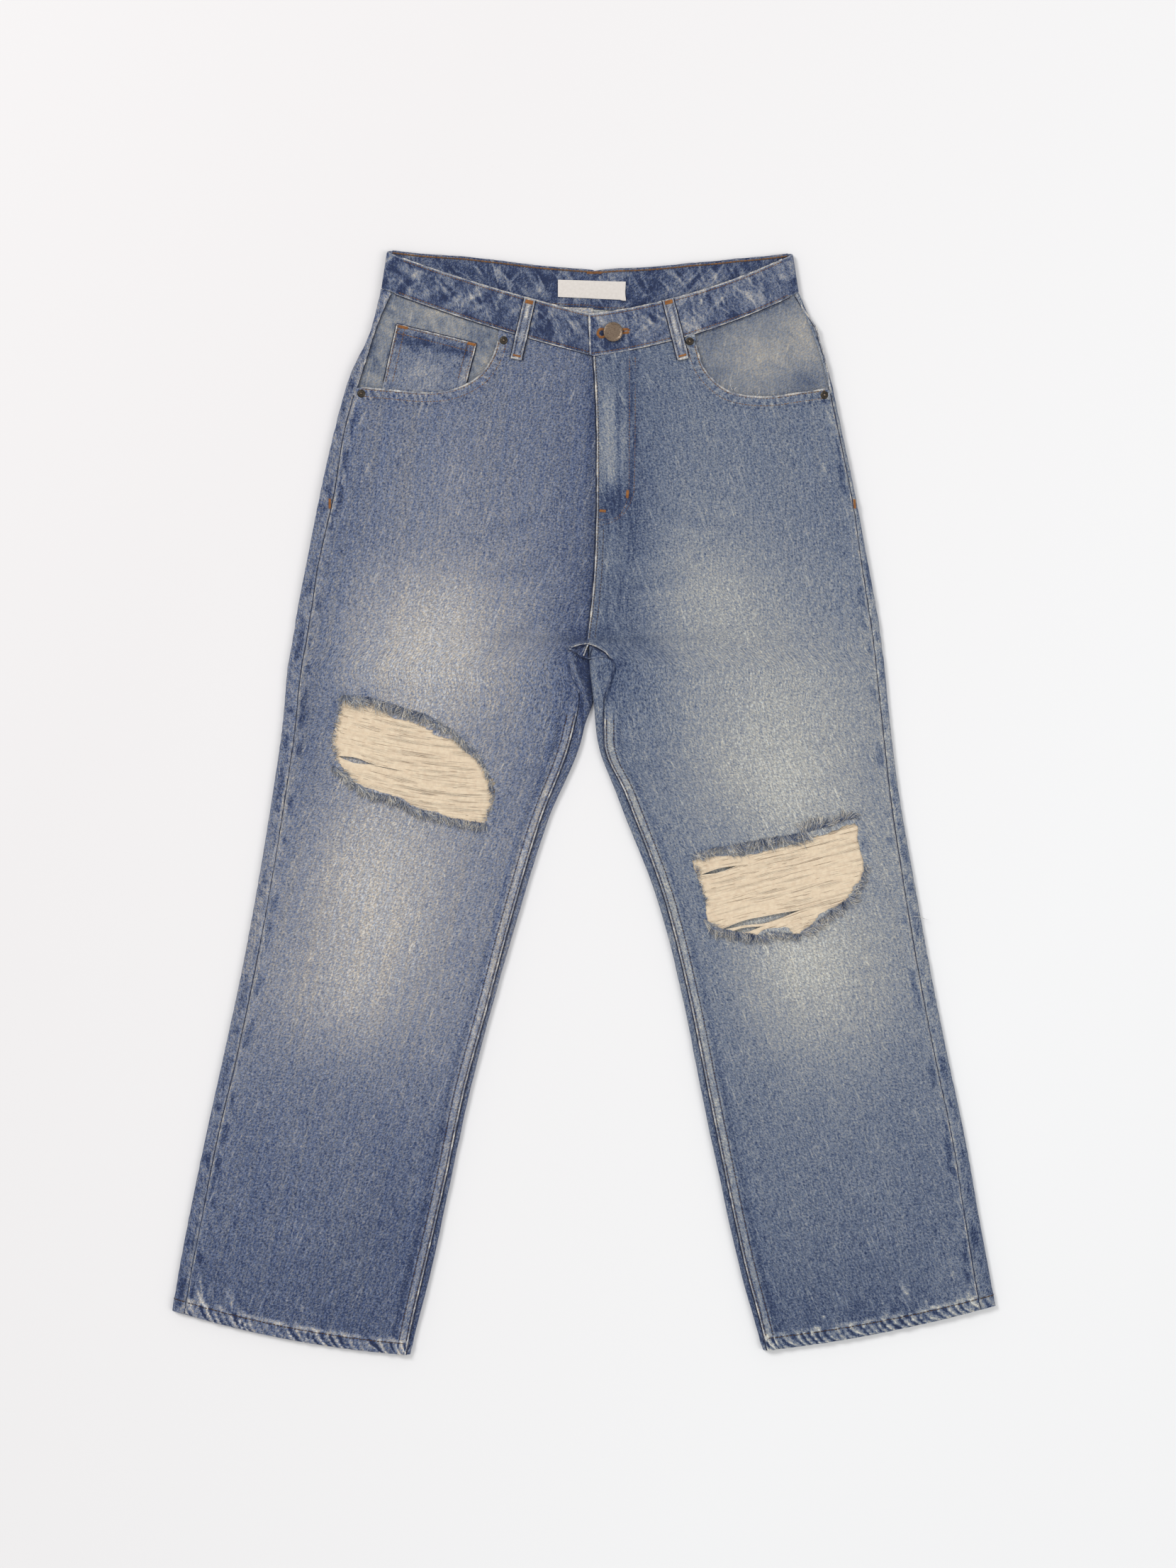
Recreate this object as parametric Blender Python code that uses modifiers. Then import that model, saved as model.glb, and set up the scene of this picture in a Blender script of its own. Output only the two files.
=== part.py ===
"""Ripped denim jeans laid flat on their back, front up.

+X is the wearer's left, +Y points to the waist and +Z up from the surface that the jeans lie
on. The origin is the middle of the outline, on that surface. The tables are in millimetres and
the meshes in metres. Each leg is a flattened tube: the front panel covers the top between the
outseam and the fly or inseam, and the back panel goes from the outseam round the side, along
the surface and round the inner side up to the inseam.
"""

from collections import namedtuple
from math import atan2, cos, hypot, pi, sin

import bmesh
import bpy
import numpy as np

MM = 0.001
SEAM_GAP = 0.3
CLOTH = 1.2
BAND_CLOTH = 2.0

# Heights of the outer faces above the surface, in the hips, where the layers lie on each other.
POCKET_TOP = CLOTH
HIP_BACK = POCKET_TOP + SEAM_GAP
FACING_TOP = 4.8
COIN_TOP = FACING_TOP + SEAM_GAP + CLOTH
HIP_TOP = COIN_TOP + SEAM_GAP + CLOTH
BAND_TOP = 8.6
LEG_TOP = 6.0

FLY_LAP_DROP = CLOTH + SEAM_GAP + 0.1

# A section of a leg, from the waist to the hem. outer is the outer edge of the outline and
# inner its inner edge, or the fly's line above the crotch; seam is the end of the front panel at
# the fly or inseam; outseam is how far the outseam lies from the outer edge; bow is how far the
# section's middle lies nearer the waist than its ends.
Section = namedtuple("Section", "name outer_x outer_y inner_x inner_y seam_x seam_y outseam bow")

RIGHT_LEG = (
    Section("waist", -200.0, 508.5, 9.5, 442.0, 17.5, 440.0, 10.0, -3.5),
    Section("hip", -211.0, 466.0, 12.0, 398.0, 20.0, 396.0, 4.0, -1.0),
    Section("scoop", -231.0, 422.5, 13.0, 352.5, 21.0, 350.5, 10.0, 0.0),
    Section("fly", -245.0, 373.5, 13.0, 303.5, 20.0, 302.0, 10.0, 0.0),
    Section("seat", -261.0, 303.5, 11.5, 244.0, 17.5, 242.5, 14.0, 0.0),
    Section("rise", -274.0, 237.0, 7.5, 193.0, 11.5, 192.5, 12.0, 0.0),
    Section("fork", -283.0, 191.5, 4.0, 164.0, 4.0, 164.0, 14.0, 0.0),
    Section("crotch", -288.0, 160.0, 4.5, 143.0, 3.8, 157.0, 14.0, 0.0),
    Section("fold", -293.0, 132.0, 4.6, 128.5, -14.5, 138.0, 14.0, 0.0),
    Section("cavity", -295.0, 108.0, 4.4, 103.0, -4.5, 106.0, 13.0, 0.0),
    Section("thigh", -297.0, 84.0, -0.5, 70.5, -11.5, 67.5, 13.0, 0.0),
    Section("above_rip", -307.5, 9.5, -36.0, -18.5, -43.0, -18.5, 13.0, 0.0),
    Section("rip", -323.0, -85.0, -67.5, -120.0, -73.0, -119.5, 13.0, 0.0),
    Section("knee", -338.0, -165.5, -91.5, -204.0, -95.5, -203.5, 13.0, 0.0),
    Section("calf", -354.5, -242.5, -112.5, -284.5, -117.5, -284.0, 13.5, 0.0),
    Section("shin", -373.0, -326.5, -132.0, -374.0, -136.5, -373.5, 12.0, -1.0),
    Section("low", -389.0, -403.5, -150.0, -458.0, -156.0, -456.5, 12.5, -4.0),
    Section("hem_top", -401.5, -470.0, -165.0, -517.0, -170.0, -516.0, 12.0, -7.0),
    Section("hem", -406.3, -501.0, -172.0, -544.2, -175.5, -544.2, 12.0, -7.0),
)

LEFT_LEG = (
    Section("waist", 212.5, 504.5, 9.5, 442.0, 9.5, 442.0, 4.0, -9.0),
    Section("hip", 230.0, 463.0, 12.0, 398.0, 12.0, 398.0, 3.6, -4.0),
    Section("scoop", 243.0, 422.5, 13.0, 352.5, 13.0, 352.5, 4.0, 0.0),
    Section("fly", 254.0, 372.0, 13.0, 303.5, 13.0, 303.5, 3.6, 0.0),
    Section("seat", 268.5, 303.5, 11.5, 244.0, 11.5, 244.0, 4.0, 0.0),
    Section("rise", 281.5, 233.5, 7.5, 193.0, 7.5, 193.0, 6.5, 0.0),
    Section("fork", 291.5, 179.0, 4.0, 164.0, 4.0, 164.0, 8.0, 0.0),
    Section("crotch", 295.0, 153.0, 5.2, 143.0, 4.4, 157.0, 8.0, 0.0),
    Section("fold", 298.0, 128.5, 6.5, 128.5, 30.0, 138.0, 8.5, 0.0),
    Section("cavity", 300.5, 100.5, 10.0, 97.0, 20.0, 100.5, 8.0, 0.0),
    Section("thigh", 303.5, 72.5, 13.0, 65.5, 20.0, 63.5, 8.0, 0.0),
    Section("above_rip", 311.0, 13.0, 33.0, 8.0, 41.5, 8.0, 9.0, 0.0),
    Section("rip", 326.5, -76.0, 74.0, -99.0, 81.0, -99.0, 11.0, 0.0),
    Section("knee", 342.0, -162.0, 98.5, -195.0, 104.5, -194.5, 12.0, 0.0),
    Section("calf", 359.5, -249.5, 115.0, -279.0, 121.5, -278.5, 12.5, 0.0),
    Section("shin", 377.0, -332.0, 133.5, -366.5, 139.5, -366.0, 12.5, -1.0),
    Section("low", 391.0, -410.5, 153.0, -454.0, 158.5, -453.5, 14.0, -3.0),
    Section("hem_top", 402.0, -470.0, 169.0, -512.0, 174.0, -511.5, 15.0, -5.0),
    Section("hem", 406.5, -496.0, 177.5, -540.0, 181.0, -540.0, 15.0, -5.0),
)

# What both legs share at each section: back_rise is how much nearer the waist the back panel's
# inner end is than the front's; turn is how much of the half turn round the inner side the back
# panel makes; top and under are the heights of the tube's upper and lower faces; lap is how much
# of FLY_LAP_DROP the right front goes down to pass under the left one.
Level = namedtuple("Level", "name back_rise turn top under lap")
LEVELS = (
    Level("waist", 49.0, 0.0, HIP_TOP, HIP_BACK, 1.0),
    Level("hip", 38.5, 0.0, HIP_TOP, HIP_BACK, 1.0),
    Level("scoop", 28.0, 0.0, HIP_TOP, HIP_BACK, 1.0),
    Level("fly", 21.0, 0.0, HIP_TOP, HIP_BACK, 1.0),
    Level("seat", 10.5, 0.0, HIP_TOP - 0.2, HIP_BACK, 1.0),
    Level("rise", 4.0, 0.0, HIP_TOP - 0.6, HIP_BACK, 1.0),
    Level("fork", 0.0, 0.0, 6.4, 0.4, 1.0),
    Level("crotch", 0.0, 1.0, 6.2, 0.0, 1.0),
    Level("fold", 0.0, 1.0, 6.2, 0.0, 0.0),
    Level("cavity", 0.0, 1.0, 6.2, 0.0, 0.0),
    Level("thigh", 0.0, 1.0, 6.2, 0.0, 0.0),
    Level("above_rip", 0.0, 1.0, LEG_TOP, 0.0, 0.0),
    Level("rip", 0.0, 1.0, LEG_TOP, 0.0, 0.0),
    Level("knee", 0.0, 1.0, LEG_TOP, 0.0, 0.0),
    Level("calf", 0.0, 1.0, LEG_TOP, 0.0, 0.0),
    Level("shin", 0.0, 1.0, LEG_TOP, 0.0, 0.0),
    Level("low", 0.0, 1.0, LEG_TOP, 0.0, 0.0),
    Level("hem_top", 0.0, 1.0, LEG_TOP, 0.0, 0.0),
    Level("hem", 0.0, 1.0, LEG_TOP, 0.0, 0.0),
)
ROW = {level.name: float(number) for number, level in enumerate(LEVELS)}

# Where along the sections each panel has its rows of points.
ROW_GAP = 0.008
YOKE_SIDE_ROW = 0.75
YOKE_CENTRE_ROW = 1.2
YOKE_STEPS = 2
BACK_ROWS = (1.6, 2.0, 2.5, 3.0, 4.0, 5.0, 5.5, 6.0, 6.5, 7.0, 7.5, 8.0, 8.5, 9.0, 10.0, 11.0,
             12.0, 13.0, 14.0, 15.0, 16.0, 17.0, 18.0)
FRONT_ROWS = (ROW_GAP, 0.5, 1.0, 1.5, 2.0, 2.5, 3.0, 4.0, 5.0, 5.5, 6.0, 6.5, 7.0, 7.5, 8.0, 8.5,
              9.0, 10.0, 11.0, 12.0, 13.0, 14.0, 15.0, 16.0, 17.0, 18.0)
FRONT_STEPS = (0.0, 0.02, 0.08, 0.25, 0.45, 0.65, 0.82, 0.9, 0.95, 1.0)
LAP_FLAT = 11.0
LAP_FADE = 14.0

# Steps of the back panel's path: the outseam's stretch and side, the floor, the inner side.
SIDE_STEPS = 7
FLOOR_STEPS = 4
INNER_STEPS = 8
BACK_STEPS = SIDE_STEPS + FLOOR_STEPS + INNER_STEPS
UP = np.array((0.0, 0.0, 1.0))
SIDE_RUN_OUT = 4.0
INNER_RUN_IN = 6.0
INNER_RUN_FLAT = 20.0
# Points that a path is first laid out with, on each half circle and each straight stretch.
ARC_POINTS = 25
FLOOR_POINTS = 12
STRETCH_POINTS = 8

# Rise of the waistband's upper edge over its lower edge at places along it.
Rise = namedtuple("Rise", "place along across up")
BAND_RISES = (
    Rise("right front end", 0.0, -4.0, 41.0),
    Rise("right front", 0.5, 0.0, 38.5),
    Rise("right side", 1.0, 8.0, 34.5),
    Rise("right back", 1.5, 2.0, 38.0),
    Rise("back centre", 2.0, 0.0, 35.5),
    Rise("left back", 2.5, -2.0, 38.0),
    Rise("left side", 3.0, -7.5, 37.0),
    Rise("left front", 3.5, 0.0, 40.5),
    Rise("left front end", 4.0, -1.0, 41.0),
)
BAND_LEFT_OVERRUN = 3.0
BAND_END_DROP = BAND_CLOTH + SEAM_GAP
BAND_FRONT_STEPS = (1.0, 0.965, 0.9, 0.75, 0.6, 0.4, 0.2, 0.06, 0.02)
BAND_BACK_STEPS = (0, 1, 2, 3, 4, 5, 6, 7, 8, 9, 10, 11, 15, 19)

# Facings under the scoop pockets.
FACING_INSET = CLOTH + SEAM_GAP
FACING_TUCK = 3.0
FACING_SINK = HIP_TOP - FACING_INSET - FACING_TOP
FACING_SINK_RUN = 12.0
FACING_ROWS = (ROW_GAP, 0.35, 0.8, 1.3, 1.8, 2.3, 2.8, 3.1)
FACING_STEPS = (0.0, 0.015, 0.035, 0.07, 0.2, 0.35, 0.5, 0.62)

# Outlines, as points in order round each, in millimetres.
RIGHT_SCOOP = ((-85.0, 456.0), (-90.5, 440.0), (-103.0, 422.5), (-125.0, 410.0), (-153.0, 405.5),
               (-193.5, 408.5), (-220.0, 411.0))
LEFT_SCOOP = ((111.0, 452.5), (118.5, 430.0), (135.0, 412.0), (153.0, 404.0), (181.5, 401.5),
              (212.5, 405.5), (240.5, 409.5))
# How far past the scoop's ends its cutter reaches, beyond the outseam and above the waist.
SCOOP_SIDE_REACH = 60.0
SCOOP_WAIST_REACH = 120.0
RIGHT_RIP = ((-235.5, 102.5), (-216.5, 101.0), (-199.0, 92.0), (-184.5, 83.5), (-162.0, 78.0),
             (-148.0, 67.5), (-124.0, 61.0), (-117.0, 51.5), (-103.0, 40.0), (-92.0, 23.0),
             (-88.5, 10.0), (-92.0, -4.0), (-100.5, -19.0), (-129.0, -14.5), (-142.0, -9.5),
             (-162.0, -5.0), (-179.5, 4.5), (-199.0, 11.5), (-224.5, 20.0), (-234.0, 31.0),
             (-244.5, 46.5), (-249.0, 61.0), (-243.0, 83.5))
LEFT_RIP = ((109.5, -56.5), (135.5, -52.0), (158.5, -51.5), (189.5, -45.0), (216.0, -37.5),
            (242.5, -29.0), (267.5, -20.5), (271.0, -37.5), (277.0, -61.0), (273.5, -74.0),
            (263.0, -87.0), (254.0, -99.0), (240.5, -104.5), (229.0, -113.5), (216.0, -127.0),
            (208.0, -128.5), (200.0, -122.0), (181.0, -124.0), (167.5, -130.0), (142.5, -124.0),
            (130.5, -122.0), (122.0, -115.0), (120.5, -95.0), (113.0, -74.0))
COIN_POCKET = ((-184.5, 473.5), (-106.0, 454.0), (-117.0, 412.0), (-121.0, 391.0),
               (-204.0, 391.0), (-198.5, 412.0))
BACK_POCKET = ((-70.0, 62.0), (70.0, 62.0), (66.0, -62.0), (0.0, -85.0), (-66.0, -62.0))
LABEL = ((-25.5, 517.5), (41.5, 515.5), (40.5, 497.5), (-25.5, 500.5))
LABEL_THICKNESS = 1.0
LABEL_UNDER = HIP_BACK + BAND_CLOTH + SEAM_GAP
CUT_LOW = -20.0
CUT_HIGH = 30.0
OUTLINE_SMOOTHING = 3

# Each loose strip or plate: where its middle is, how far it is turned and its underside's height.
Strip = namedtuple("Strip", "name x y turn_degrees under")
LOOP_LENGTH = 61.0
LOOP_WIDTH = 11.0
LOOP_THICKNESS = 1.2
LOOP_ROUNDING = 0.3
LOOPS = (
    Strip("belt_loop_front_right", -60.0, 468.0, -13.0, BAND_TOP + SEAM_GAP),
    Strip("belt_loop_front_left", 90.5, 468.0, 14.4, BAND_TOP + SEAM_GAP),
    Strip("belt_loop_back_right", -112.0, 504.0, 4.0, 0.0),
    Strip("belt_loop_back_centre", 6.0, 493.5, 0.0, 0.0),
    Strip("belt_loop_back_left", 124.0, 501.0, -4.0, 0.0),
)
BACK_POCKETS = (
    Strip("back_pocket_right", -118.0, 340.0, -4.0, 0.0),
    Strip("back_pocket_left", 136.0, 338.0, 4.0, 0.0),
)

# Turned metal: each profile's radius and height from its top to its foot.
ProfilePoint = namedtuple("ProfilePoint", "radius height")
BUTTON_AT = (29.0, 465.0, BAND_TOP + SEAM_GAP)
BUTTON_PROFILE = (
    ProfilePoint(0.0, 2.5),
    ProfilePoint(7.6, 2.5),
    ProfilePoint(8.1, 2.9),
    ProfilePoint(8.9, 2.9),
    ProfilePoint(9.5, 2.3),
    ProfilePoint(9.3, 1.5),
    ProfilePoint(5.0, 1.0),
    ProfilePoint(4.2, 0.0),
    ProfilePoint(0.0, 0.0),
)
BUTTON_SIDES = 28
RIVET_PROFILE = (
    ProfilePoint(0.0, 1.3),
    ProfilePoint(1.1, 1.2),
    ProfilePoint(1.5, 0.7),
    ProfilePoint(2.6, 0.9),
    ProfilePoint(4.0, 0.0),
    ProfilePoint(0.0, 0.0),
)
RIVET_SIDES = 16
RIVETS = (
    Strip("rivet_fly_right", -79.0, 457.0, 0.0, HIP_TOP + SEAM_GAP),
    Strip("rivet_side_right", -219.5, 404.5, 0.0, HIP_TOP + SEAM_GAP),
    Strip("rivet_fly_left", 104.5, 456.0, 0.0, HIP_TOP + SEAM_GAP),
    Strip("rivet_side_left", 237.5, 403.0, 0.0, HIP_TOP + SEAM_GAP),
)

# Colour, roughness and metallic value of each finish.
FINISHES = {
    "denim": ((0.17, 0.23, 0.34, 1.0), 0.9, 0.0),
    "dark denim": ((0.10, 0.14, 0.24, 1.0), 0.9, 0.0),
    "bleached denim": ((0.38, 0.40, 0.38, 1.0), 0.9, 0.0),
    "cream threads": ((0.72, 0.66, 0.53, 1.0), 0.95, 0.0),
    "white tape": ((0.80, 0.79, 0.76, 1.0), 0.8, 0.0),
    "aged brass": ((0.32, 0.24, 0.16, 1.0), 0.4, 1.0),
    "dark metal": ((0.12, 0.09, 0.07, 1.0), 0.45, 1.0),
}


def clear_scene():
    """Remove every object of the file that this script is run in."""
    for old in list(bpy.data.objects):
        bpy.data.objects.remove(old, do_unlink=True)


def make_collection(name):
    """A collection under the scene's own."""
    collection = bpy.data.collections.new(name)
    bpy.context.scene.collection.children.link(collection)
    return collection


def make_finishes():
    """One Principled material for each row of FINISHES."""
    materials = {}
    for name, (colour, roughness, metallic) in FINISHES.items():
        material = bpy.data.materials.new(name)
        material.use_nodes = True
        shader = material.node_tree.nodes["Principled BSDF"]
        shader.inputs["Base Color"].default_value = colour
        shader.inputs["Roughness"].default_value = roughness
        shader.inputs["Metallic"].default_value = metallic
        material.diffuse_color = colour
        materials[name] = material
    return materials


class SmoothColumn:
    """A monotone cubic through a table's column, which never overshoots its values."""

    def __init__(self, stations, values):
        self.stations = np.asarray(stations, float)
        self.values = np.asarray(values, float)
        steps = np.diff(self.stations)
        rates = np.diff(self.values) / steps
        self.slopes = np.zeros(len(self.values))
        self.slopes[0] = rates[0]
        self.slopes[-1] = rates[-1]
        for i in range(1, len(rates)):
            if rates[i - 1] * rates[i] > 0.0:
                before = 2.0 * steps[i] + steps[i - 1]
                after = steps[i] + 2.0 * steps[i - 1]
                self.slopes[i] = (before + after) / (before / rates[i - 1] + after / rates[i])

    def __call__(self, at):
        i = int(np.clip(np.searchsorted(self.stations, at, side="right") - 1, 0,
                        len(self.stations) - 2))
        step = self.stations[i + 1] - self.stations[i]
        t = (at - self.stations[i]) / step
        return (self.values[i] * (1.0 + 2.0 * t) * (1.0 - t) ** 2
                + self.slopes[i] * step * t * (1.0 - t) ** 2
                + self.values[i + 1] * t * t * (3.0 - 2.0 * t)
                + self.slopes[i + 1] * step * t * t * (t - 1.0))


def smooth_step(x):
    """0 below 0, 1 above 1 and a soft rise between."""
    x = min(max(x, 0.0), 1.0)
    return x * x * (3.0 - 2.0 * x)


class Leg:
    """One leg's sections, read at any place between them.

    side is -1 for the wearer's right leg, which lies at negative X, and 1 for the left one.
    """

    COLUMNS = ("outer_x", "outer_y", "inner_x", "inner_y", "seam_x", "seam_y", "outseam", "bow")
    SHARED = ("back_rise", "turn", "top", "under", "lap")

    def __init__(self, side, sections):
        self.side = side
        stations = [0.0]
        for before, after in zip(sections, sections[1:]):
            outer = hypot(after.outer_x - before.outer_x, after.outer_y - before.outer_y)
            inner = hypot(after.inner_x - before.inner_x, after.inner_y - before.inner_y)
            stations.append(stations[-1] + (outer + inner) / 2.0)
        self.stations = stations
        self.columns = {}
        for name in self.COLUMNS:
            self.columns[name] = SmoothColumn(stations, [getattr(row, name) for row in sections])
        for name in self.SHARED:
            self.columns[name] = SmoothColumn(stations, [getattr(row, name) for row in LEVELS])

    def section(self, row, top=None, inset=0.0):
        """The leg's tube at a row of the tables, which may lie between two of them.

        A given top replaces the table's. inset makes the tube smaller by as much all round.
        """
        station = float(np.interp(row, range(len(self.stations)), self.stations))
        value = {name: column(station) for name, column in self.columns.items()}
        tube = Tube()
        tube.top = (value["top"] if top is None else top) - inset
        tube.under = value["under"] + inset
        tube.radius = (tube.top - tube.under) / 2.0
        outer = np.array((value["outer_x"], value["outer_y"]))
        tube.inner = np.array((value["inner_x"], value["inner_y"]))
        tube.across = (tube.inner - outer) / np.linalg.norm(tube.inner - outer)
        tube.outer = outer + inset * tube.across
        tube.back_inner = tube.inner + np.array((0.0, value["back_rise"]))
        tube.seam = np.array((value["seam_x"], value["seam_y"]))
        tube.outseam = value["outseam"] - inset
        tube.bow = value["bow"]
        tube.turn = min(max(value["turn"], 0.0), 1.0)
        tube.lap_drop = FLY_LAP_DROP * value["lap"] if self.side < 0 else 0.0
        return tube


class Tube:
    """A leg's cross-section: two flat faces joined by half circles at its sides.

    Each reading of it gives a point of a panel's outer face and the direction that faces out.
    """

    def bowed(self, plan):
        """A plan point moved towards the waist by the section's bow."""
        share = np.dot(plan - self.outer, self.across) / np.linalg.norm(self.inner - self.outer)
        share = min(max(share, 0.0), 1.0)
        return plan + np.array((0.0, 4.0 * self.bow * share * (1.0 - share)))

    def arc(self, centre, angle, across):
        """A point and direction on a half circle, at an angle over the outward horizontal."""
        plan = centre - across * self.radius * cos(angle)
        height = self.under + self.radius * (1.0 + sin(angle))
        out = (-across[0] * cos(angle), -across[1] * cos(angle), sin(angle))
        return (*self.bowed(plan), height), out

    def outseam_angle(self):
        """The outseam's angle on the outer half circle, a quarter turn if it lies past it."""
        share = 1.0 - min(max(self.outseam / self.radius, 0.0), 1.0)
        return float(np.arccos(share))

    def front(self, share):
        """The front panel's outer face, from the outseam (0) to the fly or inseam (1)."""
        start_angle = self.outseam_angle()
        arc = self.radius * (pi / 2.0 - start_angle)
        flat_start = self.outer + self.across * max(self.outseam, self.radius)
        flat = np.linalg.norm(self.seam - flat_start)
        half_gap = SEAM_GAP / 2.0
        run = half_gap + share * (arc + flat - 2.0 * half_gap)
        if run < arc:
            centre = self.outer + self.across * self.radius
            point, out = self.arc(centre, start_angle + run / self.radius, self.across)
            return np.array(point), np.array(out)
        plan = self.bowed(flat_start + (self.seam - flat_start) * (run - arc) / flat)
        to_lap = arc + flat - run - LAP_FLAT
        height = self.top - self.lap_drop * smooth_step(1.0 - to_lap / LAP_FADE)
        return np.array((plan[0], plan[1], height)), UP

    def back_path(self):
        """The back panel's outer face from the outseam round to its inner end.

        It returns the points, their directions, how far along the path each lies, and where on
        it the outer side ends and the inner side starts.
        """
        across = self.back_inner - self.outer
        width = np.linalg.norm(across)
        across = across / width
        path = []
        for reach in np.linspace(max(self.outseam, self.radius), self.radius,
                                 STRETCH_POINTS)[:-1]:
            path.append(((*self.bowed(self.outer + self.across * reach), self.top), UP))
        for angle in np.linspace(self.outseam_angle(), -pi / 2.0, ARC_POINTS):
            direction = self.across if angle > 0.0 else across
            path.append(self.arc(self.outer + direction * self.radius, angle, direction))
        side_end = len(path) - 1
        turn = self.turn * pi
        centre = width - self.radius * sin(min(turn, pi / 2.0))
        for reach in np.linspace(self.radius, centre, FLOOR_POINTS)[1:]:
            path.append(((*self.bowed(self.outer + across * reach), self.under), -UP))
        inner_start = len(path) - 1
        for angle in np.linspace(-pi / 2.0, turn - pi / 2.0, ARC_POINTS)[1:]:
            path.append(self.arc(self.outer + across * centre, angle, -across))
        if self.turn > 0.999:
            last = np.array(path[-1][0][:2])
            end = self.bowed(self.seam)
            for share in np.linspace(0.0, 1.0, STRETCH_POINTS)[1:]:
                path.append(((*(last + (end - last) * share), self.top), UP))
        points = np.array([point for point, _ in path])
        outs = np.array([out for _, out in path])
        runs = np.concatenate(([0.0], np.cumsum(np.linalg.norm(np.diff(points, axis=0), axis=1))))
        side_run = runs[side_end] + SIDE_RUN_OUT
        inner_run = runs[inner_start] - INNER_RUN_IN - INNER_RUN_FLAT * (1.0 - self.turn)
        return points, outs, runs, side_run, inner_run

    def back(self, step):
        """The back panel's outer face at a step of its path, which may be a fraction."""
        points, outs, runs, side_run, inner_run = self.back_path()
        half_gap = SEAM_GAP / 2.0
        marks = (0, SIDE_STEPS, SIDE_STEPS + FLOOR_STEPS, BACK_STEPS)
        run = np.interp(step, marks, (half_gap, side_run, inner_run, runs[-1] - half_gap))
        point = np.array([np.interp(run, runs, points[:, axis]) for axis in range(3)])
        out = np.array([np.interp(run, runs, outs[:, axis]) for axis in range(3)])
        return point, out / np.linalg.norm(out)


def cloth_wall(name, rows, flip, material, collection, thickness=CLOTH):
    """A grid of outer points and directions, in millimetres, as a closed wall of cloth."""
    columns = len(rows[0])
    outer = [point for row in rows for point, _ in row]
    inner = [point - out * thickness for row in rows for point, out in row]
    count = len(outer)
    edge = list(range(columns))
    edge += [(i + 1) * columns + columns - 1 for i in range(len(rows) - 1)]
    edge += [(len(rows) - 1) * columns + j for j in range(columns - 2, -1, -1)]
    edge += [i * columns for i in range(len(rows) - 2, 0, -1)]
    faces = []
    for i in range(len(rows) - 1):
        for j in range(columns - 1):
            corner = i * columns + j
            face = (corner, corner + columns, corner + columns + 1, corner + 1)
            faces.append(face)
            faces.append(tuple(index + count for index in face[::-1]))
    for here, there in zip(edge, edge[1:] + edge[:1]):
        faces.append((here, there, there + count, here + count))
    if flip:
        faces = [face[::-1] for face in faces]
    mesh = bpy.data.meshes.new(name)
    mesh.from_pydata([tuple(point * MM) for point in outer + inner], [], faces)
    mesh.materials.append(material)
    mesh.shade_smooth()
    mesh.set_sharp_from_angle(angle=pi / 4.0)
    wall = bpy.data.objects.new(name, mesh)
    collection.objects.link(wall)
    return wall


def plate(name, outline, under, thickness, collection, material=None, smooth=0):
    """A flat outline as a closed plate, made from a filled 2D curve and welded."""
    curve = bpy.data.curves.new(name, "CURVE")
    curve.dimensions = "2D"
    curve.fill_mode = "BOTH"
    curve.extrude = thickness * MM / 2.0
    spline = curve.splines.new("BEZIER" if smooth else "POLY")
    if smooth:
        curve.resolution_u = smooth
        spline.bezier_points.add(len(outline) - 1)
        for point, (x, y) in zip(spline.bezier_points, outline):
            point.co = (x * MM, y * MM, 0.0)
            point.handle_left_type = "AUTO"
            point.handle_right_type = "AUTO"
    else:
        spline.points.add(len(outline) - 1)
        for point, (x, y) in zip(spline.points, outline):
            point.co = (x * MM, y * MM, 0.0, 1.0)
    spline.use_cyclic_u = True
    shape = bpy.data.objects.new(name, curve)
    collection.objects.link(shape)
    shape.location.z = (under + thickness / 2.0) * MM
    bpy.context.view_layer.update()
    graph = bpy.context.evaluated_depsgraph_get()
    mesh = bpy.data.meshes.new_from_object(shape.evaluated_get(graph))
    mesh.transform(shape.matrix_world)
    bpy.data.objects.remove(shape, do_unlink=True)
    work = bmesh.new()
    work.from_mesh(mesh)
    bmesh.ops.remove_doubles(work, verts=work.verts, dist=0.00001)
    bmesh.ops.recalc_face_normals(work, faces=work.faces)
    work.to_mesh(mesh)
    work.free()
    mesh.materials.clear()
    if material is not None:
        mesh.materials.append(material)
    solid = bpy.data.objects.new(name, mesh)
    collection.objects.link(solid)
    return solid


def turned(outline, x, y, degrees):
    """An outline turned about its own zero and moved to a place."""
    angle = degrees * pi / 180.0
    return [(x + px * cos(angle) - py * sin(angle), y + px * sin(angle) + py * cos(angle))
            for px, py in outline]


def shrunk(outline, distance):
    """An outline moved inwards by a distance at each of its points."""
    moved = []
    count = len(outline)
    area = sum(outline[i][0] * outline[(i + 1) % count][1]
               - outline[(i + 1) % count][0] * outline[i][1] for i in range(count))
    inward = 1.0 if area > 0.0 else -1.0
    for i in range(count):
        before = outline[i - 1]
        after = outline[(i + 1) % count]
        angle = atan2(after[1] - before[1], after[0] - before[0]) + inward * pi / 2.0
        moved.append((outline[i][0] + distance * cos(angle), outline[i][1] + distance * sin(angle)))
    return moved


def add_boolean(target, cutter, operation):
    """Cut a solid by another, or keep what both share."""
    boolean = target.modifiers.new(cutter.name, "BOOLEAN")
    boolean.object = cutter
    boolean.operation = operation
    boolean.solver = "EXACT"


def make_cutter(name, outline, collection):
    """A tall plate of an outline, hidden, for cutting the panels."""
    cutter = plate(name, outline, CUT_LOW, CUT_HIGH - CUT_LOW, collection,
                   smooth=OUTLINE_SMOOTHING)
    cutter.hide_render = True
    cutter.display_type = "WIRE"
    return cutter


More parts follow.
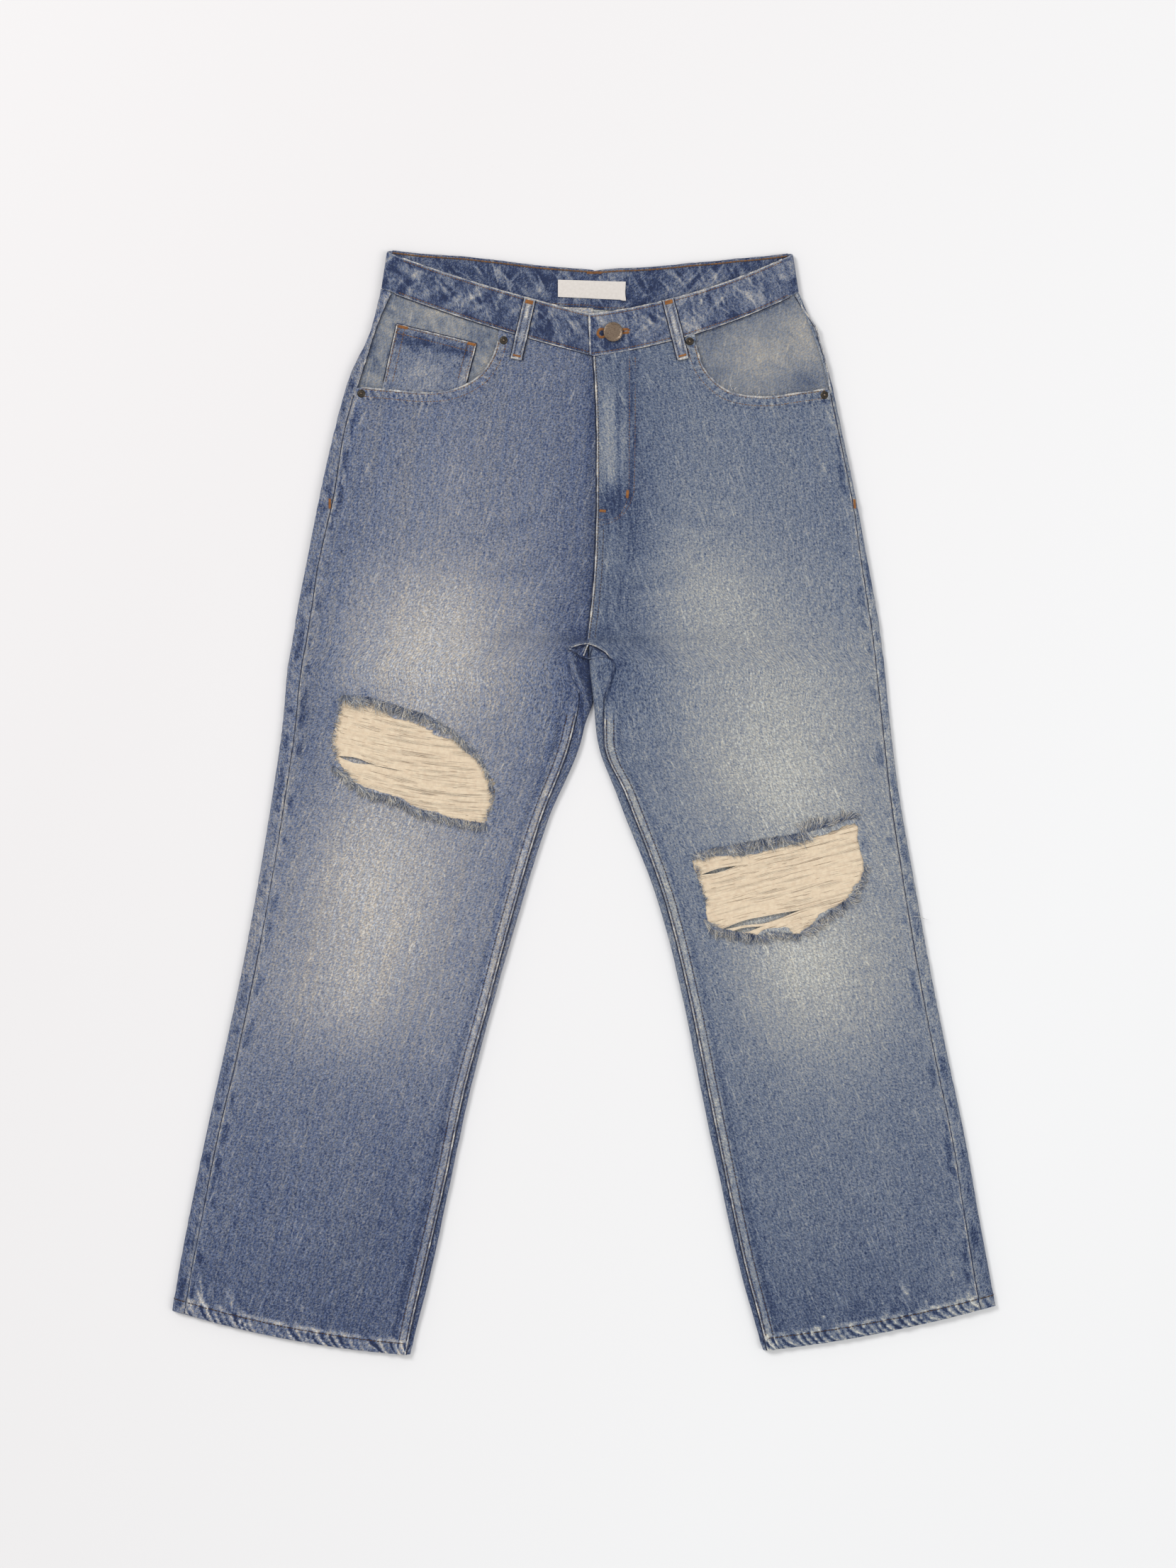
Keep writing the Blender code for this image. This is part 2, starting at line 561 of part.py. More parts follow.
def scoop_outline(curve, side):
    """The scoop's edge closed round the outer waist corner that it takes off the front."""
    first_x, first_y = curve[0]
    last_x, last_y = curve[-1]
    outside = last_x + side * SCOOP_SIDE_REACH
    above = first_y + SCOOP_WAIST_REACH
    corners = ((outside, last_y), (outside, above), (first_x, above),
               (first_x, first_y + SCOOP_WAIST_REACH / 4.0))
    return list(curve) + list(corners)


def make_front(leg, name, scoop, rip, material, collection, cutters):
    """A front panel with its scoop and its ripped hole cut out."""
    rows = [[leg.section(row).front(share) for share in FRONT_STEPS] for row in FRONT_ROWS]
    panel = cloth_wall(name, rows, leg.side > 0, material, collection)
    add_boolean(panel, make_cutter(name + "_scoop_cut", scoop_outline(scoop, leg.side), cutters),
                "DIFFERENCE")
    add_boolean(panel, make_cutter(name + "_rip_cut", rip, cutters), "DIFFERENCE")
    return panel


def make_rip_threads(leg, name, rip, material, collection, cutters):
    """The bare weft that fills a ripped hole, as a wall just inside the hole's edge."""
    rows = [[leg.section(row).front(share) for share in FRONT_STEPS]
            for row in FRONT_ROWS if ROW["fold"] < row <= ROW["calf"]]
    threads = cloth_wall(name, rows, leg.side > 0, material, collection)
    inner = make_cutter(name + "_cut", shrunk(rip, SEAM_GAP), cutters)
    add_boolean(threads, inner, "INTERSECT")
    return threads


def yoke_row(step):
    """Where the yoke seam lies at a step of the back panel's path."""
    return YOKE_SIDE_ROW + (YOKE_CENTRE_ROW - YOKE_SIDE_ROW) * step / BACK_STEPS


def make_back(leg, name, material, collection):
    """A back panel from the yoke seam to the hem."""
    rows = [[leg.section(yoke_row(step) + ROW_GAP).back(step) for step in range(BACK_STEPS + 1)]]
    for row in BACK_ROWS:
        tube = leg.section(row)
        rows.append([tube.back(step) for step in range(BACK_STEPS + 1)])
    return cloth_wall(name, rows, leg.side < 0, material, collection)


def make_yoke(leg, name, material, collection):
    """The yoke between the waistband and the back panel."""
    rows = []
    for number in range(YOKE_STEPS + 1):
        share = number / YOKE_STEPS
        rows.append([leg.section(ROW_GAP + (yoke_row(step) - ROW_GAP) * share).back(step)
                     for step in range(BACK_STEPS + 1)])
    return cloth_wall(name, rows, leg.side < 0, material, collection)


def facing_point(leg, row, share):
    """A pocket facing's face: the front's own form, smaller, then sunk away from its seams."""
    tube = leg.section(row, inset=FACING_INSET)
    tube.outseam = max(tube.outseam - FACING_TUCK, tube.radius)
    tube.lap_drop = 0.0
    point, out = tube.front(share)
    start, _ = tube.front(0.0)
    waist, _ = leg.section(0.0).front(share)
    from_seam = min(hypot(point[0] - start[0], point[1] - start[1]), abs(waist[1] - point[1]))
    point[2] -= FACING_SINK * smooth_step(from_seam / FACING_SINK_RUN)
    return point, out


def make_facing(leg, name, material, collection):
    """A pocket facing, from the band and the outseam to well under the front."""
    rows = [[facing_point(leg, row, share) for share in FACING_STEPS] for row in FACING_ROWS]
    return cloth_wall(name, rows, leg.side > 0, material, collection)


def band_rise(along):
    """How far the band's upper edge lies from its lower edge, across and up."""
    places = [rise.along for rise in BAND_RISES]
    across = np.interp(along, places, [rise.across for rise in BAND_RISES])
    up = np.interp(along, places, [rise.up for rise in BAND_RISES])
    return np.array((across, up, 0.0))


def make_waistband(right, left, material, collection):
    """The waistband: an open ring whose left end laps over its right end."""
    right_tube = right.section(0.0, top=BAND_TOP)
    left_tube = left.section(0.0, top=BAND_TOP)
    right_tube.lap_drop = BAND_END_DROP
    last_step = BACK_STEPS
    ring = [(1.0 - share, right_tube.front(share)) for share in BAND_FRONT_STEPS]
    ring += [(1.0 + step / last_step, right_tube.back(step)) for step in BAND_BACK_STEPS]
    ring += [(3.0 - step / last_step, left_tube.back(step)) for step in BAND_BACK_STEPS[::-1]]
    ring += [(3.0 + share, left_tube.front(share)) for share in BAND_FRONT_STEPS[::-1]]
    end, out = left_tube.front(1.0)
    ring.append((4.0, (end - np.array((BAND_LEFT_OVERRUN, 0.0, 0.0)), out)))
    rows = [[(low + band_rise(along) * share, out) for along, (low, out) in ring]
            for share in (1.0, 0.5, 0.0)]
    return cloth_wall("waistband", rows, True, material, collection, BAND_CLOTH)


def make_loop(strip, material, collection):
    """A belt loop: a flat strip with rounded edges."""
    bpy.ops.mesh.primitive_cube_add(size=1.0)
    loop = bpy.context.object
    loop.name = strip.name
    loop.data.name = strip.name
    size = (LOOP_WIDTH * MM, LOOP_LENGTH * MM, LOOP_THICKNESS * MM)
    for vertex in loop.data.vertices:
        vertex.co = [value * scale for value, scale in zip(vertex.co, size)]
    loop.location = (strip.x * MM, strip.y * MM, (strip.under + LOOP_THICKNESS / 2.0) * MM)
    loop.rotation_euler.z = strip.turn_degrees * pi / 180.0
    bevel = loop.modifiers.new("Edge", "BEVEL")
    bevel.width = LOOP_ROUNDING * MM
    bevel.segments = 1
    move_to(loop, collection)
    loop.data.materials.append(material)
    return loop


def make_turned_metal(name, profile, sides, place, material, collection):
    """A turned piece: its profile from the top down, screwed once round its axis."""
    mesh = bpy.data.meshes.new(name)
    points = [(point.radius * MM, 0.0, point.height * MM) for point in profile]
    mesh.from_pydata(points, [(i, i + 1) for i in range(len(points) - 1)], [])
    mesh.materials.append(material)
    piece = bpy.data.objects.new(name, mesh)
    collection.objects.link(piece)
    piece.location = [value * MM for value in place]
    screw = piece.modifiers.new("Turn", "SCREW")
    screw.steps = sides
    screw.render_steps = sides
    screw.use_merge_vertices = True
    screw.merge_threshold = 0.00001
    return piece


def move_to(piece, collection):
    """Move a primitive from the scene's own collection to another."""
    for old in list(piece.users_collection):
        old.objects.unlink(piece)
    collection.objects.link(piece)


def main():
    clear_scene()
    parts = make_collection("ripped_jeans")
    cutters = make_collection("cutters")
    finish = make_finishes()
    right = Leg(-1, RIGHT_LEG)
    left = Leg(1, LEFT_LEG)

    make_front(right, "front_right", RIGHT_SCOOP, RIGHT_RIP, finish["denim"], parts, cutters)
    make_front(left, "front_left", LEFT_SCOOP, LEFT_RIP, finish["denim"], parts, cutters)
    make_rip_threads(right, "rip_threads_right", RIGHT_RIP, finish["cream threads"], parts, cutters)
    make_rip_threads(left, "rip_threads_left", LEFT_RIP, finish["cream threads"], parts, cutters)
    make_back(right, "back_right", finish["dark denim"], parts)
    make_back(left, "back_left", finish["dark denim"], parts)
    make_yoke(right, "yoke_right", finish["denim"], parts)
    make_yoke(left, "yoke_left", finish["denim"], parts)
    make_facing(right, "pocket_facing_right", finish["bleached denim"], parts)
    make_facing(left, "pocket_facing_left", finish["bleached denim"], parts)
    make_waistband(right, left, finish["denim"], parts)
    plate("coin_pocket", COIN_POCKET, COIN_TOP - CLOTH, CLOTH, parts, finish["denim"])
    for pocket in BACK_POCKETS:
        outline = turned(BACK_POCKET, pocket.x, pocket.y, pocket.turn_degrees)
        plate(pocket.name, outline, pocket.under, CLOTH, parts, finish["denim"])
    plate("label", LABEL, LABEL_UNDER, LABEL_THICKNESS, parts, finish["white tape"])
    for strip in LOOPS:
        make_loop(strip, finish["denim"], parts)
    make_turned_metal("button", BUTTON_PROFILE, BUTTON_SIDES, BUTTON_AT, finish["aged brass"],
                      parts)
    for rivet in RIVETS:
        make_turned_metal(rivet.name, RIVET_PROFILE, RIVET_SIDES, (rivet.x, rivet.y, rivet.under),
                          finish["dark metal"], parts)


main()
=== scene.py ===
"""Looks of a pair of ripped denim jeans that lie flat on their back, front up.

+X is the wearer's left, +Y points to the waist and +Z up from the surface that the jeans lie on.
Sizes are in millimetres until a mesh is made. A leg is a flattened tube that a table of sections
describes, and every cloth piece is a sheet laid on that tube, with its own creases, seams and
fading, painted shade among it, worked out on a grid of points.
"""

from __future__ import annotations

import logging
from dataclasses import dataclass, field
from enum import Enum
from typing import NamedTuple, Sequence

import bpy
import numpy as np
from numpy.typing import ArrayLike, NDArray
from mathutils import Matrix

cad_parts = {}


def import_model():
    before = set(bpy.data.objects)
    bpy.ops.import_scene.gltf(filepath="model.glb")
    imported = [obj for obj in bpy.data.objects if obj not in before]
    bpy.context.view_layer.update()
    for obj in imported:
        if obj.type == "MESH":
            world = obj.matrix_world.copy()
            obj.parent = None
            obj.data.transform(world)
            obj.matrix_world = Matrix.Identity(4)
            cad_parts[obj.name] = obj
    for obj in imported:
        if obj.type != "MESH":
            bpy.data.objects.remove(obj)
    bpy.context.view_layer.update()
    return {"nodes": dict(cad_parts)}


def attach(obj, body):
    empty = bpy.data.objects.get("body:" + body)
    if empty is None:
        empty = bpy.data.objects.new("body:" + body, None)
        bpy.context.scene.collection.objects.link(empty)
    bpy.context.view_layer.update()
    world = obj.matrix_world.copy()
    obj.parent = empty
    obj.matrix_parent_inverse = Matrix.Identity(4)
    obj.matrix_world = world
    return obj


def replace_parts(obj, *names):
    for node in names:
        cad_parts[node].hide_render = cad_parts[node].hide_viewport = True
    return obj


Array = NDArray[np.float64]

LOG = logging.getLogger("ripped_jeans")
MM = 0.001
HALF_TURN = np.pi

# Thicknesses of cloth, the gap between pieces, and the heights of the layers.
SEAM_GAP = 0.3
CLOTH = 1.2
BAND_CLOTH = 2.0
HIP_BACK = CLOTH + SEAM_GAP
FACING_TOP = 4.8
COIN_TOP = FACING_TOP + SEAM_GAP + CLOTH
HIP_TOP = COIN_TOP + SEAM_GAP + CLOTH
BAND_TOP = 8.6
LEG_TOP = 6.0
FLY_LAP_DROP = CLOTH + SEAM_GAP + 0.1

# Rows of stitches by their distance from a seam or edge, and the pitch of a hem's roping.
INSEAM_ROWS, HEM_ROW, ROPE_PITCH, SCOOP_ROWS = (2.6, 9.6), 11.6, 8.4, (1.9, 9.0)
COIN_ROWS, POCKET_ROWS, BACK_POCKET_ROWS = (1.9, 8.6), (2.0, 7.6), (1.8, 7.6)
FLY_EDGE_ROWS, FLY_ROW_TOP, COIN_FOOT_SHOWN = (7.4, 1.9), 272.0, 416.0

# How far from an edge its look and its rounding reach.
EDGE_REACH, RIM_REACH = 30.0, 6.0

# How far points are drawn onto a cut, and how squares folded by that are opened again.
DRAWN_REACH, LEAST_CORNER, UNFOLD_ROUNDS = 4.4, 0.15, 6

# Where a back panel's stretches of columns meet, off the ends of its side and its floor.
SIDE_MARK, INNER_MARK, OPEN_MARK = 4.0, 6.0, 20.0

# How far from its edge the panel under the fly's lap is lowest, and how far it takes to drop.
LAP_START, LAP_REACH = 11.0, 14.0

# How a fade falls off round its middle.
PATCH_REACH, PATCH_POWER, PATCH_STEEPNESS = 1.5, 0.9, 1.15

# The search for a point's station: what the first guess spans, and its rounds.
GUESSED_REACH = (-475.0, 520.0)
LOCATE_ROUNDS, LOCATE_STEP = 14, 0.9

# How many pairs of a point and a piece of a line are measured at once.
CHUNK_PAIRS = 4000000


class Slot(Enum):
    """The record's material slots."""

    DENIM = "denim"
    BLEACHED = "bleached_denim"
    WEFT = "weft"
    TOPSTITCH = "topstitch"
    BARTACK = "bartack"
    TAPE = "tape"
    BUTTON = "button_metal"
    RIVET = "rivet_metal"


# ------------------------------------------------------------------------------ tables


class Section(NamedTuple):
    """One section of a leg: the outline's outer and inner edge, the end of the front panel at the
    fly or inseam, how far the outseam lies from the outer edge, and the section's bow towards
    the waist."""

    name: str
    outer_x: float
    outer_y: float
    inner_x: float
    inner_y: float
    seam_x: float
    seam_y: float
    outseam: float
    bow: float


RIGHT_LEG = (
    Section("waist", -200.0, 508.5, 9.5, 442.0, 17.5, 440.0, 10.0, -3.5),
    Section("hip", -211.0, 466.0, 12.0, 398.0, 20.0, 396.0, 4.0, -1.0),
    Section("scoop", -231.0, 422.5, 13.0, 352.5, 21.0, 350.5, 10.0, 0.0),
    Section("fly", -245.0, 373.5, 13.0, 303.5, 20.0, 302.0, 10.0, 0.0),
    Section("seat", -261.0, 303.5, 11.5, 244.0, 17.5, 242.5, 14.0, 0.0),
    Section("rise", -274.0, 237.0, 7.5, 193.0, 11.5, 192.5, 12.0, 0.0),
    Section("fork", -283.0, 191.5, 4.0, 164.0, 4.0, 164.0, 14.0, 0.0),
    Section("crotch", -288.0, 160.0, 4.5, 143.0, 3.8, 157.0, 14.0, 0.0),
    Section("fold", -293.0, 132.0, 4.6, 128.5, -14.5, 138.0, 14.0, 0.0),
    Section("cavity", -295.0, 108.0, 4.4, 103.0, -4.5, 106.0, 13.0, 0.0),
    Section("thigh", -297.0, 84.0, -0.5, 70.5, -11.5, 67.5, 13.0, 0.0),
    Section("above_rip", -307.5, 9.5, -36.0, -18.5, -43.0, -18.5, 13.0, 0.0),
    Section("rip", -323.0, -85.0, -67.5, -120.0, -73.0, -119.5, 13.0, 0.0),
    Section("knee", -338.0, -165.5, -91.5, -204.0, -95.5, -203.5, 13.0, 0.0),
    Section("calf", -354.5, -242.5, -112.5, -284.5, -117.5, -284.0, 13.5, 0.0),
    Section("shin", -373.0, -326.5, -132.0, -374.0, -136.5, -373.5, 12.0, -1.0),
    Section("low", -389.0, -403.5, -150.0, -458.0, -156.0, -456.5, 12.5, -4.0),
    Section("hem_top", -401.5, -470.0, -165.0, -517.0, -170.0, -516.0, 12.0, -7.0),
    Section("hem", -406.3, -501.0, -172.0, -544.2, -175.5, -544.2, 12.0, -7.0),
)

LEFT_LEG = (
    Section("waist", 212.5, 504.5, 9.5, 442.0, 9.5, 442.0, 4.0, -9.0),
    Section("hip", 230.0, 463.0, 12.0, 398.0, 12.0, 398.0, 3.6, -4.0),
    Section("scoop", 243.0, 422.5, 13.0, 352.5, 13.0, 352.5, 4.0, 0.0),
    Section("fly", 254.0, 372.0, 13.0, 303.5, 13.0, 303.5, 3.6, 0.0),
    Section("seat", 268.5, 303.5, 11.5, 244.0, 11.5, 244.0, 4.0, 0.0),
    Section("rise", 281.5, 233.5, 7.5, 193.0, 7.5, 193.0, 6.5, 0.0),
    Section("fork", 291.5, 179.0, 4.0, 164.0, 4.0, 164.0, 8.0, 0.0),
    Section("crotch", 295.0, 153.0, 5.2, 143.0, 4.4, 157.0, 8.0, 0.0),
    Section("fold", 298.0, 128.5, 6.5, 128.5, 30.0, 138.0, 8.5, 0.0),
    Section("cavity", 300.5, 100.5, 10.0, 97.0, 20.0, 100.5, 8.0, 0.0),
    Section("thigh", 303.5, 72.5, 13.0, 65.5, 20.0, 63.5, 8.0, 0.0),
    Section("above_rip", 311.0, 13.0, 33.0, 8.0, 41.5, 8.0, 9.0, 0.0),
    Section("rip", 326.5, -76.0, 74.0, -99.0, 81.0, -99.0, 11.0, 0.0),
    Section("knee", 342.0, -162.0, 98.5, -195.0, 104.5, -194.5, 12.0, 0.0),
    Section("calf", 359.5, -249.5, 115.0, -279.0, 121.5, -278.5, 12.5, 0.0),
    Section("shin", 377.0, -332.0, 133.5, -366.5, 139.5, -366.0, 12.5, -1.0),
    Section("low", 391.0, -410.5, 153.0, -454.0, 158.5, -453.5, 14.0, -3.0),
    Section("hem_top", 402.0, -470.0, 169.0, -512.0, 174.0, -511.5, 15.0, -5.0),
    Section("hem", 406.5, -496.0, 177.5, -540.0, 181.0, -540.0, 15.0, -5.0),
)


class Level(NamedTuple):
    """What both legs share at a section: how much nearer the waist the back panel's inner end is,
    how much of the half turn round the inner side the back panel makes, the heights of the tube's
    faces, and how much of the fly's drop the right front takes."""

    name: str
    back_rise: float
    turn: float
    top: float
    under: float
    lap: float


LEVELS = (
    Level("waist", 49.0, 0.0, HIP_TOP, HIP_BACK, 1.0),
    Level("hip", 38.5, 0.0, HIP_TOP, HIP_BACK, 1.0),
    Level("scoop", 28.0, 0.0, HIP_TOP, HIP_BACK, 1.0),
    Level("fly", 21.0, 0.0, HIP_TOP, HIP_BACK, 1.0),
    Level("seat", 10.5, 0.0, HIP_TOP - 0.2, HIP_BACK, 1.0),
    Level("rise", 4.0, 0.0, HIP_TOP - 0.6, HIP_BACK, 1.0),
    Level("fork", 0.0, 0.0, 6.4, 0.4, 1.0),
    Level("crotch", 0.0, 1.0, 6.2, 0.0, 1.0),
    Level("fold", 0.0, 1.0, 6.2, 0.0, 0.0),
    Level("cavity", 0.0, 1.0, 6.2, 0.0, 0.0),
    Level("thigh", 0.0, 1.0, 6.2, 0.0, 0.0),
    Level("above_rip", 0.0, 1.0, LEG_TOP, 0.0, 0.0),
    Level("rip", 0.0, 1.0, LEG_TOP, 0.0, 0.0),
    Level("knee", 0.0, 1.0, LEG_TOP, 0.0, 0.0),
    Level("calf", 0.0, 1.0, LEG_TOP, 0.0, 0.0),
    Level("shin", 0.0, 1.0, LEG_TOP, 0.0, 0.0),
    Level("low", 0.0, 1.0, LEG_TOP, 0.0, 0.0),
    Level("hem_top", 0.0, 1.0, LEG_TOP, 0.0, 0.0),
    Level("hem", 0.0, 1.0, LEG_TOP, 0.0, 0.0),
)

# Places down a leg, counted in rows of its table.
SCOOP_FOOT, FACING_FOOT, CURL_START, FLY_FOOT = 2.35, 3.1, 5.6, 6.2
CURL_FOOT, INSEAM_START = 8.9, 9.25
CROTCH_ROWS, BACK_CROTCH_ROWS = (6.3, 8.6), (5.7, 9.4)

# Lengths of a front's finer grid, at its pocket and at its hem.
POCKET_REACH, HEM_REACH = 128.0, 34.0
COLUMNS = {name: number for number, name in enumerate(Section._fields[1:] + Level._fields[1:])}

RIGHT_SCOOP = ((-85.0, 456.0), (-90.5, 440.0), (-103.0, 422.5), (-125.0, 410.0), (-153.0, 405.5),
               (-193.5, 408.5), (-220.0, 411.0))
LEFT_SCOOP = ((111.0, 452.5), (118.5, 430.0), (135.0, 412.0), (153.0, 404.0), (181.5, 401.5),
              (212.5, 405.5), (240.5, 409.5))
RIGHT_RIP = ((-235.5, 102.5), (-216.5, 101.0), (-199.0, 92.0), (-184.5, 83.5), (-162.0, 78.0),
             (-148.0, 67.5), (-124.0, 61.0), (-117.0, 51.5), (-103.0, 40.0), (-92.0, 23.0),
             (-88.5, 10.0), (-92.0, -4.0), (-100.5, -19.0), (-129.0, -14.5), (-142.0, -9.5),
             (-162.0, -5.0), (-179.5, 4.5), (-199.0, 11.5), (-224.5, 20.0), (-234.0, 31.0),
             (-244.5, 46.5), (-249.0, 61.0), (-243.0, 83.5))
LEFT_RIP = ((109.5, -56.5), (135.5, -52.0), (158.5, -51.5), (189.5, -45.0), (216.0, -37.5),
            (242.5, -29.0), (267.5, -20.5), (271.0, -37.5), (277.0, -61.0), (273.5, -74.0),
            (263.0, -87.0), (254.0, -99.0), (240.5, -104.5), (229.0, -113.5), (216.0, -127.0),
            (208.0, -128.5), (200.0, -122.0), (181.0, -124.0), (167.5, -130.0), (142.5, -124.0),
            (130.5, -122.0), (122.0, -115.0), (120.5, -95.0), (113.0, -74.0))


class Rise(NamedTuple):
    """Where the waistband's upper edge lies from its lower edge at a place along it."""

    place: str
    along: float
    across: float
    up: float


BAND_RISES = (
    Rise("right front end", 0.0, -4.0, 41.0),
    Rise("right front", 0.5, 0.0, 38.5),
    Rise("right side", 1.0, 8.0, 34.5),
    Rise("right back corner", 1.40, 3.2, 39.1),
    Rise("right back outer", 1.455, 2.6, 41.5),
    Rise("right back", 1.5, 2.0, 40.6),
    Rise("right back seat", 1.54, 1.8, 38.6),
    Rise("right of the back centre", 1.58, 1.6, 37.6),
    Rise("back centre", 2.0, 0.0, 36.8),
    Rise("left of the back centre", 2.12, -0.5, 38.6),
    Rise("left back seat", 2.42, -1.7, 41.0),
    Rise("left back", 2.51, -2.0, 45.2),
    Rise("left back outer", 2.57, -2.8, 44.4),
    Rise("left back corner", 2.63, -3.4, 40.3),
    Rise("left side", 3.0, -7.5, 37.0),
    Rise("left front", 3.5, 0.0, 40.5),
    Rise("left front end", 4.0, -1.0, 41.0),
)


class FadeAndShade(NamedTuple):
    """A patch of paleness, paler where the cloth is worn and darker where its strength is below 0,
    some
    darker ones painted shade: its middle, its reach across and along, its turn and strength.
    """

    place: str
    x: float
    y: float
    across: float
    along: float
    turn: float
    strength: float

    def square(self, x: Array, y: Array) -> Array:
        """The square of each point's distance from the patch's middle, over its reaches."""
        turn = np.radians(self.turn)
        dx, dy = x - self.x, y - self.y
        across = (dx * np.cos(turn) + dy * np.sin(turn)) / self.across
        along = (dy * np.cos(turn) - dx * np.sin(turn)) / self.along
        return across ** 2 + along ** 2


RIGHT_FADES_AND_SHADES = (
    FadeAndShade("hip", -138.0, 310.0, 55.0, 55.0, 0.0, 0.09),
    FadeAndShade("upper thigh", -146.0, 165.0, 66.0, 52.0, -4.0, 0.58),
    FadeAndShade("upper thigh's top", -130.0, 212.0, 36.0, 20.0, -4.0, 0.10),
    FadeAndShade("over the rip", -168.0, 95.0, 60.0, 60.0, -6.0, 0.25),
    FadeAndShade("knee", -200.0, -75.0, 56.0, 82.0, -10.0, 0.66),
    FadeAndShade("under the knee", -232.0, -190.0, 55.0, 42.0, -10.0, 0.30),
    FadeAndShade("outer thigh", -268.0, 95.0, 18.0, 75.0, -6.0, -0.19),
    FadeAndShade("outer hip", -240.0, 270.0, 26.0, 60.0, -10.0, -0.09),
    FadeAndShade("inner thigh", -2.0, 120.0, 26.0, 75.0, 0.0, -0.26),
    FadeAndShade("beside the fly", -6.0, 330.0, 22.0, 110.0, 0.0, -0.10),
    # Painted shadow of the left front's lapped edge on the right front.
    FadeAndShade("under the fly's edge", 8.0, 330.0, 3.6, 130.0, 0.0, -0.22),
    FadeAndShade("low", -330.0, -450.0, 60.0, 60.0, 0.0, 0.04),
    FadeAndShade("stain", -135.5, -323.0, 3.4, 4.4, 0.0, -0.30),
)
LEFT_FADES_AND_SHADES = (
    FadeAndShade("hip", 145.0, 300.0, 60.0, 60.0, 0.0, 0.05),
    FadeAndShade("upper thigh", 122.0, 205.0, 50.0, 42.0, 0.0, 0.34),
    FadeAndShade("mid thigh", 190.0, 95.0, 92.0, 75.0, 12.0, 0.46),
    FadeAndShade("over the rip", 198.0, 15.0, 48.0, 52.0, 6.0, 0.32),
    FadeAndShade("beside the rip", 226.0, -4.0, 52.0, 32.0, 6.0, 0.15),
    FadeAndShade("outside the rip", 300.0, -58.0, 18.0, 36.0, 8.0, 0.20),
    FadeAndShade("knee", 218.0, -150.0, 60.0, 50.0, 12.0, 0.65),
    FadeAndShade("under the knee", 245.0, -215.0, 60.0, 45.0, 12.0, 0.18),
    FadeAndShade("inner calf", 140.0, -178.0, 24.0, 66.0, 10.0, -0.13),
    FadeAndShade("shin", 255.0, -355.0, 95.0, 80.0, 12.0, 0.13),
    FadeAndShade("inner thigh", 45.0, 150.0, 28.0, 100.0, 6.0, -0.27),
    FadeAndShade("beside the fly", 58.0, 330.0, 18.0, 90.0, 0.0, -0.12),
    FadeAndShade("worn placket", 24.5, 372.0, 5.4, 32.0, 0.0, 0.38),
    FadeAndShade("worn placket's foot", 25.5, 327.0, 5.0, 12.0, 0.0, 0.22),
    FadeAndShade("placket's top", 28.0, 425.0, 14.0, 16.0, 0.0, -0.14),
    FadeAndShade("placket's foot", 28.0, 300.0, 14.0, 15.0, 0.0, -0.36),
    # The placket's fold and the strip beside its rows of stitches are darkened as painted shade;
    # the ridge between is worn paler.
    FadeAndShade("placket's fold", 34.2, 375.0, 2.0, 60.0, 0.0, -0.15),
    FadeAndShade("placket's ridge", 39.6, 372.0, 2.2, 62.0, 0.0, 0.20),
    FadeAndShade("beside the rows", 48.0, 370.0, 4.6, 75.0, 0.0, -0.10),
    FadeAndShade("low outseam", 372.0, -480.0, 20.0, 30.0, 12.0, 0.14),
)


class Tone(NamedTuple):
    """How pale the plain cloth is at a height, where nothing has rubbed it."""

    y: float
    pale: float


TONES = (
    Tone(520.0, 0.30), Tone(420.0, 0.31), Tone(300.0, 0.33), Tone(200.0, 0.31), Tone(60.0, 0.34),
    Tone(-120.0, 0.36), Tone(-220.0, 0.34), Tone(-285.0, 0.29), Tone(-340.0, 0.23),
    Tone(-420.0, 0.17), Tone(-500.0, 0.11),
)


# ------------------------------------------------------------------------------ numbers


def smooth_step(x: ArrayLike) -> Array:
    """0 below 0, 1 above 1 and a soft rise between: x x (3 - 2 x)."""
    share = np.clip(x, 0.0, 1.0)
    return share * share * (3.0 - 2.0 * share)


def hump(x: ArrayLike, middle: float, reach: float) -> Array:
    """A soft bell: exp of minus the square of the distance over the reach."""
    return np.exp(-(((np.asarray(x) - middle) / reach) ** 2))


def plateau(x: ArrayLike, low: float, high: float, soft: float) -> Array:
    """1 between two places and 0 outside them, with soft sides."""
    values = np.asarray(x)
    return smooth_step((values - low) / soft + 0.5) * smooth_step((high - values) / soft + 0.5)


def unit(vectors: Array) -> Array:
    """Vectors scaled to a length of 1."""
    return vectors / np.maximum(np.linalg.norm(vectors, axis=-1, keepdims=True), 1e-12)


def upright(shape: tuple[int, ...], way: float = 1.0) -> Array:
    """Directions straight up, or down if way is -1, one for each place of an array's shape."""
    outs = np.zeros((*shape, 3))
    outs[..., 2] = way
    return outs


def turned_by(degrees: float, u: Array, v: Array) -> tuple[Array, Array]:
    """Plan coordinates turned anticlockwise."""
    angle = np.radians(degrees)
    return u * np.cos(angle) - v * np.sin(angle), u * np.sin(angle) + v * np.cos(angle)


def between(knots: Sequence[tuple[float, float]], at: Array, along: int = 0) -> Array:
    """A plan line's other coordinate where the one numbered by along has the values given."""
    table = np.array(knots)
    return np.interp(at, table[:, along], table[:, 1 - along])


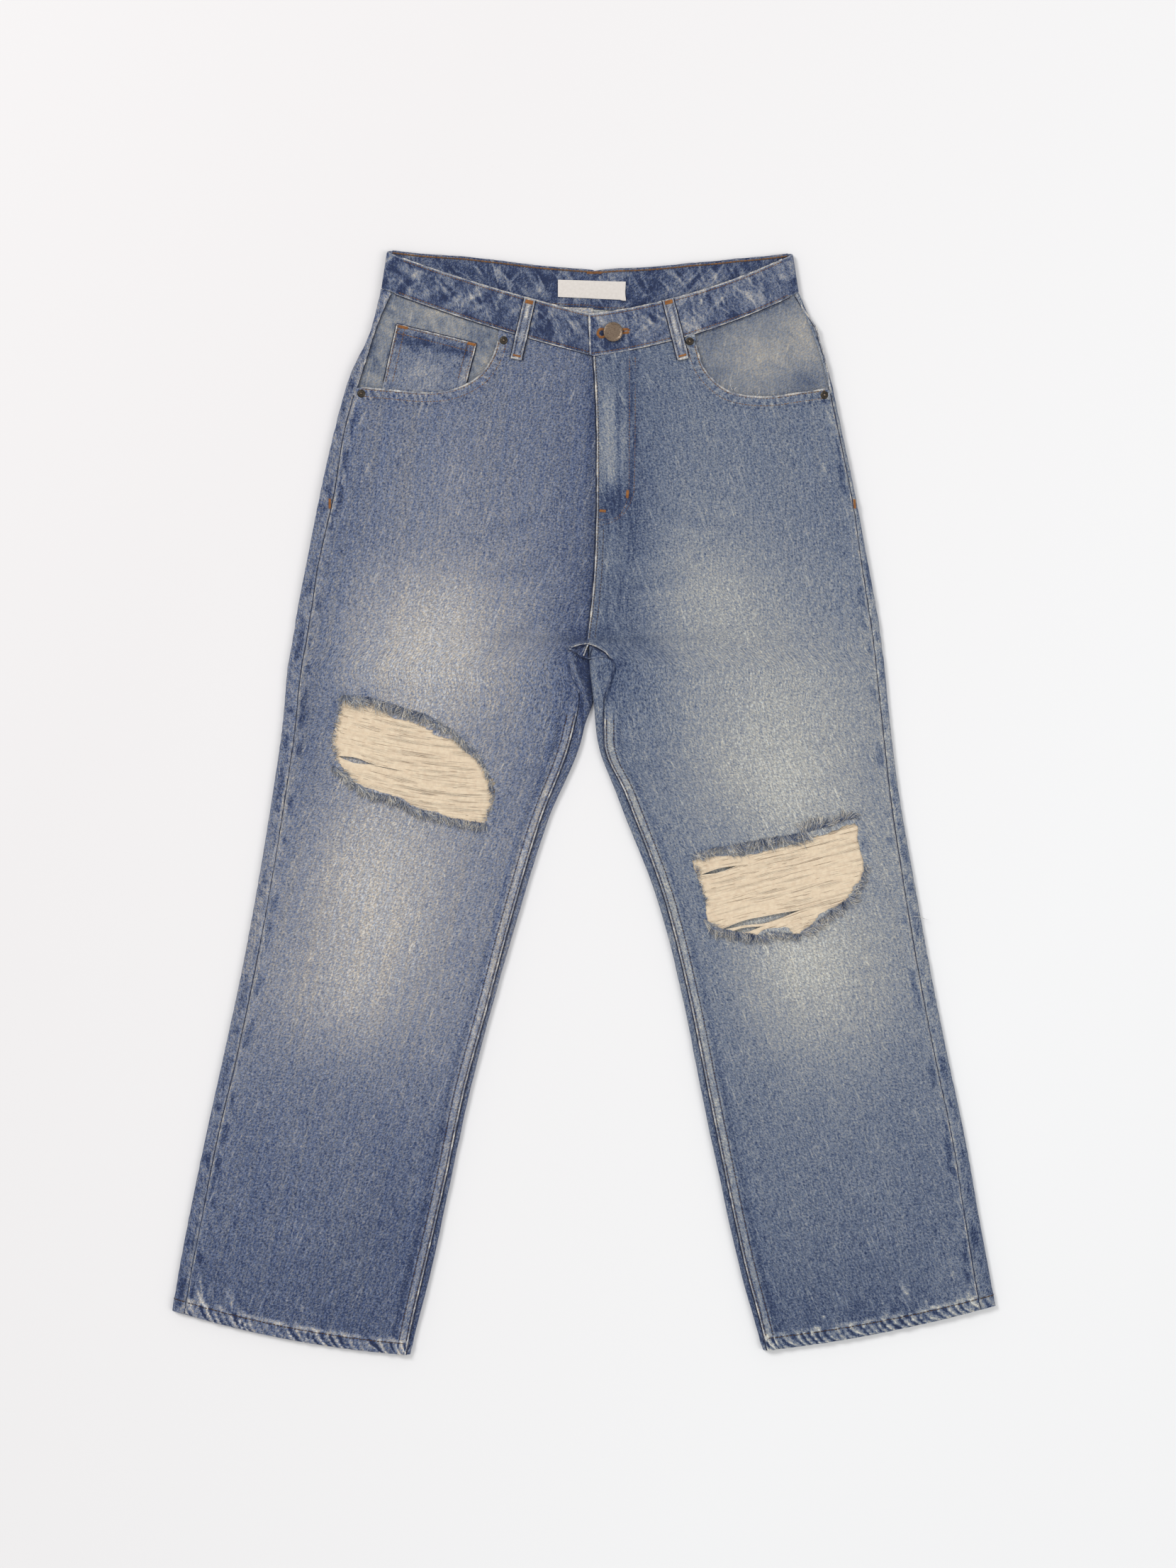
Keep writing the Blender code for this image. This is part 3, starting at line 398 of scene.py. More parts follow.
@dataclass(frozen=True)
class Noise:
    """Smooth noise from -1 to 1: a seeded lattice of values, blended by smooth steps."""

    seed: int
    size: int = 61

    def line(self, along: ArrayLike) -> Array:
        """Noise along a line whose lattice has a spacing of 1.

        Args:
            along: places on the line.

        Returns:
            One value a place.
        """
        return self.plane(along, np.zeros_like(np.asarray(along, float)))

    def plane(self, across: ArrayLike, along: ArrayLike) -> Array:
        """Noise over a plane whose lattice has a spacing of 1.

        Args:
            across: places in the first direction.
            along: places in the second direction.

        Returns:
            One value a place.
        """
        values = np.random.default_rng(self.seed).uniform(-1.0, 1.0, (self.size, self.size))
        u, v = np.broadcast_arrays(np.asarray(across, float), np.asarray(along, float))
        i, j = np.floor(u).astype(int), np.floor(v).astype(int)
        s, t = smooth_step(u - i), smooth_step(v - j)
        i, j, size = i % self.size, j % self.size, self.size
        low = values[i, j] * (1.0 - s) + values[(i + 1) % size, j] * s
        high = values[i, (j + 1) % size] * (1.0 - s) + values[(i + 1) % size, (j + 1) % size] * s
        return low * (1.0 - t) + high * t


@dataclass
class SmoothColumns:
    """Monotone cubics through a table's columns, which never overshoot their values."""

    stations: Array
    values: Array
    slopes: Array = field(init=False)

    def __post_init__(self) -> None:
        """Work out a slope at each row: the harmonic mean of its neighbours' slopes."""
        steps = np.diff(self.stations)[:, None]
        rates = np.diff(self.values, axis=0) / steps
        before = 2.0 * steps[1:] + steps[:-1]
        after = steps[1:] + 2.0 * steps[:-1]
        same_way = rates[:-1] * rates[1:] > 0.0
        low = np.where(same_way, rates[:-1], 1.0)
        high = np.where(same_way, rates[1:], 1.0)
        middle = np.where(same_way, (before + after) / (before / low + after / high), 0.0)
        self.slopes = np.concatenate((rates[:1], middle, rates[-1:]))

    def __call__(self, at: Array) -> Array:
        """The columns' values at any stations.

        Args:
            at: the stations.

        Returns:
            The values, with the columns as one more axis.
        """
        i = np.clip(np.searchsorted(self.stations, at, side="right") - 1, 0,
                    len(self.stations) - 2)
        step = (self.stations[i + 1] - self.stations[i])[..., None]
        t = (at[..., None] - self.stations[i][..., None]) / step
        return (self.values[i] * (1.0 + 2.0 * t) * (1.0 - t) ** 2
                + self.slopes[i] * step * t * (1.0 - t) ** 2
                + self.values[i + 1] * t * t * (3.0 - 2.0 * t)
                + self.slopes[i + 1] * step * t * t * (t - 1.0))


@dataclass(frozen=True)
class Outline:
    """A smooth line through points in plan, open or closed."""

    points: tuple[tuple[float, float], ...]
    closed: bool = False
    ragged: float = 0.0
    seed: int = 0

    def line(self, spacing: float = 1.0) -> Array:
        """The line as close points: a Catmull-Rom curve, shaken where it is torn.

        Args:
            spacing: the distance between points.

        Returns:
            The points, the first repeated at the end if the line is closed.
        """
        knots = np.array(self.points)
        if self.closed:
            knots = np.concatenate((knots[-1:], knots, knots[:2]))
        else:
            before, after = 2 * knots[:1] - knots[1:2], 2 * knots[-1:] - knots[-2:-1]
            knots = np.concatenate((before, knots, after))
        t = np.linspace(0.0, 1.0, 24, endpoint=False)[None, :, None]
        a, b, c, d = (knots[k:len(knots) - 3 + k, None, :] for k in range(4))
        curve = 0.5 * (2 * b + (c - a) * t + (2 * a - 5 * b + 4 * c - d) * t ** 2
                       + (3 * b - a - 3 * c + d) * t ** 3)
        curve = np.concatenate((curve.reshape(-1, 2), knots[-2:-1]))
        return self.torn(resampled(curve, spacing))

    def torn(self, line: Array) -> Array:
        """The line moved sideways by noise, by as much as its raggedness."""
        if not self.ragged:
            return line
        run = runs_of(line)
        sideways = np.gradient(line, axis=0)[:, ::-1] * (1.0, -1.0)
        fade = np.minimum(run, run[-1] - run) / 8.0
        shake = Noise(self.seed).line(run / 5.0) + 0.6 * Noise(self.seed + 1).line(run / 2.1)
        return line + unit(sideways) * (self.ragged * shake * np.clip(fade, 0.0, 1.0))[:, None]


def runs_of(line: Array) -> Array:
    """How far along a line each of its points lies."""
    steps = np.linalg.norm(np.diff(line, axis=0), axis=1)
    return np.concatenate(([0.0], np.cumsum(steps)))


def resampled(line: Array, spacing: float) -> Array:
    """A line's points again, an even distance apart.

    Args:
        line: points in any number of dimensions.
        spacing: about how far apart the new points lie.

    Returns:
        The new points, both ends included.
    """
    run = runs_of(line)
    count = max(2, int(round(run[-1] / spacing)) + 1)
    at = np.linspace(0.0, run[-1], count)
    return np.stack([np.interp(at, run, line[:, axis]) for axis in range(line.shape[1])], axis=1)


def offset_line(line: Array, distance: float) -> Array:
    """A plan line moved to its left by a distance."""
    along = unit(np.gradient(line, axis=0))
    return line + np.stack((-along[:, 1], along[:, 0]), axis=1) * distance


def nearest_on(line: Array, x: Array, y: Array, reach: float) -> tuple[Array, Array, Array]:
    """The nearest place of a plan line to each point, if it is within reach.

    Each point is projected on every segment of the line, and the nearest foot is kept.

    Args:
        line: the line's points.
        x: the points' first coordinates.
        y: the points' second coordinates.
        reach: the points further than this from the line's box are left out.

    Returns:
        The distances (reach where left out), the feet, and how far along the line they lie.
    """
    distance = np.full(x.shape, reach)
    foot = np.stack((x, y), axis=-1)
    run = np.zeros(x.shape)
    low, high = line.min(axis=0) - reach, line.max(axis=0) + reach
    near = (x > low[0]) & (x < high[0]) & (y > low[1]) & (y < high[1])
    if not near.any():
        return distance, foot, run
    points = foot[near]
    start, step = line[:-1], np.diff(line, axis=0)
    length = np.maximum((step ** 2).sum(axis=1), 1e-12)
    starts = runs_of(line)
    found = np.full(len(points), np.inf)
    feet = points.copy()
    places = np.zeros(len(points))
    chunks = max(1, len(points) * len(start) // CHUNK_PAIRS)
    for chunk in np.array_split(np.arange(len(points)), chunks):
        gap = points[chunk, None, :] - start[None]
        share = np.clip((gap * step[None]).sum(axis=2) / length, 0.0, 1.0)
        away = gap - share[..., None] * step[None]
        square = (away ** 2).sum(axis=2)
        best = square.argmin(axis=1)
        rows = np.arange(len(chunk))
        found[chunk] = np.sqrt(square[rows, best])
        feet[chunk] = start[best] + share[rows, best, None] * step[best]
        places[chunk] = starts[best] + share[rows, best] * np.sqrt(length[best])
    distance[near] = np.minimum(found, reach)
    foot[near] = feet
    run[near] = places
    return distance, foot, run


def inside(line: Array, x: Array, y: Array) -> NDArray[np.bool_]:
    """Whether each point is inside a closed plan line, by counting the crossings to its right.

    Args:
        line: the line's points, the first repeated at its end.
        x: the points' first coordinates.
        y: the points' second coordinates.

    Returns:
        True for every point inside.
    """
    result = np.zeros(x.shape, bool)
    low, high = line.min(axis=0), line.max(axis=0)
    near = (x > low[0]) & (x < high[0]) & (y > low[1]) & (y < high[1])
    px, py = x[near][:, None], y[near][:, None]
    ax, ay = line[:-1, 0][None], line[:-1, 1][None]
    bx, by = line[1:, 0][None], line[1:, 1][None]
    spans = (ay > py) != (by > py)
    crossing = ax + (py - ay) * (bx - ax) / np.where(by == ay, 1e-12, by - ay)
    result[near] = (spans & (px < crossing)).sum(axis=1) % 2 == 1
    return result


# ------------------------------------------------------------------------------ the legs' form


@dataclass
class Tube:
    """A leg's cross-sections at many stations: two flat faces joined by half circles.

    Every field is an array with one value, or one pair, a station.
    """

    outer: Array
    inner: Array
    back_inner: Array
    seam: Array
    radius: Array
    top: Array
    under: Array
    outseam: Array
    bow: Array
    turn: Array
    lap_drop: Array
    width: Array = field(init=False)
    across: Array = field(init=False)

    def __post_init__(self) -> None:
        """Work out the direction and the width across each section."""
        gap = self.inner - self.outer
        self.width = np.linalg.norm(gap, axis=-1)
        self.across = unit(gap)

    def bowed(self, plan: Array) -> Array:
        """Plan points moved towards the waist by the section's bow: 4 b s (1 - s)."""
        share = np.clip(((plan - self.outer) * self.across).sum(axis=-1) / self.width, 0.0, 1.0)
        moved = plan.copy()
        moved[..., 1] += 4.0 * self.bow * share * (1.0 - share)
        return moved

    def front_width(self) -> Array:
        """The front panel's width from the outseam to the fly or inseam."""
        return np.linalg.norm(self.seam - self.front_start(), axis=-1)

    def front_start(self) -> Array:
        """The front panel's edge at the outseam."""
        return self.outer + self.across * np.maximum(self.outseam, self.radius)[..., None]

    def front(self, run: Array) -> Array:
        """The front panel's outer face, flat but for the lap under the fly.

        Args:
            run: how far each point is from the outseam.

        Returns:
            The points.
        """
        start = self.front_start()
        width = self.front_width()
        plan = self.bowed(start + (self.seam - start) * (run / width)[..., None])
        height = self.top - self.lap_drop * smooth_step(1.0 - (width - run - LAP_START) / LAP_REACH)
        return np.concatenate((plan, height[..., None]), axis=-1)

    def back(self, step: Array) -> tuple[Array, Array, Array]:
        """The back panel's outer face, from the outseam round the side, the floor and the inner
        side up to the inseam, each stretch by its own formula.

        Args:
            step: 0 to 1 round the outer side, 1 to 2 along the floor, 2 to 3 up to the inseam.

        Returns:
            The points, the directions that face out and how far each point is from the outseam.
        """
        gap = self.back_inner - self.outer
        width = np.linalg.norm(gap, axis=-1)
        across = unit(gap)
        radius = self.radius
        stretch = np.maximum(self.outseam - radius, 0.0)
        start = np.arccos(1.0 - np.clip(self.outseam / radius, 0.0, 1.0))
        side_end = stretch + radius * (start + HALF_TURN / 2.0)
        turn = self.turn * HALF_TURN
        centre = width - radius * np.sin(np.minimum(turn, HALF_TURN / 2.0))
        floor_end = side_end + centre - radius
        curl_end = floor_end + radius * turn
        curl = centre + radius * np.cos(turn - HALF_TURN / 2.0)
        curl_plan = self.outer + across * curl[..., None]
        seam_plan = self.bowed(self.seam)
        whole_turn = self.turn > 0.999
        rest = np.where(whole_turn, np.linalg.norm(seam_plan - curl_plan, axis=-1), 0.0)
        total = curl_end + rest
        side_mark = side_end + SIDE_MARK
        inner_mark = floor_end - INNER_MARK - OPEN_MARK * (1.0 - self.turn)
        low, high = SEAM_GAP / 2.0, total - SEAM_GAP / 2.0
        run = np.where(step < 1.0, low + (side_mark - low) * step,
                       np.where(step < 2.0, side_mark + (inner_mark - side_mark) * (step - 1.0),
                                inner_mark + (high - inner_mark) * (step - 2.0)))

        def turned(middle: Array, angle: Array, way: Array) -> tuple[Array, Array]:
            """A point and direction on a half circle, at an angle over the horizontal."""
            plan = self.bowed(middle - way * (radius * np.cos(angle))[..., None])
            height = self.under + radius * (1.0 + np.sin(angle))
            cosine, sine = np.cos(angle)[..., None], np.sin(angle)[..., None]
            out = np.concatenate((-way * cosine, sine), axis=-1)
            return np.concatenate((plan, height[..., None]), axis=-1), out

        def flat(plan: Array, height: Array, up: float) -> tuple[Array, Array]:
            """A point and direction on a flat face."""
            return np.concatenate((plan, height[..., None]), axis=-1), upright(height.shape, up)

        reach = np.maximum(self.outseam, radius) - run
        pieces = [flat(self.bowed(self.outer + self.across * reach[..., None]), self.top, 1.0)]
        angle = start - (run - stretch) / radius
        way = np.where((angle > 0.0)[..., None], self.across, across)
        pieces.append(turned(self.outer + way * radius[..., None], angle, way))
        reach = radius + run - side_end
        pieces.append(flat(self.bowed(self.outer + across * reach[..., None]), self.under, -1.0))
        angle = -HALF_TURN / 2.0 + (run - floor_end) / radius
        pieces.append(turned(self.outer + across * centre[..., None], angle, -across))
        share = np.clip((run - curl_end) / np.maximum(rest, 1e-9), 0.0, 1.0)
        plan = self.bowed(curl_plan) + (seam_plan - self.bowed(curl_plan)) * share[..., None]
        pieces.append(flat(plan, self.top, 1.0))
        which = ((run >= stretch).astype(int) + (run >= side_end) + (run >= floor_end)
                 + (run >= curl_end) * whole_turn)
        point = np.select([(which == k)[..., None] for k in range(5)], [p for p, _ in pieces])
        out = np.select([(which == k)[..., None] for k in range(5)], [o for _, o in pieces])
        return point, unit(out), run


@dataclass
class LegShape:
    """One leg's sections, read at any station between them.

    side is -1 for the wearer's right leg, which lies at negative X, and 1 for the left one.
    """

    side: int
    sections: Sequence[Section]
    fades_and_shades: Sequence[FadeAndShade]
    stations: Array = field(init=False)
    columns: SmoothColumns = field(init=False)

    def __post_init__(self) -> None:
        """Lay the stations out along the middle of the leg and fit the columns."""
        table = np.array([section[1:] for section in self.sections], float)
        outer = np.linalg.norm(np.diff(table[:, 0:2], axis=0), axis=1)
        inner = np.linalg.norm(np.diff(table[:, 2:4], axis=0), axis=1)
        self.stations = np.concatenate(([0.0], np.cumsum((outer + inner) / 2.0)))
        shared = np.array([level[1:] for level in LEVELS], float)
        self.columns = SmoothColumns(self.stations, np.concatenate((table, shared), axis=1))

    def station(self, row: ArrayLike) -> Array:
        """Stations of rows of the tables, which may lie between two of them."""
        return np.interp(row, np.arange(len(self.stations)), self.stations)

    def tube(self, station: Array, top: float | None = None, inset: float = 0.0) -> Tube:
        """The leg's tube at some stations.

        Args:
            station: the stations.
            top: a height of the upper face that replaces the table's.
            inset: how much smaller the tube is all round.

        Returns:
            The tube.
        """
        values = self.columns(np.asarray(station, float))

        def column(name: str) -> Array:
            """One of the tables' columns."""
            return values[..., COLUMNS[name]]

        outer, inner, seam = values[..., 0:2], values[..., 2:4], values[..., 4:6]
        height = (column("top") if top is None else np.full_like(column("top"), top)) - inset
        under = column("under") + inset
        back_inner = inner.copy()
        back_inner[..., 1] += column("back_rise")
        lap = column("lap") * (FLY_LAP_DROP if self.side < 0 else 0.0)
        return Tube(outer=outer + inset * unit(inner - outer), inner=inner, back_inner=back_inner,
                    seam=seam, radius=(height - under) / 2.0, top=height, under=under,
                    outseam=column("outseam") - inset, bow=column("bow"),
                    turn=np.clip(column("turn"), 0.0, 1.0), lap_drop=lap)

    def locate(self, x: Array, y: Array) -> tuple[Array, Array, Array]:
        """The station and place across of plan points, found by closing in on the section line
        that passes through each point.

        Args:
            x: the points' first coordinates.
            y: the points' second coordinates.

        Returns:
            The stations, and the distances from the outseam and from the fly or inseam.
        """
        station = np.interp(-y, GUESSED_REACH, (0.0, self.stations[-1]))
        for _ in range(LOCATE_ROUNDS):
            tube = self.tube(station)
            reach = (x - tube.outer[..., 0]) / tube.across[..., 0]
            share = np.clip(reach / tube.width, 0.0, 1.0)
            line = tube.outer[..., 1] + tube.across[..., 1] * reach
            line += 4.0 * tube.bow * share * (1.0 - share)
            station = np.clip(station + LOCATE_STEP * (line - y), 0.0, self.stations[-1])
        tube = self.tube(station)
        reach = (x - tube.outer[..., 0]) / tube.across[..., 0]
        from_outseam = reach - np.maximum(tube.outseam, tube.radius)
        return station, from_outseam, tube.front_width() - from_outseam

    def grain(self, station: Array, from_outseam: Array, width: Array) -> Array:
        """Cloth coordinates in metres: across from the leg's middle, and along it."""
        return np.stack((from_outseam - width / 2.0, -station), axis=-1) * MM

    def paleness(self, x: Array, y: Array) -> Array:
        """How pale the cloth is in plan: the plain cloth's tone plus every patch, paler or darker,
        some of the darker ones painted shade.

        Args:
            x: the points' first coordinates.
            y: the points' second coordinates.

        Returns:
            The paleness of every point. A patch is a bell, flatter than a Gaussian one.
        """
        tones = TONES[::-1]
        pale = np.interp(y, [tone.y for tone in tones], [tone.pale for tone in tones])
        for patch in self.fades_and_shades:
            away = (patch.square(x, y) / PATCH_REACH ** 2) ** PATCH_POWER
            pale = pale + patch.strength * np.exp(-PATCH_STEEPNESS * away)
        return pale


# ------------------------------------------------------------------------------ meshes


@dataclass
class Sheet:
    """A grid of a cloth piece's outer face, before it gets its thickness.

    points and outs are (rows, columns, 3) in millimetres, pale, grain and thickness go with them,
    keep says which of the grid's squares are cloth and inner_pale is the inner face's paleness.
    """

    points: Array
    outs: Array
    pale: Array
    grain: Array
    thickness: Array
    keep: NDArray[np.bool_] | None = None
    inner_pale: Array | float = 0.5

    def kept(self) -> NDArray[np.bool_]:
        """Which of the grid's squares are cloth."""
        rows, columns = self.points.shape[:2]
        return np.ones((rows - 1, columns - 1), bool) if self.keep is None else self.keep

    def flat(self) -> tuple[float, float, float]:
        """The cut's width, length and area in metres: the grain's reach and the sum of its kept
        squares."""
        grain, keep = self.grain, self.kept()
        one = grain[1:, 1:] - grain[:-1, :-1]
        other = grain[1:, :-1] - grain[:-1, 1:]
        area = np.abs(one[..., 0] * other[..., 1] - one[..., 1] * other[..., 0])[keep].sum() / 2.0
        corners = np.concatenate([part[keep] for part in (grain[:-1, :-1], grain[1:, :-1],
                                                          grain[1:, 1:], grain[:-1, 1:])])
        width, length = np.ptp(corners, axis=0)
        return float(width), float(length), float(min(area, width * length))

    def wall(self, flip: bool) -> tuple[Array, list[NDArray], Array, Array]:
        """The closed wall: the outer face, the inner one a thickness behind it, and a rim along
        every edge that only one kept square has.

        Args:
            flip: whether the grid's squares run clockwise seen from outside.

        Returns:
            The points, the faces, the paleness and the grain of every point.
        """
        rows, columns = self.points.shape[:2]
        index = np.arange(rows * columns).reshape(rows, columns)
        squares = np.stack((index[:-1, :-1], index[1:, :-1], index[1:, 1:], index[:-1, 1:]),
                           axis=-1)
        faces = squares[self.kept()]
        if flip:
            faces = faces[:, ::-1]
        used, faces = np.unique(faces, return_inverse=True)
        faces = faces.reshape(-1, 4)
        count = len(used)
        edges = np.concatenate([faces[:, [k, (k + 1) % 4]] for k in range(4)])
        key = edges[:, 0] * count + edges[:, 1]
        other = edges[:, 1] * count + edges[:, 0]
        border = edges[~np.isin(key, other)]
        rim = np.stack((border[:, 1], border[:, 0], border[:, 0] + count, border[:, 1] + count),
                       axis=1)
        outer = self.points.reshape(-1, 3)[used]
        inner = outer - self.outs.reshape(-1, 3)[used] * self.thickness.reshape(-1, 1)[used]
        pale = self.pale.reshape(-1)[used]
        inner_pale = np.broadcast_to(self.inner_pale, self.pale.shape).reshape(-1)[used]
        grain = self.grain.reshape(-1, 2)[used]
        return (np.concatenate((outer, inner)), [faces, faces[:, ::-1] + count, rim],
                np.concatenate((pale, inner_pale)), np.concatenate((grain, grain)))


def make_object(name: str, points: Array, faces: Sequence[NDArray], material: bpy.types.Material,
                pale: Array | None = None, grain: Array | None = None,
                sharp: float = 0.9) -> bpy.types.Object:
    """A mesh object from points in millimetres.

    Args:
        name: the object's name.
        points: the points.
        faces: arrays of faces, one array for each number of corners.
        material: its finish.
        pale: how pale each point is, from wear and from painted shade and highlights, kept in the
            attribute "pale".
        grain: cloth coordinates of each point in metres, kept in the map "Grain".
        sharp: the angle in radians past which an edge is sharp.

    Returns:
        The object, in the scene's own collection.
    """
    mesh = bpy.data.meshes.new(name)
    mesh.from_pydata((points * MM).tolist(), [], [face for part in faces for face in part.tolist()])
    mesh.materials.append(material)
    if pale is not None:
        layer = mesh.attributes.new("pale", "FLOAT", "POINT")
        layer.data.foreach_set("value", pale.astype(np.float32))
    if grain is not None:
        corners = np.empty(len(mesh.loops), np.int32)
        mesh.loops.foreach_get("vertex_index", corners)
        layer = mesh.uv_layers.new(name="Grain")
        layer.data.foreach_set("uv", grain[corners].astype(np.float32).ravel())
    mesh.shade_smooth()
    mesh.set_sharp_from_angle(angle=sharp)
    piece = bpy.data.objects.new(name, mesh)
    bpy.context.scene.collection.objects.link(piece)
    return piece


def make_cloth(name: str, sheet: Sheet, flip: bool, material: bpy.types.Material, slot: Slot,
               node: str, *rests_on: str) -> bpy.types.Object:
    """A published cloth piece from its sheet, whose cut size is logged.

    Args:
        name: the piece's name.
        sheet: its sheet.
        flip: whether the grid's squares run clockwise seen from outside.
        material: its finish.
        slot: its material slot, which is not used.
        node: the node that it stands for.
        *rests_on: the names of the pieces that it lies on, which are not used.

    Returns:
        The piece.
    """
    points, faces, pale, grain = sheet.wall(flip)
    piece = make_object(name, points, faces, material, pale=pale, grain=grain)
    width, length, area = sheet.flat()
    LOG.info("%s: cut %.0f x %.0f mm, %.0f cm2", name, width / MM, length / MM, area * 1e4)
    return publish(piece, slot, node)


def publish(piece: bpy.types.Object, slot: Slot, *nodes: str) -> bpy.types.Object:
    """Put a finished piece on the part's body and hide the nodes that it stands for."""
    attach(piece, "root")
    if nodes:
        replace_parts(piece, *nodes)
    triangles = sum(len(face.vertices) - 2 for face in piece.data.polygons)
    LOG.info("%s: %d triangles", piece.name, triangles)
    return piece


def tubes(paths: Array, radius: ArrayLike, sides: int, flat: float = 1.0) -> tuple[Array, NDArray]:
    """Many thin tubes at once, each a ring of points carried along its own path.

    A ring's directions are the path's level sideways direction and the vertical one.

    Args:
        paths: (tubes, points, 3).
        radius: a radius for every point, or one for all.
        sides: how many sides the tubes have.
        flat: the tubes' height over their width.

    Returns:
        The points and the quads. The ends are open and drawn to nothing where the radius is 0.
    """
    count, length = paths.shape[:2]
    along = unit(np.gradient(paths, axis=1))
    sideways = unit(np.stack((-along[..., 1], along[..., 0], 1e-9 + 0.0 * along[..., 0]), axis=-1))
    upwards = np.cross(along, sideways)
    angle = np.arange(sides) * 2.0 * np.pi / sides
    size = np.broadcast_to(np.asarray(radius, float), (count, length))[..., None, None]
    ring = (sideways[:, :, None, :] * np.cos(angle)[None, None, :, None]
            + flat * upwards[:, :, None, :] * np.sin(angle)[None, None, :, None])
    points = (paths[:, :, None, :] + ring * size).reshape(-1, 3)
    index = np.arange(count * length * sides).reshape(count, length, sides)
    here, there = index[:, :-1], index[:, 1:]
    quads = np.stack((here, np.roll(here, -1, axis=2), np.roll(there, -1, axis=2), there), axis=-1)
    return points, quads.reshape(-1, 4)


def tube_ends(count: int, length: int, sides: int) -> NDArray:
    """The end faces of such tubes."""
    index = np.arange(count * length * sides).reshape(count, length, sides)
    return np.concatenate((index[:, 0, ::-1], index[:, -1, :]))


# ------------------------------------------------------------------------------ relief


def look(height: ArrayLike, pale: ArrayLike = 0.0) -> Array:
    """A height in millimetres and a paleness, as the last axis."""
    both = np.broadcast_arrays(np.asarray(height, float), np.asarray(pale, float))
    return np.stack(both, axis=-1)


@dataclass(frozen=True)
class Crease:
    """A soft trough along a bent line, or a ridge if its depth is negative."""

    x: float
    y: float
    to_x: float
    to_y: float
    bend: float
    depth: float
    reach: float

    def at(self, x: Array, y: Array) -> Array:
        """The trough with a low swell at each side: a bell less two wider ones beside it.

        Args:
            x: the points' first coordinates.
            y: the points' second coordinates.

        Returns:
            The look of the crease at every point.
        """
        dx, dy = self.to_x - self.x, self.to_y - self.y
        length = float(np.hypot(dx, dy))
        along = ((x - self.x) * dx + (y - self.y) * dy) / length ** 2
        away = ((y - self.y) * dx - (x - self.x) * dy) / length
        away = away - self.bend * 4.0 * along * (1.0 - along)
        ends = smooth_step(along / 0.35) * smooth_step((1.0 - along) / 0.35)
        swell = hump(np.abs(away), 1.9 * self.reach, 1.1 * self.reach)
        shape = (0.5 * swell - hump(away, 0.0, self.reach)) * ends
        return look(self.depth * shape, 0.07 * np.sign(self.depth) * shape)


@dataclass(frozen=True)
class Roping:
    """Puckers beside a sewn edge: soft slanted ridges, uneven in spacing, strength and reach."""

    pitch: float
    slant: float
    height: float
    tint: float
    seed: int

    def at(self, run: Array, away: Array) -> Array:
        """A sine along the edge whose phase wanders and slants away from it.

        Args:
            run: how far along the edge each point is.
            away: how far from the edge it is.

        Returns:
            The look of the puckers at every point.
        """
        wander = Noise(self.seed).line(run / (2.7 * self.pitch))
        fine = Noise(self.seed + 1).line(run / (0.9 * self.pitch))
        phase = (run + self.slant * away) / self.pitch + 0.6 * wander + 0.16 * fine
        strength = 0.62 + 0.55 * Noise(self.seed + 2).line(run / (1.3 * self.pitch))
        ridge = np.sin(2.0 * np.pi * phase) * np.clip(strength, 0.05, 1.2)
        return look(self.height * ridge, self.tint * ridge)


@dataclass(frozen=True)
class Wisps:
    """Thin worn ridges that wind across a band of cloth, with darker cloth between them."""

    pitch: float
    slant: float
    fine: float
    height: float
    tint: float
    seed: int

    def at(self, run: Array, away: Array) -> Array:
        """Bells over the lines where slanted noise changes its sign, on mottled ground.

        Args:
            run: how far along the edge each point is.
            away: how far from the edge it is.

        Returns:
            The look of the ridges at every point.
        """
        wander = Noise(self.seed + 1).plane(run / (1.9 * self.pitch), away / 9.0)
        phase = (run + self.slant * away) / self.pitch + 0.6 * wander
        base = Noise(self.seed).plane(phase, away / 34.0)
        line = np.exp(-((base * self.pitch / (1.2 * self.fine)) ** 2))
        strength = 0.5 + 0.8 * Noise(self.seed + 2).plane(run / (0.8 * self.pitch), away / 11.0)
        line = line * np.clip(strength, 0.0, 1.25)
        ground = Noise(self.seed + 3).plane(run / (0.75 * self.pitch), away / 6.5)
        return look(self.height * (line + 0.35 * ground), self.tint * (line + 0.28 * ground - 0.2))


@dataclass(frozen=True)
class SewnBand:
    """A folded band along an edge: raised cloth, its sunk rows of stitches and their puckers."""

    width: float
    lift: float
    rows: tuple[float, ...]
    roping: Roping
    edge_pale: float = 0.25
    beyond: float = 3.0

    def at(self, run: Array, away: Array, soft: float = 1.6) -> Array:
        """The band's look: a plateau, a groove at each row, and puckers fading past the band.

        Args:
            run: how far along the edge each point is.
            away: how far from the edge it is, inside the piece.
            soft: how wide the band's inner border is.

        Returns:
            The look at every point.
        """
        height = self.lift * (1.0 - smooth_step((away - self.width) / soft))
        for row in self.rows:
            height = height - 0.42 * hump(away, row, 0.75)
        puckers = self.roping.at(run, away)
        inside_band = 1.0 - smooth_step((away - self.width) / (self.beyond + 2.0))
        result = look(height, self.edge_pale * np.exp(-np.clip(away, 0.0, None) / 1.3))
        border = 0.16 * hump(away, self.width - 0.6, 1.0) - 0.14 * hump(away, self.width + 1.6, 1.2)
        result[..., 1] += border
        return result + puckers * inside_band[..., None]


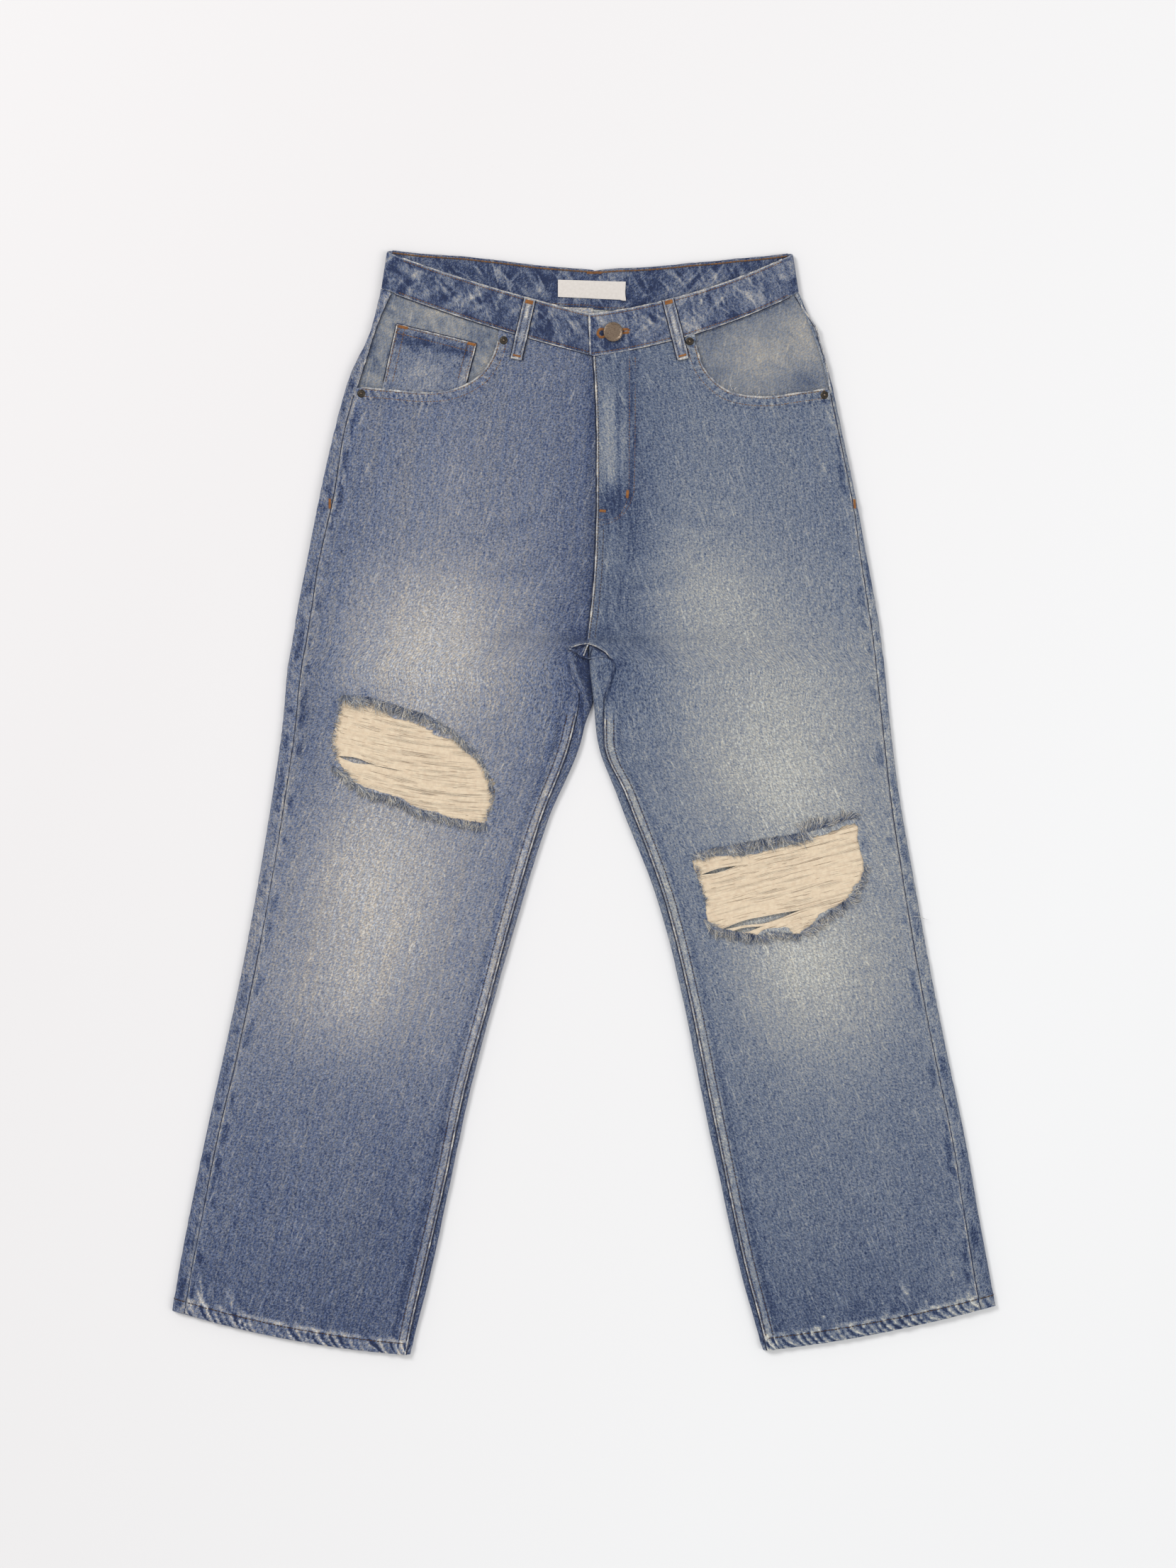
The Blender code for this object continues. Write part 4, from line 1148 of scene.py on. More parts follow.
@dataclass(frozen=True)
class Rumple:
    """The soft unevenness of worn cloth that lies flat."""

    seed: int
    height: float = 0.55

    def at(self, x: Array, y: Array) -> Array:
        """Three sizes of noise, longer along the leg than across it.

        Args:
            x: the points' first coordinates.
            y: the points' second coordinates.

        Returns:
            The look at every point.
        """
        wide = Noise(self.seed).plane(x / 55.0 + 9.3, y / 95.0 + 7.7)
        middle = Noise(self.seed + 1).plane(x / 21.0 + 3.1, y / 38.0 + 2.2)
        small = Noise(self.seed + 2).plane(x / 8.0 + 1.7, y / 12.0 + 5.9)
        height = self.height * (1.0 * wide + 0.42 * middle + 0.15 * small)
        return look(height, 0.025 * wide + 0.03 * middle + 0.02 * small)


def rounded_rim(away: Array, roll: float) -> Array:
    """How far a rounded edge lies below the face: a quarter circle of the given radius."""
    share = np.clip(1.0 - away / roll, 0.0, 1.0)
    return roll * (1.0 - np.sqrt(1.0 - share * share))


# ------------------------------------------------------------------------------ panels


def spaced(low: float, high: float, spacing: float) -> Array:
    """Even places from one value to another, both included."""
    return np.linspace(low, high, max(2, int(round(abs(high - low) / spacing)) + 1))


def stretches(marks: Sequence[float], spacings: Sequence[float]) -> Array:
    """Even places between marks, each stretch with a spacing of its own.

    Args:
        marks: where the stretches begin and end.
        spacings: the distance between places in each stretch.

    Returns:
        The places, all the marks included.
    """
    parts = [spaced(*ends, gap)[:-1] for *ends, gap in zip(marks, marks[1:], spacings)]
    return np.concatenate((*parts, marks[-1:]))


def round_back(step: Array) -> Array:
    """How far round the back a step lies: 0 at the outseam and 1 at the inner end."""
    return np.interp(step, (0.0, 1.0, 2.0, 3.0), (0.0, 7.0 / 19.0, 11.0 / 19.0, 1.0))


def fading(pattern: Roping | Wisps, run: Array, away: Array, reach: float) -> Array:
    """A pattern beside an edge that weakens with the distance from it.

    Args:
        pattern: the puckers or ridges.
        run: how far along the edge each point is.
        away: how far from the edge it is.
        reach: the distance over which the pattern fades.

    Returns:
        The look at every point.
    """
    return pattern.at(run, away) * np.exp(-away / reach)[..., None]


@dataclass
class FrontPanel:
    """A leg's front, from the band to the hem, with its pocket scoop and its ripped hole."""

    name: str
    shape: LegShape
    scoop: Outline
    rip: Outline
    creases: Sequence[Crease]
    seed: int
    inseam: SewnBand = field(init=False)
    hem: SewnBand = field(init=False)
    opening: SewnBand = field(init=False)
    rumple: Rumple = field(init=False)
    scoop_line: Array = field(init=False)
    rip_line: Array = field(init=False)
    end: float = field(init=False)

    def __post_init__(self) -> None:
        """Set the sewn edges out."""
        s = self.seed
        self.inseam = SewnBand(10.4, 0.75, INSEAM_ROWS, Roping(8.4, 0.5, 0.26, 0.13, s + 10), 0.3)
        self.hem = SewnBand(12.4, 1.0, (HEM_ROW,), Roping(17.0, 0.9, 0.8, 0.24, s + 20), 0.15, 5.0)
        self.opening = SewnBand(10.2, 0.9, (1.8, 9.0), Roping(6.2, 0.45, 0.40, 0.30, s + 30), 0.35)
        self.rumple = Rumple(s + 40)
        self.scoop_line = self.scoop.line(1.2)
        self.rip_line = self.rip.line(1.2)
        self.end = float(self.shape.stations[-1])

    def rows(self) -> Array:
        """Stations of the grid's rows, close together at the pocket and the hem."""
        fork, thigh = (float(self.shape.station(row)) for row in CROTCH_ROWS)
        marks = (SEAM_GAP, POCKET_REACH, fork, thigh, self.end - HEM_REACH, self.end)
        return stretches(marks, (1.8, 3.4, 1.3, 3.4, 1.3))

    def runs(self, width: Array) -> Array:
        """Distances from the outseam of the grid's columns, close together at both seams.

        Args:
            width: the panel's width at each row.

        Returns:
            One row of distances a width.
        """
        outer_reach, inner_reach = 25.0, 40.0
        outer = spaced(SEAM_GAP / 2.0, outer_reach, 1.8)[:-1]
        inner = stretches((inner_reach, 14.0, SEAM_GAP / 2.0), (2.0, 0.8))
        shares = spaced(0.0, 1.0, 1.0 / 58.0)[:-1]
        middle = outer_reach + (width[:, None] - (outer_reach + inner_reach)) * shares
        return np.concatenate((np.broadcast_to(outer, (len(width), len(outer))), middle,
                               width[:, None] - inner), axis=1)

    def look_at(self, plan: Array, station: Array, run: Array, width: Array) -> Array:
        """Everything that shapes the panel and sets how pale it is, painted shade and highlights
        among it.

        Args:
            plan: the points in plan.
            station: their stations.
            run: their distances from the outseam.
            width: the panel's width at their stations.

        Returns:
            The look at every point.
        """
        x, y = plan[..., 0], plan[..., 1]
        seam_run = width - run
        fly = smooth_step((y - 146.0) / 12.0)
        felled = 1.0 - smooth_step((y - 70.0) / 34.0)
        total = look(0.0, self.shape.paleness(x, y))
        settle = 0.35 + 0.65 * smooth_step((station - 120.0) / 90.0)
        total = total + self.rumple.at(x, y) * settle[..., None]
        for crease in self.creases:
            total = total + crease.at(x, y)
        total = total + self.inseam.at(station, seam_run) * felled[..., None]
        total[..., 1] += self.felled_pale(station, seam_run) * felled
        if self.shape.side > 0:
            total = total + self.fly_look(x, y, station, seam_run) * fly[..., None]
        total = total + fading(Roping(14.5, 0.8, 0.5, 0.10, self.seed + 50), station, run, 7.0)
        total[..., 1] += side_patches(station, run, self.seed + 51)
        total = total + self.hem_look(station, run, width)
        total = total + self.waist_look(station, run)
        distance, _, along = nearest_on(self.scoop_line, x, y, EDGE_REACH)
        sewn = plateau(distance, -5.0, 24.0, 8.0)
        total = total + self.opening.at(along, distance) * sewn[..., None]
        distance, _, along = nearest_on(self.rip_line, x, y, EDGE_REACH)
        torn = 0.7 + 0.5 * Noise(self.seed + 60).line(along / 6.0)
        middle = self.rip_line.mean(axis=0)
        above = np.abs(y - middle[1]) - 0.30 * np.abs(x - middle[0])
        frayed = 0.1 + 0.9 * smooth_step(above / 9.0)
        total = total + look(0.7, 0.15) * (np.exp(-distance / 3.0) * torn)[..., None]
        total[..., 1] -= 0.20 * plateau(distance, 0.5, 9.0, 3.5) * torn * frayed
        return total + crotch_folds(x, y, self.shape.side)

    def felled_pale(self, station: Array, seam_run: Array) -> Array:
        """The felled inseam's paleness: white beside the edge, dark in its rows of stitches, pale
        between them and dark again beyond the seam."""
        blotch = 0.75 + 0.45 * Noise(self.seed + 11).plane(station / 7.0, seam_run / 3.0)
        pale = 0.40 * hump(seam_run, 1.0, 1.0) - 0.42 * hump(seam_run, INSEAM_ROWS[0], 0.8)
        pale = pale + 0.44 * plateau(seam_run, 3.2, 9.0, 1.0) * blotch
        pale = pale - 0.42 * hump(seam_run, INSEAM_ROWS[1], 0.8)
        pale = pale + 0.28 * hump(seam_run, 11.4, 1.2) * blotch
        return pale - 0.18 * hump(seam_run, 15.5, 2.6)

    def hem_look(self, station: Array, run: Array, width: Array) -> Array:
        """The turned-up hem: its band, a worn line over the stitches and short thin creases.

        Args:
            station: the points' stations.
            run: their distances from the outseam.
            width: the front's width at each.

        Returns:
            The look at every point.
        """
        up = self.end - station
        total = self.hem.at(run, up)
        low = 1.0 - smooth_step((up - 12.0) / 2.5)
        total = total + self.ropes(run, up) * low[..., None]
        line = 0.75 + 0.7 * Noise(self.seed + 21).plane(run / 9.0, up / 3.0)
        worn = hump(up, 14.0, 2.0) * np.clip(line, 0.0, 2.0)
        total = total + look(0.25, 0.66) * worn[..., None]
        rise = np.clip(0.5 + Noise(self.seed + 22).line(run / 7.0), 0.0, 1.0) * 30.0
        fine = Wisps(6.5, -0.5 * self.shape.side, 0.8, 0.35, 0.78, self.seed + 25).at(run, up)
        fine[..., 1] = np.clip(fine[..., 1], -0.12, None) + 0.05
        total = total + fine * plateau(up, 13.0, 15.0 + rise, 6.0)[..., None]
        ends = np.exp(-run / 9.0) + np.exp(-(width - run) / 12.0)
        total[..., 1] += 0.30 * ends * np.exp(-up / 14.0) + 0.08 * np.exp(-up / 9.0)
        total[..., 1] -= 0.34 * hump(up, HEM_ROW, 0.9)
        return total

    def ropes(self, run: Array, up: Array) -> Array:
        """The hem's slanted ropes: a thin bright ridge, a dark hollow after it and paler cloth up
        to the next ridge, each of its own strength.

        Args:
            run: the points' distances from the outseam.
            up: their distances from the leg's foot.

        Returns:
            The look at every point.
        """
        curve = 0.05 * (up - 5.5) ** 2
        lean = -self.shape.side * (0.8 * up - curve)
        place = run + lean + 4.6 * Noise(self.seed + 26).line(run / 13.0)
        cell = np.floor(place / ROPE_PITCH)
        share = place / ROPE_PITCH - cell
        strength = np.clip(0.75 + 0.6 * Noise(self.seed + 27).line(cell * 1.7), 0.15, 1.3)
        mottle = Noise(self.seed + 28).plane(run / 3.0, up / 4.0)
        ridge = hump(np.minimum(share, 1.0 - share) * ROPE_PITCH, 0.0, 1.15) * strength
        hollow = plateau(share, 0.10, 0.52, 0.10) * np.clip(strength, 0.3, 1.0)
        return look(0.60 * ridge - 0.30 * hollow,
                    0.85 * ridge - 0.46 * hollow + 0.18 * (1.0 - hollow) + 0.14 * mottle)

    def waist_look(self, station: Array, run: Array) -> Array:
        """The puckers that hang from the waist's seam."""
        puckers = Roping(9.5, 0.15, 0.22, 0.08, self.seed + 70)
        wisps = Wisps(5.0, -0.5, 0.9, 0.2, 0.26, self.seed + 72)
        return fading(puckers, run, station, 9.0) + fading(wisps, run, station, 6.0)

    def fly_look(self, x: Array, y: Array, station: Array, seam_run: Array) -> Array:
        """The fly's folded edge, its placket and the rows of stitches round it.

        Args:
            x: the points' first coordinates.
            y: the points' second coordinates.
            station: their stations.
            seam_run: their distances from the fly's edge.

        Returns:
            The look at every point.
        """
        total = look(0.5, 0.0) * (1.0 - smooth_step((seam_run - 38.0) / 3.0))[..., None]
        total = total + look(-0.4, 0.0) * hump(seam_run, FLY_EDGE_ROWS[0], 0.8)[..., None]
        edge = Roping(11.0, 0.4, 0.28, 0.10, self.seed + 80)
        total = total + fading(edge, station, seam_run, 8.0)
        total[..., 1] += 0.3 * np.exp(-seam_run / 1.3)
        streak = Noise(self.seed + 82).plane(seam_run / 2.4, station / 30.0)
        total[..., 1] += 0.17 * streak * plateau(seam_run, 10.0, 42.0, 4.0)
        for line in FLY_ROWS:
            distance, _, along = nearest_on(line.line(1.5), x, y, 14.0)
            total = total + look(-0.42, 0.0) * hump(distance, 0.0, 0.9)[..., None]
            puckers = Roping(7.5, 0.2, 0.22, 0.10, self.seed + 90)
            total = total + fading(puckers, along, distance, 4.0)
        return total

    def surface(self, station: Array, run: Array, lift: float = 0.0) -> Array:
        """Points of the finished face.

        Args:
            station: stations.
            run: distances from the outseam.
            lift: how far over the face the points lie.

        Returns:
            The points.
        """
        tube = self.shape.tube(station)
        point = tube.front(run)
        found = self.look_at(point[..., :2], station, run, tube.front_width())
        point[..., 2] += found[..., 0] + lift
        return point

    def over(self, line: Array, lift: float = 0.0) -> Array:
        """A plan line laid on the finished face."""
        station, run, _ = self.shape.locate(line[:, 0], line[:, 1])
        point = self.surface(station, run, lift)
        return np.concatenate((line, point[:, 2:]), axis=1)

    def sheet(self) -> Sheet:
        """The panel's grid, with the pocket and the hole left out and their edges drawn true."""
        stations = self.rows()
        run = self.runs(self.shape.tube(stations).front_width())
        station = np.broadcast_to(stations[:, None], run.shape)
        tube = self.shape.tube(station)
        width = tube.front_width()
        point = tube.front(run)
        keep = np.ones(run.shape, bool)
        for line in self.cut_lines():
            keep &= ~inside(line, point[..., 0], point[..., 1])
        kept = keep[:-1, :-1] & keep[1:, :-1] & keep[1:, 1:] & keep[:-1, 1:]
        point = self.drawn_to(point, keep, kept, (self.scoop_line, self.rip_line))
        found = self.look_at(point[..., :2], station, run, width)
        drop = self.rims(point, station, width - run)
        point[..., 2] += found[..., 0] - drop
        grain = self.shape.grain(station, run, width)
        return Sheet(point, upright(run.shape), found[..., 1], grain, CLOTH - 0.45 * drop, kept,
                     0.55)

    def rims(self, point: Array, station: Array, seam_run: Array) -> Array:
        """Thin, rounded edges at the fly or inseam, the pocket's opening and the hem.

        Args:
            point: the points.
            station: their stations.
            seam_run: their distances from the fly or inseam.

        Returns:
            How far the face drops at every point.
        """
        opening, _, _ = nearest_on(self.scoop_line, point[..., 0], point[..., 1], RIM_REACH)
        torn, _, _ = nearest_on(self.rip_line, point[..., 0], point[..., 1], RIM_REACH)
        drop = rounded_rim(seam_run, 1.2) * 0.7 + rounded_rim(opening, 1.2) * 0.7
        drop = drop + rounded_rim(self.end - station, 1.6) * 0.6 + 0.5 * np.exp(-torn)
        return np.clip(drop, 0.0, 0.9)

    def cut_lines(self) -> tuple[Array, Array]:
        """The pocket's opening closed round the outer waist corner, and the hole's edge."""
        line = self.scoop_line
        outside, above = line[-1, 0] + self.shape.side * 60.0, line[0, 1] + 120.0
        corners = np.array(((outside, line[-1, 1]), (outside, above), (line[0, 0], above), line[0]))
        return np.concatenate((line, corners)), self.rip_line

    @staticmethod
    def drawn_to(point: Array, keep: NDArray[np.bool_], kept: NDArray[np.bool_],
                 lines: Sequence[Array]) -> Array:
        """Move the kept squares' corners that border a cut onto the cut's line.

        Args:
            point: the grid's points.
            keep: which points are outside the cuts.
            kept: which squares are cloth.
            lines: the cuts' lines.

        Returns:
            The points, moved in plan where they border a cut.
        """
        used = np.zeros((*keep.shape, 2), int)
        corners = ((slice(None, -1), slice(None, -1)), (slice(1, None), slice(None, -1)),
                   (slice(1, None), slice(1, None)), (slice(None, -1), slice(1, None)))
        for rows, columns in corners:
            used[rows, columns, 0] += kept
            used[rows, columns, 1] += 1
        border = (used[..., 0] > 0) & (used[..., 0] < used[..., 1])
        moved = point.copy()
        for line in lines:
            distance, foot, _ = nearest_on(line, point[..., 0], point[..., 1], DRAWN_REACH + 0.6)
            close = border & (distance < DRAWN_REACH)
            moved[close, 0] = foot[close, 0]
            moved[close, 1] = foot[close, 1]
        way = np.sign(np.median(least_corner(point)))
        for _ in range(UNFOLD_ROUNDS):
            folded = kept & (least_corner(moved, way) < LEAST_CORNER)
            loose = np.zeros(keep.shape, bool)
            for rows, columns in corners:
                loose[rows, columns] |= folded
            moved[loose] = (moved[loose] + point[loose]) / 2.0
        return moved


def least_corner(point: Array, way: float = 1.0) -> Array:
    """The least of the areas at each square's four corners, so that a folded square's is negative.

    Args:
        point: a grid's points, read in plan.
        way: 1 or -1, for the way that the grid's squares run.

    Returns:
        The area for every square.
    """
    ring = (point[:-1, :-1, :2], point[1:, :-1, :2], point[1:, 1:, :2], point[:-1, 1:, :2])
    areas = []
    for number in range(4):
        after = ring[(number + 1) % 4] - ring[number]
        before = ring[number - 1] - ring[number]
        areas.append(way * (after[..., 0] * before[..., 1] - after[..., 1] * before[..., 0]))
    return np.min(areas, axis=0)


FLY_ROWS = (
    Outline(((45.2, 443.0), (45.2, 400.0), (45.0, 350.0), (44.5, 310.0), (41.5, 296.0),
             (36.8, 286.0), (31.2, 281.7), (22.8, 280.0), (13.8, 280.0))),
    Outline(((50.8, 441.0), (50.8, 400.0), (50.5, 350.0), (49.5, 308.0), (47.3, 301.5),
             (45.2, 295.0), (39.6, 286.0), (32.6, 280.3), (25.6, 276.8), (13.8, 274.0))),
)
CROTCH_FOLD = ((-15.0, 153.0), (-8.8, 150.9), (-2.4, 145.3), (4.5, 143.2), (12.2, 144.5),
               (20.6, 145.2), (28.0, 143.0))
CAVITY_RIM = ((0.3, 88.0), (0.3, 96.0), (-2.4, 111.0), (-8.8, 123.5), (-14.3, 137.5),
              (-15.7, 146.0))
WING_RIM = ((18.0, 60.0), (18.5, 88.0), (22.7, 108.8), (30.4, 132.5), (27.6, 143.8), (26.0, 150.0))
CROTCH_ARC = ((-12.2, 154.3), (-3.8, 157.1), (3.9, 157.9), (9.5, 156.4), (15.0, 153.7),
              (22.0, 149.5), (26.3, 143.8))


def crotch_folds(x: Array, y: Array, side: int) -> Array:
    """The folds under the fork, where the seat's cloth bunches between the legs.

    A saddle ends at a fold; under it the right leg's cloth falls from a rim into a hollow, and the
    left leg's stands up as a wing. Painted shade darkens the groove under the arc, the saddle's
    band and the hollow, and painted highlights lighten the rim's lit strip and the wing's near
    edge.

    Args:
        x: the points' first coordinates.
        y: the points' second coordinates.
        side: which leg's cloth it is.

    Returns:
        The look at every point, its height straight up.
    """
    total = look(np.zeros_like(x))
    near = (np.abs(x - 4.0) < 60.0) & (y > 60.0) & (y < 185.0)
    if not near.any():
        return total
    x, y = x[near], y[near]
    below, under = between(CROTCH_FOLD, x) - y, between(CROTCH_ARC, x) - y
    span = plateau(x, -15.5, 28.0, 3.0)
    mottle = Noise(31).plane(x / 3.6, y / 3.0)
    # The saddle's band between the arc and the fold: painted shade with mottled paler patches.
    band = smooth_step((under + 0.2) / 1.2) * (1.0 - smooth_step((below + 0.4) / 1.2)) * span
    found = look(-0.3 * band, band * (-0.16 + 0.20 * mottle))
    # The lip on the arc and the fold's lower edge are rubbed paler; the groove under the arc is
    # darkened as painted shadow.
    lip = hump(under, -0.9, 1.2) * span
    groove = hump(under, 1.1, 0.9) * span
    edge = hump(below, -0.8, 0.9) * span
    found = found + look(0.8 * lip - 0.9 * groove + 0.5 * edge,
                         0.22 * lip - 0.34 * groove + 0.30 * edge * (0.7 + 0.6 * mottle))
    aslant = x + 0.62 * (158.0 - y)
    seam, rows = hump(aslant, 3.6, 0.9) * band, hump(aslant, 7.6, 0.8) * band
    found = found + look(0.3 * seam, 0.6 * seam - 0.25 * rows)
    sunk = smooth_step((182.0 - y) / 14.0) * smooth_step((y - 157.0) / 6.0)
    found[..., 1] -= 0.12 * sunk * hump(x, 6.0, 22.0)
    rim, wing_edge = between(CAVITY_RIM, y, 1), between(WING_RIM, y, 1)
    low = smooth_step((y - 66.0) / 22.0)
    if side < 0:
        # The right leg: painted shade in the hollow, its open side and the crease by the rim, and a
        # painted highlight on the rim's lit strip.
        open_side = smooth_step((below - 0.2) / 2.2) * low
        hollow = open_side * smooth_step((x - rim - 3.2) / 6.5)
        fold = smooth_step((below + 3.0) / 4.0)
        lit = hump(x - rim, 2.6, 2.3) * fold * low
        crease = hump(x - rim, -2.2, 1.6) * fold * low
        found = found + look(-3.4 * hollow + 0.9 * lit - 0.3 * crease,
                             -0.13 * hollow + 0.20 * lit - 0.16 * crease)
        found[..., 1] -= 0.24 * open_side * smooth_step((x - 1.0) / 5.0)
    else:
        # The left leg: a painted highlight along the wing's near edge, and painted shadow past its
        # far edge.
        wing = smooth_step((below - 0.6) / 3.0) * low
        ridge = hump(x, 10.0 + 0.04 * (140.0 - y), 2.6)
        upper = smooth_step((y - 84.0) / 20.0)
        shade = hump(x - wing_edge, 1.2, 1.2) * upper
        soft = hump(x - wing_edge, 5.0, 5.0) * upper
        held = smooth_step((wing_edge - x + 1.0) / 2.0)
        found = found + look(1.9 * wing * held, wing * held * (0.02 + 0.10 * ridge + 0.06 * mottle))
        found[..., 1] -= (0.32 * shade + 0.10 * soft) * smooth_step((below + 2.0) / 4.0)
    ends = smooth_step((y - 62.0) / 12.0) * smooth_step((184.0 - y) / 8.0)
    total[near] = found * ends[..., None]
    return total


def side_patches(station: Array, run: Array, seed: int) -> Array:
    """How pale the cloth beside an outseam is: white at the seam, then dark patches and pale gaps.

    Args:
        station: the points' stations.
        run: their distances from the outseam.
        seed: the noise's seed.

    Returns:
        What it adds to the paleness.
    """
    patch = Noise(seed).plane(station / 11.0, run / 9.0) + 0.35 * Noise(seed + 1).plane(
        station / 4.0, run / 3.0)
    dark = smooth_step((patch - 0.02) / 0.4)
    reach = plateau(run, 2.6, 9.0, 3.2)
    worn = 0.8 + 0.5 * Noise(seed + 2).line(station / 9.0)
    return 0.34 * hump(run, 1.1, 1.3) * worn + (0.07 - 0.34 * dark) * reach


@dataclass
class BackPanel:
    """A leg's back and side: the strip beside the outseam, the underside and the inner strip."""

    name: str
    shape: LegShape
    seed: int
    low_row: tuple[float, float] = (0.75, 1.2)
    to_hem: bool = True

    def steps(self) -> Array:
        """Steps of the grid's columns round the leg."""
        return stretches((0.0, 1.0, 2.0, 3.0), (1.0 / 15.0, 1.0 / 26.0, 1.0 / 24.0))

    def yoke_station(self, step: Array) -> Array:
        """Where the yoke's seam lies at a step."""
        first, last = self.low_row
        return self.shape.station(first + (last - first) * round_back(step))

    def grid(self) -> tuple[Array, Array]:
        """The grid's stations and steps."""
        step = self.steps()[None, :]
        seam = self.yoke_station(step)
        end = float(self.shape.stations[-1])
        start, *crotch = (float(self.shape.station(row)) for row in (1.0, *BACK_CROTCH_ROWS))
        places = stretches((start, *crotch, end), (4.6, 1.7, 4.4))
        rows = ((places - start) / (end - start))[:, None]
        gap = SEAM_GAP / 2.0
        stations = (seam + gap) + (end - seam - gap) * rows
        return stations, np.broadcast_to(step, stations.shape)

    def look_at(self, point: Array, station: Array, step: Array, run: Array) -> Array:
        """The panel's puckers and fading; the underside only has troughs, which rise off the
        surface that it rests on.

        Args:
            point: the points.
            station: their stations.
            step: their steps round the leg.
            run: their distances from the outseam.

        Returns:
            The look at every point.
        """
        x, y = point[..., 0], point[..., 1]
        total = look(0.0, self.shape.paleness(x, y) - 0.06)
        side = 1.0 - smooth_step((step - 0.55) / 0.4)
        puckers = Roping(15.0, 0.9, 0.28, 0.12, self.seed + 50).at(station, run)
        total = total + puckers * side[..., None]
        total[..., 1] += (side_patches(station, run, self.seed + 51) + 0.04) * side
        under = smooth_step((step - 0.9) / 0.2) * (1.0 - smooth_step((step - 2.05) / 0.2))
        trough = np.clip(Noise(self.seed).plane(x / 34.0, y / 60.0) - 0.1, 0.0, 1.0)
        total = total + look(-0.9 * trough, -0.05 * trough) * under[..., None]
        inner = smooth_step((step - 2.3) / 0.3) * (y < 150.0)
        fine = Noise(self.seed + 3).plane(station / 16.0, run / 6.0)
        total = total + look(0.25 * fine, 0.08 * fine) * inner[..., None]
        up = float(self.shape.stations[-1]) - station
        if self.to_hem:
            hem = Roping(9.0, 0.5, 0.4, 0.34, self.seed + 20).at(run, up)
            raised = look(0.5, 0.16) + hem
            doubled = (1.0 - smooth_step((up - 12.4) / 1.6)) * (1.0 - under)
            total = total + raised * doubled[..., None]
        return total

    def sheet(self) -> Sheet:
        """The panel's grid."""
        station, step = self.grid()
        tube = self.shape.tube(station)
        point, out, run = tube.back(step)
        found = self.look_at(point, station, step, run)
        share = np.clip((point[..., 2] - tube.under) / (tube.top - tube.under), 0.0, 1.0)
        # The crotch's folds, whose paleness holds painted shade and highlights.
        folds = crotch_folds(point[..., 0], point[..., 1], self.shape.side)
        folds = folds * (smooth_step((step - 2.0) / 0.2) * share)[..., None]
        point = point + out * found[..., :1]
        point[..., 2] += folds[..., 0]
        if self.shape.side < 0:
            lip = smooth_step((point[..., 1] - 72.0) / 36.0) * smooth_step((step - 1.9) / 0.3)
            lip = lip * smooth_step((148.0 - point[..., 1]) / 10.0)
            point[..., 0] += 8.0 * lip * (1.0 - share)
        grain = np.stack((run, -station), axis=-1) * MM
        return Sheet(point, out, found[..., 1] + folds[..., 1], grain, np.full(run.shape, CLOTH),
                     None, 0.95)


@dataclass
class Yoke(BackPanel):
    """The yoke between the waistband and the back panel."""

    to_hem: bool = False

    def grid(self) -> tuple[Array, Array]:
        """The grid's stations and steps, from the waist to the yoke's seam."""
        step = self.steps()[None, :]
        seam = self.yoke_station(step) - SEAM_GAP / 2.0
        rows = spaced(0.0, 1.0, 1.0 / 16.0)[:, None]
        return SEAM_GAP + (seam - SEAM_GAP) * rows, np.broadcast_to(step, (len(rows), step.size))


@dataclass
class Facing:
    """A pocket facing: bleached cloth that lies under the front and sinks away from its seams."""

    name: str
    shape: LegShape
    seed: int
    pale: Sequence[FadeAndShade]
    base_pale: float
    uneven: float

    def sheet(self) -> Sheet:
        """The facing's grid, from the band and the outseam to well under the front."""
        stations = spaced(SEAM_GAP, float(self.shape.station(FACING_FOOT)), 2.1)
        share = stretches((0.0, 0.1, 0.62), (0.01, 0.0092))
        run = SEAM_GAP / 2.0 + self.tube(stations).front_width()[:, None] * share
        tube = self.tube(np.broadcast_to(stations[:, None], run.shape))
        point = tube.front(run)
        below = np.abs(self.waist_line(tube, run) - point[..., 1])
        sink = HIP_TOP - HIP_BACK - FACING_TOP
        point[..., 2] -= sink * smooth_step(np.minimum(run, below) / 12.0)
        x, y = point[..., 0], point[..., 1]
        found = look(0.0, self.base_pale) + Rumple(self.seed, 0.22).at(x, y)
        found = found + fading(Wisps(5.5, -0.6, 1.0, 0.15, 0.24, self.seed + 5), run, below, 8.0)
        for patch in self.pale:
            found[..., 1] += patch.strength * np.exp(-patch.square(x, y))
        mottle = Noise(self.seed + 9).plane((x - 0.5 * y) / 9.0, (y + 0.5 * x) / 6.0)
        fine = Noise(self.seed + 10).plane((x - 0.5 * y) / 4.0, (y + 0.5 * x) / 2.6)
        found[..., 1] += self.uneven * (mottle + 0.55 * fine)
        point[..., 2] += found[..., 0]
        return Sheet(point, upright(run.shape), found[..., 1], np.stack((x, y), axis=-1) * MM,
                     np.full(run.shape, CLOTH))

    def tube(self, station: Array) -> Tube:
        """The leg's tube under the front's cloth, with the outseam a little further out."""
        tube = self.shape.tube(station, inset=HIP_BACK)
        tube.outseam = np.maximum(tube.outseam - 3.0, tube.radius)
        tube.lap_drop = np.zeros_like(tube.lap_drop)
        return tube

    def waist_line(self, tube: Tube, run: Array) -> Array:
        """How high in plan the waist lies above each point, at the same share of the width."""
        first = self.shape.tube(np.zeros(run.shape), inset=HIP_BACK)
        return first.front(run * first.front_width() / tube.front_width())[..., 1]


